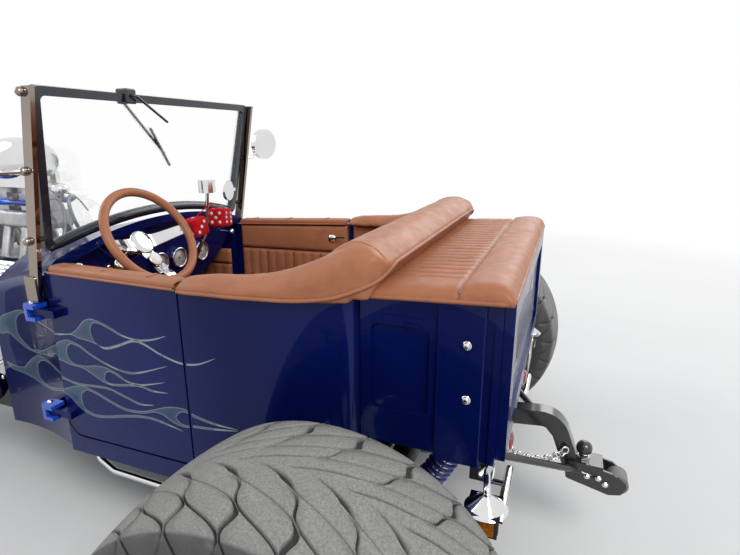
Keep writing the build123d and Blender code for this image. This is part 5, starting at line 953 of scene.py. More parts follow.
DRESSED = {
    "paint": ("cowl_body", "rear_body", "door_left", "door_right", "bed_box", "tailgate", "dash_panel"),
    "chrome": (
        "mirrors", "shift_lever", "front_axle", "front_suspension", "knuckle_left", "knuckle_right", "tie_rod",
        "pitman_arm", "drag_link", "rear_suspension", "grille_shell", "headlamps", "rear_lamps",
        "rear_bars_and_plate", "safety_chain", "air_scoop", "valve_covers", "gauges_and_knobs", "belt_drive",
        "front_wheel_left", "front_wheel_right", "rear_wheel_left", "rear_wheel_right"),
    "satin": ("frame_rails", "rear_axle", "gearbox_and_driveshaft"),
    "black": ("drawbar", "wheelie_bar", "pedals", "steering_column"),
    "tan": ("door_trim_left", "door_trim_right", "bench_seat", "bolster_roll", "tonneau_cover", "steering_wheel"),
    "rubber": ("front_tyre_left", "front_tyre_right", "rear_tyre_left", "rear_tyre_right", "wheelie_roller"),
    "dark_chrome": ("exhaust_headers",),
    "post": ("windscreen_posts",),
    "screen_black": ("windscreen_frame",),
    "pane": ("windscreen_glass",),
    "alloy": ("intake_and_carburettors",),
    "iron": ("engine_block",),
    "core": ("radiator_core",),
    "dark_floor": ("floor_pan",),
    "plush": ("hanging_dice",),
}


class ROADSTER_OT_finishes(bpy.types.Operator):
    """Materials of the parts that keep their own shape"""

    bl_idname = "roadster.finishes"
    bl_label = "Finishes"

    def execute(self, context):
        for key, names in DRESSED.items():
            for name in names:
                materials = NODES[name].data.materials
                materials.clear()
                materials.append(finish(key))
        return {"FINISHED"}


# Ghost flames

# Closed outlines of the fills with their licks, as y and z in millimetres of the shared frame
FLAMES = (
    ((-372, 673), (-300, 705), (-229, 726), (-180, 722), (-135, 714), (-80, 710), (-29, 709), (30, 711),
     (74, 716), (129, 726), (165, 748), (200, 778), (242, 791), (307, 782), (368, 765), (430, 763),
     (490, 776), (543, 794), (490, 771), (430, 758), (368, 759), (315, 772), (272, 781), (242, 777),
     (228, 752), (238, 722), (279, 704), (335, 720), (410, 751), (458, 748), (515, 732), (587, 722),
     (650, 733), (710, 764), (650, 738), (587, 728), (515, 738), (458, 755), (410, 758), (335, 728),
     (279, 711), (215, 716), (165, 716), (129, 721), (74, 710), (30, 705), (-29, 704), (-80, 705),
     (-135, 708), (-180, 716), (-222, 715), (-262, 690), (-275, 655), (-266, 620), (-201, 590), (-150, 597),
     (-112, 604), (-50, 632), (9, 658), (55, 683), (107, 701), (164, 694), (216, 675), (282, 659), (347, 652),
     (412, 661), (536, 706), (412, 655), (347, 646), (282, 653), (216, 668), (164, 686), (122, 690),
     (100, 672), (95, 650), (118, 626), (177, 629), (225, 641), (272, 645), (318, 638), (361, 623),
     (418, 625), (520, 654), (418, 619), (361, 617), (315, 630), (284, 634), (266, 620), (262, 603),
     (280, 596), (310, 600), (405, 620), (466, 618), (527, 623), (466, 612), (405, 614), (310, 593),
     (255, 592), (205, 607), (160, 618), (105, 617), (50, 622), (0, 624), (-50, 603), (-112, 588),
     (-160, 582), (-201, 580), (-250, 586), (-300, 606), (-340, 620), (-389, 612)),
    ((-385, 500), (-340, 494), (-280, 500), (-250, 520), (-215, 545), (-165, 572), (-110, 580), (-60, 576),
     (-22, 570), (30, 567), (68, 564), (110, 560), (148, 563), (230, 575), (279, 579), (345, 570), (408, 562),
     (465, 571), (408, 556), (345, 563), (279, 572), (230, 568), (148, 556), (110, 552), (68, 556), (30, 558),
     (-22, 561), (-60, 566), (-110, 566), (-150, 552), (-175, 525), (-172, 490), (-150, 476), (-110, 474),
     (-74, 480), (-30, 493), (9, 507), (60, 527), (98, 542), (130, 552), (161, 556), (217, 549), (284, 535),
     (343, 528), (410, 538), (457, 555), (521, 580), (580, 590), (617, 582), (690, 575), (762, 573),
     (690, 569), (617, 574), (585, 580), (562, 572), (549, 558), (555, 546), (580, 540), (618, 549),
     (690, 560), (762, 569), (690, 554), (618, 542), (573, 532), (530, 536), (495, 548), (457, 546),
     (410, 530), (343, 520), (284, 526), (217, 540), (170, 545), (140, 528), (133, 500), (142, 478),
     (185, 468), (244, 478), (353, 510), (426, 525), (489, 527), (570, 517), (489, 520), (426, 518),
     (353, 502), (244, 470), (185, 459), (130, 466), (90, 488), (60, 505), (9, 495), (-30, 482), (-74, 468),
     (-120, 462), (-169, 462), (-230, 470), (-300, 474), (-360, 476)),
)
# Where the flames stop before and behind each seam of the door
DOOR_EDGES = (0.0325, 0.0455, 0.5955, 0.6085)
# The rays at the body sides start this far out, and count no hit nearer the middle than SIDE_MIN
SIDE_OUT = 0.9
SIDE_MIN = 0.3


class ROADSTER_OT_flames(bpy.types.Operator):
    """Ghost flames laid over the body sides"""

    bl_idname = "roadster.flames"
    bl_label = "Flames"

    def execute(self, context):
        for side, sign in SIDES:
            tree, owner = surface_of("cowl_body", f"door_{side}", "rear_body")
            door = f"{side}_door"
            groups = {"car": ([], [], [], []), door: ([], [], [], [])}
            bodies = [door if name.startswith("door") else "car" for name in owner]
            for outline in FLAMES:
                self.lay(outline, sign, tree, bodies, groups)
            for body, (points, faces, fill, line) in groups.items():
                form = Form(f"flames_{side}_{'body' if body == 'car' else 'door'}", "paint")
                form.add(points, faces)
                form.place(body, "body_paint", values={"flame_fill": fill, "flame_edge": line})
        return {"FINISHED"}

    def lay(self, outline, sign, tree, bodies, groups):
        """Fill and line of one flame, split where the door's seams run."""
        ring = [(p.y, p.z) for p in curve_points([(0, y / 1000, z / 1000) for y, z in outline], 0.008, True)]
        width = sizes().flame_width
        low = [min(p[k] for p in ring) for k in (0, 1)]
        high = [max(p[k] for p in ring) for k in (0, 1)]
        points = [Vector(p) for p in ring + self.inset(ring, width)]
        count = len(ring)
        edges = [(start + i, start + (i + 1) % count) for start in (0, count) for i in range(count)]
        for y in DOOR_EDGES:
            edges.append((len(points), len(points) + 1))
            points += [Vector((y, low[1] - 0.02)), Vector((y, high[1] + 0.02))]
        step = 0.011
        for j in range(int((high[1] - low[1]) / step) + 1):
            for i in range(int((high[0] - low[0]) / step) + 1):
                points.append(Vector((low[0] + i * step, low[1] + j * step)))
        flat, _, triangles, *_ = geometry.delaunay_2d_cdt(points, edges, [], 0, 1e-5)
        made = {}
        for triangle in triangles:
            middle = sum((flat[i] for i in triangle), Vector((0, 0))) / 3
            in_seam = DOOR_EDGES[0] < middle.x < DOOR_EDGES[1] or DOOR_EDGES[2] < middle.x < DOOR_EDGES[3]
            if in_seam or not inside(middle, ring):
                continue
            place, _, index, _ = self.cast(tree, sign, middle.x, middle.y)
            if place is None or abs(place.x) < SIDE_MIN:
                continue
            body = bodies[index]
            spots, faces, fills, lines = groups[body]
            face = []
            for i in triangle:
                if (body, i) not in made:
                    gap = gap_to(flat[i], ring)
                    made[body, i] = len(spots)
                    spots.append(self.project(flat[i], middle, sign, tree))
                    fills.append(self.fill(flat[i], gap))
                    lines.append(1.0 if gap < width * 0.75 else 0.0)
                face.append(made[body, i])
            faces.append(face if sign > 0 else face[::-1])

    def cast(self, tree, sign, y, z):
        """What a level ray from outside meets on the body side."""
        return tree.ray_cast(Vector((sign * SIDE_OUT, y, z)), Vector((-sign, 0, 0)), 1.0)

    def fill(self, point, gap):
        """Strength of the teal fill: strongest near the line and towards the front."""
        front = 1 - ease(point.x, -0.35, 0.75)
        return (0.5 + 0.45 * math.exp(-gap / 0.012)) * (0.6 + 0.4 * front)

    def project(self, point, middle, sign, tree):
        """A flat point brought on to the body side, just over the paint."""
        for share in (1.0, 0.9, 0.7, 0.4):
            y = middle.x + (point.x - middle.x) * share
            z = middle.y + (point.y - middle.y) * share
            place = self.cast(tree, sign, y, z)[0]
            if place is not None and abs(place.x) > SIDE_MIN:
                return Vector((place.x + sign * 0.0005, point.x, point.y))
        return Vector((sign * 0.5, point.x, point.y))

    def inset(self, ring, width):
        """The outline moved inwards by the line's width."""
        area = sum(a[0] * b[1] - b[0] * a[1] for a, b in sides_of(ring))
        way = 1 if area > 0 else -1
        moved = []
        for i, here in enumerate(ring):
            along = (Vector(ring[(i + 1) % len(ring)]) - Vector(ring[i - 1])).normalized()
            inward = Vector((-along.y, along.x)) * way
            moved.append(tuple(Vector(here) + inward * width))
        return moved


def sides_of(ring):
    """Each side of an outline, as its two ends."""
    return zip(ring, ring[1:] + ring[:1])


def inside(point, ring):
    """Whether a flat point is inside an outline."""
    odd = False
    for (x0, y0), (x1, y1) in sides_of(ring):
        if (y0 > point.y) != (y1 > point.y) and point.x < (x1 - x0) * (point.y - y0) / (y1 - y0) + x0:
            odd = not odd
    return odd


def gap_to(point, ring):
    """Distance from a flat point to an outline."""
    best = 1.0
    for (x0, y0), (x1, y1) in sides_of(ring):
        dx, dy = x1 - x0, y1 - y0
        size = dx * dx + dy * dy
        t = 0.0 if size == 0 else max(0.0, min(1.0, ((point.x - x0) * dx + (point.y - y0) * dy) / size))
        best = min(best, math.hypot(point.x - x0 - t * dx, point.y - y0 - t * dy))
    return best


# Tyres


class ROADSTER_OT_tyres(bpy.types.Operator):
    """Rear tyres with wavy grooves and front tyres with ribs"""

    bl_idname = "roadster.tyres"
    bl_label = "Tyres"

    def execute(self, context):
        for side, sign in SIDES:
            self.rear(side, sign)
            self.front(side, sign)
        return {"FINISHED"}

    def sweep(self, across):
        """How far round the tyre a groove has run at a distance from the tread's middle, in degrees."""
        reach = abs(across)
        return 34.0 * (1 - math.exp(-reach / 0.083)) + 62.0 * reach

    def run(self, k, across, count):
        """Angle of groove k where it passes a place across the tread."""
        reach = abs(across)
        wave = 0.47 * math.sin((reach - 0.012) * 2 * math.pi / 0.112) * ease(reach, 0.008, 0.045)
        return math.radians(360.0 / count * (k + wave * (-1) ** k) + self.sweep(across))

    def rear(self, side, sign):
        """Wide tyre: rows of points follow the grooves, which meet in pairs and end in points."""
        radius, half = 0.393, 0.195
        count = sizes().rear_waves
        width = sizes().groove_width
        columns = []
        for across, out, kind in self.outline(radius, half, 0.196, 0.165, 0.034, 0.016, sizes().tread_step):
            place = math.copysign(min(abs(across), half - 0.004), across) if kind == "wall" else across
            slope = (self.run(0, abs(place) + 0.001, count) - self.run(0, abs(place), count)) / 0.001 * out
            spread = min(width / out * math.sqrt(1 + slope * slope), 0.3 * 2 * math.pi / count)
            near = abs(across)
            long = 1 if across > 0 else 0
            live = [ease(near, 0.0, 0.014) if k == long else ease(near, 0.034, 0.06) for k in (0, 1)]
            fade = {"tread": 1.0, "shoulder": 0.85, "wall": 0.0}[kind]
            ring = []
            for k in range(count):
                before, here, after = (self.run(k + shift, place, count) for shift in (-1, 0, 1))
                low = max(here - spread, (before + here) / 2)
                high = min(here + spread, (after + here) / 2)
                share = live[k % 2] * fade
                merged = after - here < spread * 1.6 and live[(k + 1) % 2] > 0.3
                flat = share if merged else 0.0
                gap = after - min(spread, (after - here) / 2) - high
                ring += [(low, 0.0), (here + (low - here) * 0.55, share), (here + (high - here) * 0.55, share),
                         (high, flat), (high + gap / 3, flat), (high + gap * 2 / 3, flat)]
            # How far the rubber is painted towards black: painted shade over the tread's outer edges and the shoulder,
            # and the darker sidewall.
            wall = {"tread": ease(near, half - 0.06, half + 0.01) * 0.8, "shoulder": 0.9, "wall": 1.0}[kind]
            columns.append((across, out, wall, ring))
        rings = [[(across, out, *ring[i], wall) for across, out, wall, ring in columns] for i in range(count * 6)]
        self.close("rear", side, sign, REAR_HUB, sizes().groove_depth, rings)

    def arc(self, a, b, c, n):
        """Points of the arc through three places, without the last."""
        (ax, ay), (bx, by), (cx, cy) = a, b, c
        d = 2 * (ax * (by - cy) + bx * (cy - ay) + cx * (ay - by))
        aa, bb, cc = ax * ax + ay * ay, bx * bx + by * by, cx * cx + cy * cy
        ux = (aa * (by - cy) + bb * (cy - ay) + cc * (ay - by)) / d
        uy = (aa * (cx - bx) + bb * (ax - cx) + cc * (bx - ax)) / d
        r = math.hypot(ax - ux, ay - uy)
        t0, middle, t1 = (math.atan2(y - uy, x - ux) for x, y in (a, b, c))
        middle += 2 * math.pi * round((t0 - middle) / (2 * math.pi))
        t1 += 2 * math.pi * round((middle - t1) / (2 * math.pi))
        turns = [t0 + (t1 - t0) * k / n for k in range(n)]
        return [(ux + r * math.cos(t), uy + r * math.sin(t)) for t in turns]

    def outline(self, radius, half, rim, rim_half, shoulder, crown, step):
        """Cross-section from the inner bead over the tread to the outer bead: (across, radius, kind)."""
        lip = rim + 0.012
        mid = (radius + rim) / 2
        edge = radius - crown
        corner = half - shoulder
        wall = self.arc((-rim_half, lip), (-half, mid), (-corner, edge), 16)
        tread = self.arc((-corner, edge), (0, radius), (corner, edge), int(2 * half / step))
        outer = self.arc((corner, edge), (half, mid), (rim_half, lip), 16)
        return [
            (-rim_half, rim, "wall"),
            *((x, y, "wall" if k < 12 else "shoulder") for k, (x, y) in enumerate(wall)),
            *((x, y, "tread") for x, y in tread),
            *((x, y, "shoulder" if k < 5 else "wall") for k, (x, y) in enumerate(outer)),
            (rim_half, lip, "wall"),
            (rim_half, rim, "wall"),
        ]

    def front(self, side, sign):
        """Narrow tyre with straight ribs and small side cuts."""
        radius, half, step = 0.320, 0.075, 0.0062
        profile = self.outline(radius, half, 0.193, 0.0575, 0.026, 0.007, 0.0042)
        rings = []
        for turn in spread_round(int(2 * math.pi * radius / step)):
            ring = []
            for across, out, kind in profile:
                share = 0.0
                if kind == "tread":
                    bend = 0.0016 * math.sin(turn * 58)
                    share = max(1 - ease(abs(across - rib - bend), 0.002, 0.0042) for rib in (-0.026, 0.0, 0.026))
                if kind != "wall":
                    cut = abs(((turn * 42 / math.pi + across * 14) % 1.0) - 0.5) * 2
                    share = max(share, (1 - ease(cut, 0.1, 0.2)) * ease(abs(across), 0.03, 0.036))
                # How far the rubber is painted towards black: a darker tread than the rear, painted shade on the
                # shoulder, and the darker sidewall.
                wall = {"tread": 0.35, "shoulder": 0.85, "wall": 1.0}[kind]
                ring.append((across, out, turn, share, wall))
            rings.append(ring)
        self.close("front", side, sign, FRONT_HUB, 0.006, rings)

    def close(self, end, side, sign, hub, depth, rings):
        """Join the rings of points into a closed tyre."""
        centre = Vector((sign * hub.x, hub.y, hub.z))
        points, grooves, walls = [], [], []
        for ring in rings:
            for across, out, turn, share, wall in ring:
                r = out - depth * share
                points.append(centre + Vector((sign * across, r * math.sin(turn), r * math.cos(turn))))
                # The groove share also paints the grooves near black in the rubber: painted shade.
                grooves.append(share)
                # The wall share paints the rubber towards black: painted shade on edges and shoulders, and the darker
                # sidewall.
                walls.append(wall)
        form = Form(f"{end}_tread_{side}", "rubber")
        faces = ring_faces(len(rings), len(rings[0]))
        form.add(points, [(a, d, c, b) if sign > 0 else (b, c, d, a) for a, b, c, d in faces])
        form.place(f"{side}_{end}_wheel", "tyre_rubber", (f"{end}_tyre_{side}",),
                   values={"groove": grooves, "wall": walls})


# Upholstery


def put_on(points, tree, lift):
    """Points brought on to a surface and lifted off it."""
    moved = []
    for point in points:
        place, normal, _, _ = tree.find_nearest(Vector(point))
        moved.append(place + normal * lift)
    return moved


def even(points, rounds=2):
    """A line with its small steps smoothed away."""
    line = [Vector(p) for p in points]
    for _ in range(rounds):
        inner = [(a + b * 2 + c) / 4 for a, b, c in zip(line, line[1:], line[2:])]
        line = [line[0], *inner, line[-1]]
    return line


def bed_rim(y):
    """Height of the bed's sloping top edge at a place along the car."""
    return 0.952 + 0.016 * (y - BACK - 1.052) / 0.324


class ROADSTER_OT_bolster(bpy.types.Operator):
    """Padded roll round the seat, with its piping and seams"""

    bl_idname = "roadster.bolster"
    bl_label = "Bolster"

    def execute(self, context):
        mesh = softened("bolster_leather", "bolster_roll", "tan", "tan_leather", 0.6, 0.005, 0.0012, 14.0, 14)
        tree = BVHTree.FromPolygons([v.co for v in mesh.vertices], [list(f.vertices) for f in mesh.polygons])
        side = (
            (0.576, 0.592, 0.931), (0.583, 0.66, 0.934), (0.585, 0.747, 0.937), (0.580, 0.891, 0.942),
            (0.569, 0.98, 0.951), (0.556, 1.03, 0.963), (0.548, 1.07, 0.980), (0.530, 1.105, 1.0),
            (0.503, 1.124, 1.018), (0.47, 1.1285, 1.026), (0.40, 1.1285, 1.028), (0.2, 1.1285, 1.028),
        )
        left = [(x, y + BACK, z) for x, y, z in side]
        whole = left + [(0, 1.1285 + BACK, 1.028)] + [(-x, y, z) for x, y, z in reversed(left)]
        piping = Form("bolster_piping", "tan")
        line = even(put_on(curve_points(whole, 0.008), tree, 0.0022), 3)
        piping.tube(line, sizes().piping, sides=12)
        for sign in (1, -1):
            seam = ((0.436, 0.968, 1.008), (0.452, 0.99, 1.040), (0.475, 1.02, 1.064), (0.493, 1.06, 1.068),
                    (0.503, 1.095, 1.050), (0.509, 1.117, 1.026))
            for shift in (-0.0022, 0.0022):
                path = [(sign * (x + shift), y + BACK - shift * 0.4, z) for x, y, z in seam]
                piping.tube(even(put_on(curve_points(path, 0.006), tree, 0.0002), 2), 0.0011, sides=8)
        piping.place("car", "tan_leather")
        return {"FINISHED"}


# Half-width and rear edge of the bed's cover
TONNEAU_HALF = 0.527
TONNEAU_REAR = 1.397 + BACK
# Where the ribbed part meets the rear border
TONNEAU_PAD = 1.283 + BACK


class ROADSTER_OT_tonneau(bpy.types.Operator):
    """Ribbed cover over the bed with a thick rear border"""

    bl_idname = "roadster.tonneau"
    bl_label = "Tonneau"

    def surface(self, x, y):
        """Height of the cover, and how deep in a seam the place is, which the leather paints darker as painted shade.
        """
        half, rear, pad = TONNEAU_HALF, TONNEAU_REAR, TONNEAU_PAD
        thick, span = 0.033, 0.43
        seam, lift = 0.0, 1.0
        if y < pad:
            ends = ease(pad - y, 0, 0.035) * ease(y - 1.128 - BACK, -0.02, 0.025)
            if abs(x) < span:
                local = ((x + span) / (2 * span) * sizes().tonneau_ribs) % 1.0
                ridge = abs(math.sin(math.pi * local)) ** 0.5
                lift -= 0.22 * (1 - ridge) * (0.35 + 0.65 * ends)
                seam = max(seam, (1 - min(1.0, ridge * 1.7)) * 0.7)
        else:
            share = (y - pad) / (rear - pad)
            lift += 0.32 * math.sin(math.pi * min(1.0, share * 0.94 + 0.03)) ** 0.7
        dip = max(0.0, 1 - abs(y - pad) / 0.007)
        lift -= 0.3 * dip ** 1.5
        seam = max(seam, dip * 0.8)
        border = max(0.0, 1 - abs(abs(x) - span - 0.004) / 0.005) if y < pad else 0.0
        lift -= 0.12 * border
        rise = 1.0
        for near in ((half - abs(x)) / 0.045, (rear - y) / 0.036):
            near = min(1.0, max(0.0, near))
            rise *= math.sqrt(max(0.0, 1 - (1 - near) ** 2.3))
        fold = noise.fractal(Vector((x * 7, y * 26, 0.3)), 0.7, 2.0, 3) * 0.0011
        return thick * lift * (0.22 + 0.78 * rise) + fold * rise, seam

    def execute(self, context):
        low_y, high_y, half = 1.048 + BACK, TONNEAU_REAR, TONNEAU_HALF
        columns, rows = 300, 64
        form = Form("tonneau_leather", "tan")
        points, seams = [], []
        for j in range(rows + 1):
            y = low_y + (high_y - low_y) * j / rows
            for i in range(columns + 1):
                x = -half + 2 * half * i / columns
                rise, seam = self.surface(x, y)
                points.append((x, y, bed_rim(y) + 0.0006 + rise))
                # The seam depth goes to the leather, which paints it darker: painted shade in the sewn grooves.
                seams.append(seam)
        seams += [0.0] * len(points)
        points += [(x, y, bed_rim(y) + 0.0004) for x, y, _ in points]
        form.add(points, closed_sheet(columns, rows))
        cover = form.place("car", "tan_leather", ("tonneau_cover",), values={"seam": seams})
        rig.padded(cover, 0.5)
        trim = Form("tonneau_piping", "tan")
        corner = 0.03
        x, rear = half - 0.001, high_y - 0.001
        edge = [(x, 1.05 + BACK), (x, 1.2 + BACK), (x, rear - corner), (x - corner * 0.3, rear - corner * 0.3),
                (x - corner, rear), (0.2, rear), (0, rear)]
        loop = edge + [(-a, b) for a, b in reversed(edge[:-1])]
        path = curve_points([(a, b, bed_rim(b) + 0.0056) for a, b in loop], 0.01)
        trim.tube(path, sizes().piping, sides=12)
        low = bed_rim(TONNEAU_PAD)
        line = []
        for i in range(140):
            a = -half + 0.01 + (2 * half - 0.02) * i / 139
            line.append((a, TONNEAU_PAD, low + self.surface(a, TONNEAU_PAD)[0] + 0.0016))
        trim.tube(even(line, 3), 0.0024, sides=8)
        trim.place("car", "tan_leather")
        return {"FINISHED"}


class ROADSTER_OT_seat(bpy.types.Operator):
    """Bench seat with sewn channels"""

    bl_idname = "roadster.seat"
    bl_label = "Seat"

    def execute(self, context):
        softened("seat_base", "bench_seat", "tan", "tan_leather", 0.5, 0.008, 0.001, 12.0, 6)
        half, ribs = 0.455, sizes().seat_ribs
        for name, foot, head, margins, puff in (
            ("seat_cushion", (0.352 + BACK, 0.6675), (0.786 + BACK, 0.6675), (0.07, 0.0), 0.006),
            ("seat_back", (0.822 + BACK, 0.655), (0.927 + BACK, 0.932), (0.0, 0.05), 0.004),
        ):
            corners = ((-half, *foot), (half, *foot), (half, *head), (-half, *head))
            Pad(name, corners, 0.022, ribs, margins, 0.5, 0.0062, puff).build("car")
        welt = Form("seat_piping", "tan")
        half = 0.447
        for y, z in ((0.347 + BACK, 0.661), (0.344 + BACK, 0.598)):
            left = [(-half, y + 0.012, z), (-half + 0.02, y, z)]
            right = [(half - 0.02, y, z), (half, y + 0.012, z)]
            welt.tube(curve_points([*left, (0, y - 0.003, z), *right], 0.012), 0.004, sides=8)
        welt.place("car", "tan_leather")
        return {"FINISHED"}


def side_wall(y):
    """Half-width of the body beside the doors, at a place along the car."""
    return 0.5 + 0.062 * (y - BACK) / 0.58


def top_edge(y):
    """Height of the top edge of the doors and body sides."""
    return 0.905 + 0.036 * (y - BACK)


class ROADSTER_OT_door_trim(bpy.types.Operator):
    """Door panels, their rolled top pads, fastening tabs and latches"""

    bl_idname = "roadster.door_trim"
    bl_label = "Door trim"

    def execute(self, context):
        y0, y1 = 0.046 + BACK, 0.572 + BACK
        inner, split, thick = 0.0305, 0.798, 0.014
        xa, xb = side_wall(y0) - inner, side_wall(y1) - inner
        za, zb = top_edge(y0) - 0.002, top_edge(y1) - 0.002
        for side, sign in SIDES:
            body = f"{side}_door"
            mirror = sign < 0
            corners = ((xb, y1, split), (xa, y0, split), (xa, y0, za), (xb, y1, zb))
            upper = Pad(f"door_upper_{side}", corners, thick, 0, (0, 0), 0.5, 0.007, 0.004, 0.016)
            upper.build(body, (f"door_trim_{side}",), mirror, 0.4)
            corners = ((xb, y1, 0.452), (xa, y0, 0.422), (xa, y0, split - 0.003), (xb, y1, split - 0.003))
            lower = Pad(f"door_lower_{side}", corners, thick, 12, (0.03, 0), 0.55, 0.006, 0.001, thick)
            lower.build(body, (), mirror, 0.4)
            self.top_pad(side, body, mirror)
            self.latch(side, body, mirror)
        return {"FINISHED"}

    def top_pad(self, side, body, mirror):
        """Rolled pad along the door's top edge with two lines of piping."""
        form = Form(f"door_pad_{side}", "tan")
        y0, y1 = 0.052 + BACK, 0.573 + BACK
        rows, around = 84, 28
        points = []
        for j in range(rows + 1):
            share = j / rows
            y = y0 + (y1 - y0) * share
            end = min(1.0, min(share, 1 - share) * 26)
            grow = math.sqrt(max(0.0, 1 - (1 - end) ** 2))
            outer, innermost = side_wall(y) + 0.007, side_wall(y) - 0.050
            low, high = top_edge(y) + 0.0004, top_edge(y) + 0.026
            mx, mz = (outer + innermost) / 2, (low + high) / 2
            for t in spread_round(around):
                c, s = math.cos(t), math.sin(t)
                wide, tall = 0.85 + 0.15 * grow, 0.55 + 0.45 * grow if s > 0 else 1.0
                px = mx + (outer - innermost) / 2 * math.copysign(abs(c) ** 0.62, c) * wide
                pz = mz + (high - low) / 2 * math.copysign(abs(s) ** 0.62, s) * tall
                crease = noise.fractal(Vector((px * 30, y * 22, pz * 30)), 0.7, 2.0, 3) * 0.0005
                points.append((px, y, max(low, pz + crease)))
        form.add(points, bar_faces(rows + 1, around))
        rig.padded(form.place(body, "tan_leather", mirror=mirror), 0.4)
        welt = Form(f"door_piping_{side}", "tan")
        stations = [y0 + (y1 - y0) * k / 40 for k in range(41)]
        for dx, radius in ((0.0065, 0.0038), (-0.049, 0.0032)):
            path = [(side_wall(y) + dx, y, top_edge(y) + 0.004) for y in stations]
            welt.tube(path, radius, sides=10)
        for y in (0.12 + BACK, 0.29 + BACK, 0.47 + BACK):
            x, z = side_wall(y) - 0.022, top_edge(y) + 0.0262
            welt.slab((x - 0.017, y - 0.006, z - 0.0015), (x + 0.017, y + 0.006, z + 0.0016), bevel=0.0012)
        welt.place(body, "tan_leather", mirror=mirror)

    def latch(self, side, body, mirror):
        """Chrome rose of the latch and its black strap."""
        y = 0.50 + BACK
        x = side_wall(y) - 0.046
        form = Form(f"door_latch_{side}", "chrome", "black")
        rose = [(0, 0.021), (0.004, 0.021), (0.006, 0.018), (0.012, 0.012)]
        form.lathe((x + 0.006, y, 0.86), (-1, 0, 0), rose, 0, 28)
        lever = ((0.010, 0, 0.86), (0.016, 0.014, 0.866), (0.019, 0.045, 0.873), (0.02, 0.07, 0.872))
        form.tube(curve_points([(x - a, y + b, z) for a, b, z in lever], 0.004), 0.0055, 1, 10, flat=0.6)
        form.place(body, "chrome_plate", mirror=mirror)


# Name, front, rear, foot, split, head and ribs of the panels beside the cabin
SIDE_TRIMS = (
    ("kick", -0.30, 0.034, 0.44, 0.80 - 0.07, 0.80, 7),
    ("quarter", 0.596, 0.80, 0.60, 0.80, 0.925, 4),
)


class ROADSTER_OT_side_trim(bpy.types.Operator):
    """Trim panels beside the seat and ahead of the doors"""

    bl_idname = "roadster.side_trim"
    bl_label = "Side trim"

    def execute(self, context):
        tree, _ = surface_of("cowl_body", "rear_body")
        thick = 0.012
        for side, sign in SIDES:
            mirror = sign < 0
            for name, ya, yb, low, cut, high, ribs in SIDE_TRIMS:
                ya, yb = ya + BACK, yb + BACK
                xa, xb = (self.wall(tree, y, (low + high) / 2) for y in (ya, yb))
                corners = ((xb, yb, low), (xa, ya, low), (xa, ya, cut - 0.003), (xb, yb, cut - 0.003))
                lower = Pad(f"{name}_lower_{side}", corners, thick, ribs, (0.0, 0), 0.55, 0.0065, 0.001, thick)
                lower.build("car", (), mirror, 0.4)
                corners = ((xb, yb, cut), (xa, ya, cut), (xa, ya, high), (xb, yb, high))
                upper = Pad(f"{name}_upper_{side}", corners, thick, 0, (0, 0), 0.5, 0.0075, 0.002, thick)
                upper.build("car", (), mirror, 0.4)
        return {"FINISHED"}

    def wall(self, tree, y, z):
        """Inner face of the body side, a little clear of it."""
        hit = tree.ray_cast(Vector((0.25, y, z)), Vector(X), 0.6)
        return hit[0].x - 0.001 if hit[0] is not None else 0.4


# Cabin fittings


class ROADSTER_OT_dash(bpy.types.Operator):
    """Gauge faces, ticks, needles, bezels and switch tips"""

    bl_idname = "roadster.dash"
    bl_label = "Dash"

    def execute(self, context):
        form = Form("gauge_faces", "white", "black", "chrome", "needle")
        for x, turn in ((30, 0.6), (-75, -0.9), (-210, 1.4)):
            centre = at(x, 18.4, 828)
            form.lathe(centre, Y, [(0, 0.0348), (0.0006, 0.0348)], 0, 40)
            for k in range(31):
                angle = math.radians(-135 + 9 * k)
                out = Vector((math.sin(angle), 0, math.cos(angle)))
                inner, width = (0.0255, 0.0007) if k % 5 == 0 else (0.029, 0.0004)
                lift = Vector((0, 0.001, 0))
                form.tube([centre + out * inner + lift, centre + out * 0.0325 + lift], width, 1, 6)
            needle = Vector((math.sin(turn), 0, math.cos(turn)))
            lift = Vector((0, 0.0022, 0))
            form.tube([centre - needle * 0.007 + lift, centre + needle * 0.027 + lift], [0.0013, 0.0005], 3, 6)
            form.dome(centre + lift, Y, 0.004, 0.002, 1, 16)
            form.torus(centre + Vector((0, 0.0052, 0)), Y, 0.0378, 0.0042, 2, 48, 12)
        for x, z in ((352, 868), (330, 838), (302, 862)):
            form.dome(at(x, 32, z), Y, 0.0052, 0.005, 2, 20)
            form.torus(at(x, 12.6, z), Y, 0.009, 0.0018, 2, 30, 8)
        form.place("car", "gauge_trim")
        key = Form("ignition_key", "chrome", "black")
        key.lathe(at(262, 8, 866), Y, [(0, 0.013), (0.006, 0.013), (0.009, 0.009), (0.011, 0.009)], 0, 24)
        key.slab(at(260.8, 17, 858), at(263.2, 42, 874), 0, 0.0008)
        key.torus(at(262, 44, 860), X, 0.011, 0.0009, 0, 30, 8)
        key.slab(at(255, 44, 816), at(269, 49, 850), 1, 0.002)
        key.tube([at(452, 14, 915), at(450, 90, 918)], 0.0032, 0, 10)
        knob = [(0, 0.005), (0.004, 0.0085), (0.008, 0.006), (0.012, 0.011), (0.02, 0.0145), (0.028, 0.012),
                (0.033, 0.006), (0.034, 0)]
        key.lathe(at(450, 88, 918), Y, knob, 0, 24)
        key.place("car", "gauge_trim")
        return {"FINISHED"}


# Stations of a steering wheel spoke: distance from the axis, height along it and width
SPOKE = (
    (0.03, -0.0525, 0.05), (0.05, -0.0515, 0.047), (0.075, -0.042, 0.043), (0.11, -0.026, 0.04),
    (0.138, -0.012, 0.038), (0.154, -0.006, 0.036),
)


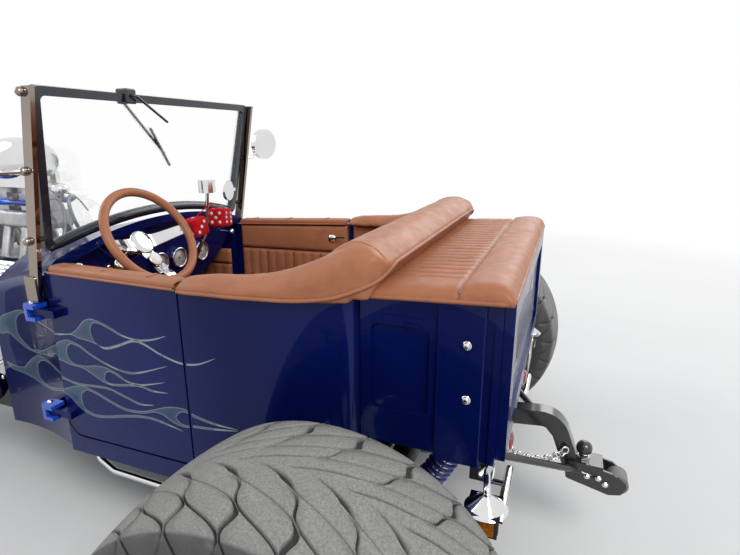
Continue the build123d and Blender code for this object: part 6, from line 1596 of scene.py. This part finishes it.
class ROADSTER_OT_wheel(bpy.types.Operator):
    """Leather rim with stitching, dished flat spokes, hub disc and the column's stalk"""

    bl_idname = "roadster.wheel"
    bl_label = "Steering wheel"

    def execute(self, context):
        tilt = math.radians(31.7)
        hub = at(240, 199, 985)
        axis = Vector((0, math.cos(tilt), math.sin(tilt)))
        across = Vector(X)
        up = axis.cross(across)
        form = Form("wheel_trim", "tan", "thread", "chrome", "white")
        radius, wire, count = 0.163, 0.0145, 132
        proud = wire + 0.0002
        form.torus(hub, axis, radius, wire, 0, 120, 24)
        for k in range(count):
            for sense in (1, -1):
                path = []
                for s in range(5):
                    t = 2 * math.pi * (k + sense * (s - 2) * 0.17) / count
                    roll = math.pi + sense * (s - 2) * 0.085
                    out = across * math.cos(t) + up * math.sin(t)
                    path.append(hub + out * (radius + proud * math.cos(roll)) + axis * proud * math.sin(roll))
                form.tube(path, 0.00055, 1, 5)
        disc = [
            (-0.061, 0.024), (-0.059, 0.034), (-0.057, 0.042), (-0.053, 0.0435), (-0.048, 0.0415),
            (-0.046, 0.036), (-0.0445, 0.022), (-0.044, 0.01), (-0.044, 0),
        ]
        form.lathe(hub, axis, disc, 2, 56)
        for angle in (90, 180, 0):
            t = math.radians(angle)
            out = across * math.cos(t) + up * math.sin(t)
            side = axis.cross(out)
            path = [hub + out * reach + axis * lift for reach, lift, _ in SPOKE]
            form.strap(path, [width for _, _, width in SPOKE], 0.004, side, 2)
            form.hexagon(hub + out * 0.144 - axis * 0.0075, axis, 0.003, 0.003, 2)
        down = across * math.cos(math.radians(80)) + up * math.sin(math.radians(80))
        cap = hub + down * 0.074 - axis * 0.042
        bezel = [(0, 0.02), (0.012, 0.022), (0.017, 0.0245), (0.021, 0.0245), (0.0225, 0.022)]
        form.lathe(cap, axis, bezel, 2, 40)
        form.lathe(cap, axis, [(0.0222, 0.0218), (0.0232, 0.02), (0.0246, 0.012), (0.025, 0.0)], 3, 40)
        form.place("driver_steering_wheel", "tan_leather", ("steering_wheel",))
        stalk = Form("column_stalk", "chrome")
        root = hub - axis * 0.1
        tip = hub + across * 0.118 + up * 0.05 - axis * 0.07
        stalk.lathe(root, axis, [(-0.016, 0.023), (-0.014, 0.0265), (0.014, 0.0265), (0.016, 0.023)], 0, 40)
        lever = [root + across * 0.02, root + across * 0.06 + up * 0.02, tip]
        stalk.tube(curve_points(lever, 0.01), 0.0042, 0, 12)
        knob = [(-0.014, 0.014), (-0.012, 0.019), (0.014, 0.02), (0.018, 0.018), (0.02, 0.012), (0.0205, 0)]
        stalk.lathe(tip, axis, knob, 0, 32)
        stalk.place("car", "chrome_plate")
        return {"FINISHED"}


# Places of the white spots on a face with that many
PIPS = {
    1: ((0, 0),),
    2: ((-1, -1), (1, 1)),
    3: ((-1, -1), (0, 0), (1, 1)),
    4: ((-1, -1), (-1, 1), (1, -1), (1, 1)),
    5: ((-1, -1), (-1, 1), (0, 0), (1, -1), (1, 1)),
    6: ((-1, -1), (-1, 0), (-1, 1), (1, -1), (1, 0), (1, 1)),
}
# Centre, turn in degrees and spots on the six faces of each die
DICE = (
    ((-77, 237, 1003), (4, -6, 8), (5, 2, 6, 1, 3, 4)),
    ((18, 194, 978), (8, 7, -8), (2, 5, 3, 4, 1, 6)),
)


class ROADSTER_OT_dice(bpy.types.Operator):
    """Plush dice with white pips"""

    bl_idname = "roadster.dice"
    bl_label = "Dice"

    def execute(self, context):
        softened("plush_dice", "hanging_dice", "plush", "red_plush", 0.7, 0.0022, 0.0005, 60.0, 3)
        form = Form("dice_pips", "felt")
        directions = (X, (-1, 0, 0), Y, (0, -1, 0), Z, (0, 0, -1))
        for place, turn, faces in DICE:
            rx, ry, rz = (math.radians(v) for v in turn)
            spin = Matrix.Rotation(rx, 3, "X") @ Matrix.Rotation(ry, 3, "Y") @ Matrix.Rotation(rz, 3, "Z")
            for direction, count in zip(directions, faces):
                axis = spin @ Vector(direction)
                u = spin @ Vector((direction[1], direction[2], direction[0]))
                v = axis.cross(u)
                for a, b in PIPS[count]:
                    spot = at(*place) + axis * 0.0343 + u * a * 0.0165 + v * b * 0.0165
                    form.dome(spot, axis, 0.0066, 0.002, 0, 18)
        form.place("car", "red_plush")
        return {"FINISHED"}


# In millimetres: heights of the hinges, and foot, head and rear edge of each hinge's three knuckles
HINGE_HEIGHTS = (785, 447)
KNUCKLES = ((-25.4, -12.7, 8), (-12.7, 12.7, -20.5), (12.7, 25.4, 8))


class ROADSTER_OT_hinges(bpy.types.Operator):
    """Round blue covers and cap nuts of the door hinges, and the bright bead in the seam, in a blue far lighter than
    the body paint: painted highlight
    """

    bl_idname = "roadster.hinges"
    bl_label = "Door hinges"

    def execute(self, context):
        pin_x, pin_y, radius = 522, -26, 23
        tree, _ = surface_of("cowl_body")
        seam = []
        inwards, inside_body = Vector((-1, 0, 0)), 0.4
        for z in range(300, 1100, 6):
            gap, wall = (tree.ray_cast(at(900, y, z), inwards)[0] for y in (20, 14))
            if wall and wall.x > inside_body and (not gap or gap.x < inside_body):
                seam.append((wall.x + 0.0028, 0.0195 + BACK, wall.z))
        for side, sign in SIDES:
            form = Form(f"hinge_covers_{side}", "hinge_blue", "chrome")
            for height in HINGE_HEIGHTS:
                for low, top, back in KNUCKLES:
                    turns = [-math.pi * k / 24 for k in range(25)]
                    round_part = [(pin_x + radius * math.cos(t), pin_y + radius * math.sin(t)) for t in turns]
                    rim = [(pin_x + radius, back), *round_part, (pin_x - radius, back)]
                    n = len(rim)
                    ends = [at(x, y, height + z) for z in (low, top) for x, y in rim]
                    walls = [((k + 1) % n, k, n + k, n + (k + 1) % n) for k in range(n)]
                    form.add(ends, [tuple(range(n)), tuple(reversed(range(n, 2 * n))), *walls], 0, False)
                form.dome(at(518, -30, height + 25.4), Z, 0.009, 0.006, 1)
            # Thin bright tube in the door's seam: painted highlight on the seam's rounded edge.
            form.tube(seam, 0.0026, 0, 8)
            form.place("car", "body_paint", mirror=sign < 0)
        return {"FINISHED"}


class ROADSTER_OT_screen(bpy.types.Operator):
    """Thick lower tube of the windscreen frame"""

    bl_idname = "roadster.screen"
    bl_label = "Windscreen"

    def execute(self, context):
        form = Form("screen_foot_tube", "screen_black")
        path, radii = [], []
        half, foot, bow = 462, 969, 70
        for k in range(61):
            x = -half + 2 * half * k / 60
            rise = bow * (1 - (x / 464) ** 2)
            path.append(at(x, rise * 0.181, foot + rise * 0.983))
            radii.append(0.0145 + 0.0035 * ease(half - abs(x), 0, 60))
        form.tube(path, radii, 0, 20)
        form.place("car", "black_paint")
        return {"FINISHED"}


# Engine


# In millimetres: height of the crankshaft, and the distributor's place along the car
CRANK_HEIGHT = 520
DISTRIBUTOR = -487


class ROADSTER_OT_engine(bpy.types.Operator):
    """Ignition leads, fuel lines, bolts, hoses and linkage"""

    bl_idname = "roadster.engine"
    bl_label = "Engine dressing"

    def execute(self, context):
        self.ignition()
        self.fuel()
        self.bolts()
        self.firewall()
        return {"FINISHED"}

    def ignition(self):
        """Distributor, its leads and the plug boots."""
        form = Form("ignition", "black", "lead", "chrome")
        distributor = [(0, 0.02), (0.05, 0.02), (0.052, 0.027), (0.09, 0.03), (0.105, 0.026), (0.11, 0.012)]
        form.lathe(at(0, DISTRIBUTOR, 708), Z, distributor, 0, 32)
        form.lathe(at(0, DISTRIBUTOR, 690), Z, [(0, 0.016), (0.03, 0.016)], 2, 24)
        turns = spread_round(8, 0.5)
        for k, turn in enumerate(turns):
            post = at(0, DISTRIBUTOR, 806) + Vector((0.019 * math.cos(turn), 0.019 * math.sin(turn), 0))
            form.lathe(post, Z, [(0, 0.0055), (0.014, 0.0045)], 0, 12)
            sign = 1 if math.cos(turn) > 0 else -1
            order = [j for j, other in enumerate(turns) if (math.cos(other) > 0) == (sign > 0)].index(k)
            plug_y = -500 - 112 * order
            high = 744 - 7 * order
            path = [
                post + Vector((0, 0, 0.012)), post + Vector((sign * 0.02, 0, 0.042)), at(sign * 120, -474, 822),
                at(sign * 262, -466, 786 + 6 * order), at(sign * 344, -478, high), at(sign * 350, -520, high - 8),
            ]
            if order:
                path.append(at(sign * 350, plug_y + 40, high - 8))
            path += [at(sign * 336, plug_y + 4, high - 18), at(sign * 290, plug_y, 696)]
            form.tube(curve_points(path, 0.012), 0.0042, 1, 8)
            boot = at(sign * 292, plug_y, 697)
            form.lathe(boot, (-sign * 0.75, 0, -0.5), [(0, 0.0055), (0.02, 0.0075), (0.03, 0.0085)], 0, 12)
        form.place("car", "black_paint")

    def fuel(self):
        """Fuel rails with their braided hoses, the linkage and a breather."""
        form = Form("fuel_lines", "braid", "anodised", "chrome", "black")
        rail = 1036
        for sign in (1, -1):
            x = sign * 78
            form.tube([at(x, -860, rail), at(x, -590, rail)], 0.0115, 1, 18)
            for y, way in ((-862, -1), (-588, 1)):
                plug = [(0, 0.0135), (0.012, 0.0135), (0.014, 0.010), (0.022, 0.010)]
                form.lathe(at(x, y, rail), (0, way, 0), plug, 1, 6, False)
            for y in (-820, -720, -685, -630):
                form.lathe(at(x - sign * 10, y, rail), (-sign, 0, 0), [(0, 0.0075), (0.026, 0.0075)], 1, 6, False)
            back = [
                at(x, -566, rail), at(x, -540, 1038), at(x * 0.92, -512, 1050), at(x * 0.62, -496, 1060),
                at(x * 0.3, -490, 1050), at(x * 0.2, -478, 1000), at(x * 0.4, -468, 930), at(x * 0.9, -464, 860),
                at(x * 1.2, -462, 780),
            ]
            form.tube(curve_points(back, 0.008), 0.0075, 0, 14)
            nut = [(0, 0.0115), (0.014, 0.0115), (0.016, 0.009), (0.024, 0.009)]
            form.lathe(at(x, -566, rail), Y, nut, 1, 6, False)
        form.tube([at(-92, -822, 1064), at(-92, -622, 1064)], 0.0035, 2, 10)
        for y in (-812, -632):
            form.slab(at(-96, y - 4, 1022), at(-90, y + 4, 1070), 2, 0.001)
        cable = [at(-92, -622, 1064), at(-92, -560, 1060), at(-80, -500, 1040), at(-60, -432, 1000)]
        form.tube(curve_points(cable, 0.01), 0.003, 3, 8)
        bowl = [(0, 0.012), (0.02, 0.012), (0.024, 0.03), (0.04, 0.036), (0.056, 0.03), (0.066, 0.012), (0.068, 0)]
        form.lathe(at(0, -500, 1052), Z, bowl, 2, 32)
        for y in (-820, -630):
            for sx in (-1, 1):
                for dy in (-30, 30):
                    form.hexagon(at(sx * 42, y + dy, 1072), Z, 0.0042, 0.005, 2)
        form.place("car", "chrome_plate")

    def bolts(self):
        """Screws of the covers, headers and front, and the hose clips."""
        bank = math.radians(45)
        form = Form("engine_bolts", "chrome")
        for _, sign in SIDES:
            up = Vector((sign * math.sin(bank), 0, math.cos(bank)))
            out = Vector((sign * math.cos(bank), 0, -math.sin(bank)))
            base = at(0, 0, CRANK_HEIGHT)
            for k in range(6):
                y = (-946 + 92 * k) / 1000
                for v in (-0.0625, 0.0625):
                    spot = base + up * 0.337 + out * v + Vector((0, y, 0))
                    form.hexagon(spot, up, 0.0055, 0.006, 0)
            for k in range(4):
                for shift in (-0.035, 0.035):
                    y = -0.54 - 0.112 * k + shift
                    spot = base + up * (0.283 - 0.022) + out * 0.085 + Vector((0, y, 0))
                    form.hexagon(spot, out, 0.005, 0.006, 0)
            cap = base + up * 0.403 + Vector((0, -0.86, 0))
            filler = [(0, 0.024), (0.01, 0.024), (0.014, 0.03), (0.03, 0.03), (0.034, 0.025)]
            form.lathe(cap, up, filler, 0, 32)
            collector = at(sign * 432, -451, 400)
            for turn in spread_round(3):
                t = turn + 0.5
                spot = collector + Vector((0.049 * math.cos(t), -0.002, 0.049 * math.sin(t)))
                form.hexagon(spot, Y, 0.0065, 0.006, 0)
        for t in spread_round(10):
            form.hexagon(at(112 * math.cos(t), -1004, 535 + 98 * math.sin(t)), (0, -1, 0), 0.005, 0.005, 0)
        form.hexagon(at(0, -1044, CRANK_HEIGHT), (0, -1, 0), 0.016, 0.012, 0)
        for y, z, axis in ((-1096, 886, Y), (-1070, 800, Z)):
            form.torus(at(60, y, z), axis, 0.0188, 0.0018, 0, 40, 8)
        form.place("car", "chrome_plate")

    def firewall(self):
        """Bolts, cylinders and hoses on the firewall."""
        form = Form("firewall_fittings", "black", "chrome", "braid")
        for x in (-300, -210, 210, 300):
            for z in (480, 700):
                form.hexagon(at(x, -431, z), (0, -1, 0), 0.007, 0.007, 1)
        cylinder = [(0, 0.062), (0.006, 0.062), (0.008, 0.03), (0.05, 0.028), (0.054, 0.02)]
        form.lathe(at(290, -431, 640), (0, -1, 0), cylinder, 1, 36)
        form.slab(at(262, -520, 672), at(318, -432, 712), 0, 0.005)
        line = [at(290, -520, 660), at(296, -560, 620), at(330, -620, 480), at(344, -700, 360)]
        form.tube(curve_points(line, 0.012), 0.0045, 2, 10)
        for x, z in ((-120, 760), (-150, 736)):
            hose = [at(x, -430, z), at(x, -462, z + 4), at(x - 40, -470, 720), at(x - 70, -474, 640),
                    at(x - 66, -500, 560)]
            form.tube(curve_points(hose, 0.01), 0.009, 0, 12)
        form.slab(at(-300, -448, 730), at(-240, -431, 790), 1, 0.003)
        form.place("car", "black_paint")


# Front, rear and running gear


class ROADSTER_OT_front(bpy.types.Operator):
    """Headlamp lenses and grille slats"""

    bl_idname = "roadster.front"
    bl_label = "Front"

    def execute(self, context):
        form = Form("lamp_glasses", "lamp", "chrome")
        for _, sign in SIDES:
            centre = at(sign * 368, -1181, 740)
            profile = [(0, 0.0835), (0.004, 0.082), (0.009, 0.069), (0.0125, 0.05), (0.0145, 0.028), (0.015, 0)]
            form.lathe(centre, (0, -1, 0), profile, 0, 64)
            for k in range(-6, 7):
                x = k * 0.0115
                reach = math.sqrt(max(0, 0.076 ** 2 - x * x))
                line = []
                for s in range(9):
                    z = -reach + 2 * reach * s / 8
                    gap = math.hypot(x, z) / 0.0835
                    line.append(centre + Vector((x, -0.0152 * (1 - gap * gap) ** 0.75 - 0.0004, z)))
                form.tube(line, 0.0011, 0, 6)
            form.torus(at(sign * 368, -1187, 740), Y, 0.0895, 0.0055, 1, 64, 12)
        form.place("car", "clear_glass")
        slats = Form("grille_slats", "chrome")
        for k in range(-15, 16):
            x = k * 12.2
            slats.slab(at(x - 1.3, -1209, 407), at(x + 1.3, -1198, 876), 0, 0.0006)
        for z in (520, 640, 760):
            slats.slab(at(-190, -1201, z - 1.5), at(190, -1197, z + 1.5), 0, 0.0006)
        slats.place("car", "chrome_plate")
        return {"FINISHED"}


# Root across and height, length and swing of the licks in the tailgate's left half
LICKS = ((0.43, 0.655, 0.36, 0.028), (0.43, 0.755, 0.30, -0.028), (0.43, 0.855, 0.38, 0.03))


class ROADSTER_OT_bed(bpy.types.Operator):
    """Bed bolts, lamp lenses, plate face and tow gear bolts"""

    bl_idname = "roadster.bed"
    bl_label = "Bed and rear"

    def execute(self, context):
        form = Form("rear_fittings", "chrome", "red", "amber", "white")
        for _, sign in SIDES:
            for y, z in ((1303, 868), (1307, 740)):
                form.lathe(at(sign * 510.2, y, z), (sign, 0, 0), [(0, 0.0105), (0.0016, 0.0105)], 0, 28)
                form.dome(at(sign * 511.8, y, z), (sign, 0, 0), 0.0082, 0.0052, 0, 24)
            glass = [(0, 0.026), (0.005, 0.0255), (0.009, 0.021), (0.012, 0.012), (0.0128, 0)]
            form.lathe(at(sign * 212, 1384, 478), Y, glass, 1, 36)
            form.torus(at(sign * 212, 1384, 478), Y, 0.0282, 0.0026, 0, 40, 10)
            x, y, z = 560, 1372, 500
            for dx, dy in ((1, 0), (-1, 0), (0, 1), (0, -1)):
                low = [x - 22, y - 22, z - 30]
                high = [x + 22, y + 22, z + 13]
                if dx:
                    low[0], high[0] = (x + 30, x + 31.6) if dx > 0 else (x - 31.6, x - 30)
                else:
                    low[1], high[1] = (y + 30, y + 31.6) if dy > 0 else (y - 31.6, y - 30)
                ends = list(zip(at(sign * low[0], *low[1:]), at(sign * high[0], *high[1:])))
                form.slab([min(pair) for pair in ends], [max(pair) for pair in ends], 2, 0.0012)
            form.dome(at(sign * x, y, z + 50), Z, 0.009, 0.009, 0, 20)
        form.slab(at(-410, 1395.2, 472), at(-250, 1396.6, 556), 3, 0.0006)
        for dx in (-65, 65):
            form.dome(at(-330 + dx, 1396.6, 548), Y, 0.0062, 0.003, 0, 18)
        for x in (-40, 40):
            for y, z in ((1608, 300), (1640, 300), (1660, 284)):
                form.hexagon(at(x * 0.97, y, z), (1 if x > 0 else -1, 0, 0), 0.007, 0.007, 0)
        form.lathe(at(0, 1594, 339), Z, [(0, 0.021), (0.008, 0.021), (0.01, 0.017)], 0, 6, False)
        form.place("car", "chrome_plate")
        self.tailgate()
        return {"FINISHED"}

    def tailgate(self):
        """Ghost flame licks in the tailgate's panel."""
        form = Form("tailgate_flames", "paint")
        fills, lines = [], []
        for sign in (1, -1):
            for x, z, reach, tall in LICKS:
                upper, lower = [], []
                for s in range(41):
                    share = s / 40
                    width = 0.03 * min(1.0, share * 5) ** 0.7 * (1 - share) ** 0.9 + 0.0022
                    middle = z + tall * math.sin(share * math.pi * 1.35)
                    px = x - reach * share
                    upper.append((px, middle + width))
                    lower.append((px, middle - width))
                for index in range(40):
                    for edge, inward in ((upper, -0.0036), (lower, 0.0036)):
                        a, b = edge[index], edge[index + 1]
                        quad = [a, b, (b[0], b[1] + inward), (a[0], a[1] + inward)]
                        points = [Vector((sign * px, 1.3892 + BACK, pz)) for px, pz in quad]
                        form.add(points, [(0, 1, 2, 3)])
                        fills += [0.4] * 4
                        lines += [1.0] * 4
                    quad = [upper[index], upper[index + 1], lower[index + 1], lower[index]]
                    form.add([Vector((sign * px, 1.3889 + BACK, pz)) for px, pz in quad], [(0, 1, 2, 3)])
                    fills += [0.55 * (1 - index / 50)] * 4
                    lines += [0.0] * 4
        form.place("car", "body_paint", values={"flame_fill": fills, "flame_edge": lines})


class ROADSTER_OT_running(bpy.types.Operator):
    """Wheel nuts, caps and valves, springs and axle bolts"""

    bl_idname = "roadster.running"
    bl_label = "Running gear"

    def execute(self, context):
        for side, sign in SIDES:
            out = Vector((sign, 0, 0))
            for end, hub, face, radius, rim, half in (
                ("rear", REAR_HUB, 0.060, 0.088, 0.182, 0.165),
                ("front", FRONT_HUB, 0.022, 0.062, 0.179, 0.0575),
            ):
                centre = Vector((sign * hub.x, hub.y, hub.z))
                form = Form(f"{end}_wheel_trim_{side}", "chrome", "black")
                tip = centre + out * (face + 0.019)
                for t in spread_round(5, 0.5):
                    spot = tip + Vector((0, math.cos(t), math.sin(t))) * radius * 0.72
                    nut = [(0, 0.0125), (0.016, 0.0125), (0.022, 0.009), (0.024, 0.004)]
                    form.lathe(spot, out, nut, 0, 6, False)
                cap = centre + out * (face + 0.031)
                profile = ((0, 0.47), (0.006, 0.47), (0.012, 0.4), (0.017, 0.22), (0.018, 0))
                form.lathe(cap, out, [(along, radius * share) for along, share in profile], 0, 40)
                form.torus(centre + out * (half - 0.004), out, rim + 0.006, 0.0032, 0, 96, 10)
                stem = centre + out * (half - 0.022) + Vector((0, 0.35, 0.94)).normalized() * (rim - 0.014)
                form.lathe(stem, out, [(0, 0.005), (0.02, 0.0045), (0.022, 0.0055), (0.034, 0.0055)], 1, 12)
                form.place(f"{side}_{end}_wheel", "chrome_plate")
            self.coil(side, sign)
        self.axles()
        return {"FINISHED"}

    def coil(self, side, sign):
        """Spring round the damper of one side."""
        low, high = at(sign * 300, 1165, 330), at(sign * 270, 1270, 510)
        axis, across, other = axes_about(high - low)
        span = (high - low).length
        path = []
        around, turns = 20, 8
        for k in range(turns * around + 1):
            t = 2 * math.pi * k / around
            along = span * (0.2 + 0.66 * k / (turns * around))
            path.append(low + axis * along + (across * math.cos(t) + other * math.sin(t)) * 0.0345)
        form = Form(f"coil_{side}", "spring", "chrome")
        form.tube(path, 0.0052, 0, 8)
        for share in (0.19, 0.87):
            form.lathe(low + axis * (span * share - 0.003), axis, [(0, 0.042), (0.006, 0.042)], 1, 30)
        form.place("car", "chassis_paint")

    def axles(self):
        """Bolts of the axles and the cover of the rear axle."""
        form = Form("axle_bolts", "chrome")
        hub_z = 393
        for _, sign in SIDES:
            for x in (-16, 16):
                form.hexagon(at(sign * (350 + x), -1480, 290), (0, -1, 0), 0.006, 0.006, 0)
            for x in (14, 38):
                form.hexagon(at(sign * x, -1474, 400), Z, 0.007, 0.008, 0)
            for t in spread_round(4, 0.5):
                spot = at(sign * 788, 1093 + 47 * math.cos(t), hub_z + 47 * math.sin(t))
                form.hexagon(spot, (sign, 0, 0), 0.006, 0.006, 0)
            form.hexagon(at(sign * 389, -700, 295), (sign, 0, 0), 0.009, 0.008, 0)
        for t in spread_round(10):
            form.hexagon(at(88 * math.cos(t), 1203, hub_z + 88 * math.sin(t)), Y, 0.006, 0.006, 0)
        cover = [(0, 0.105), (0.006, 0.105), (0.02, 0.08), (0.028, 0.04), (0.03, 0)]
        form.lathe(at(0, 1199, hub_z), Y, cover, 0, 48)
        form.place("car", "chassis_paint")


# Panel and running


class ROADSTER_PT_panel(bpy.types.Panel):
    """Pieces of the street rod roadster"""

    bl_label = "Street Rod Roadster"
    bl_idname = "ROADSTER_PT_panel"
    bl_space_type = "VIEW_3D"
    bl_region_type = "UI"
    bl_category = "Roadster"

    def draw(self, context):
        layout = self.layout
        for group in (context.scene.roadster_sizes, context.scene.roadster_colours):
            box = layout.box()
            for key in group.__annotations__:
                box.prop(group, key)
        for operator in STEPS:
            layout.operator(operator.bl_idname)


STEPS = tuple(
    value for value in list(globals().values())
    if isinstance(value, type) and issubclass(value, bpy.types.Operator)
)
CLASSES = (RoadsterColours, RoadsterSizes, *STEPS, ROADSTER_PT_panel)


def register():
    for item in CLASSES:
        bpy.utils.register_class(item)
    bpy.types.Scene.roadster_colours = PointerProperty(type=RoadsterColours)
    bpy.types.Scene.roadster_sizes = PointerProperty(type=RoadsterSizes)


def unregister():
    del bpy.types.Scene.roadster_sizes
    del bpy.types.Scene.roadster_colours
    for item in reversed(CLASSES):
        bpy.utils.unregister_class(item)


def main():
    """Dress the car, set the stage and note the sizes."""
    register()
    for operator in STEPS:
        group, name = operator.bl_idname.split(".")
        getattr(getattr(bpy.ops, group), name)()
    spans = {"cad": [list(p) for p in CAD_BOX], "visual": [list(p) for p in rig.bounds()]}
    with open("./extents.json", "w") as out:
        json.dump(spans, out)


if __name__ == "__main__":
    main()
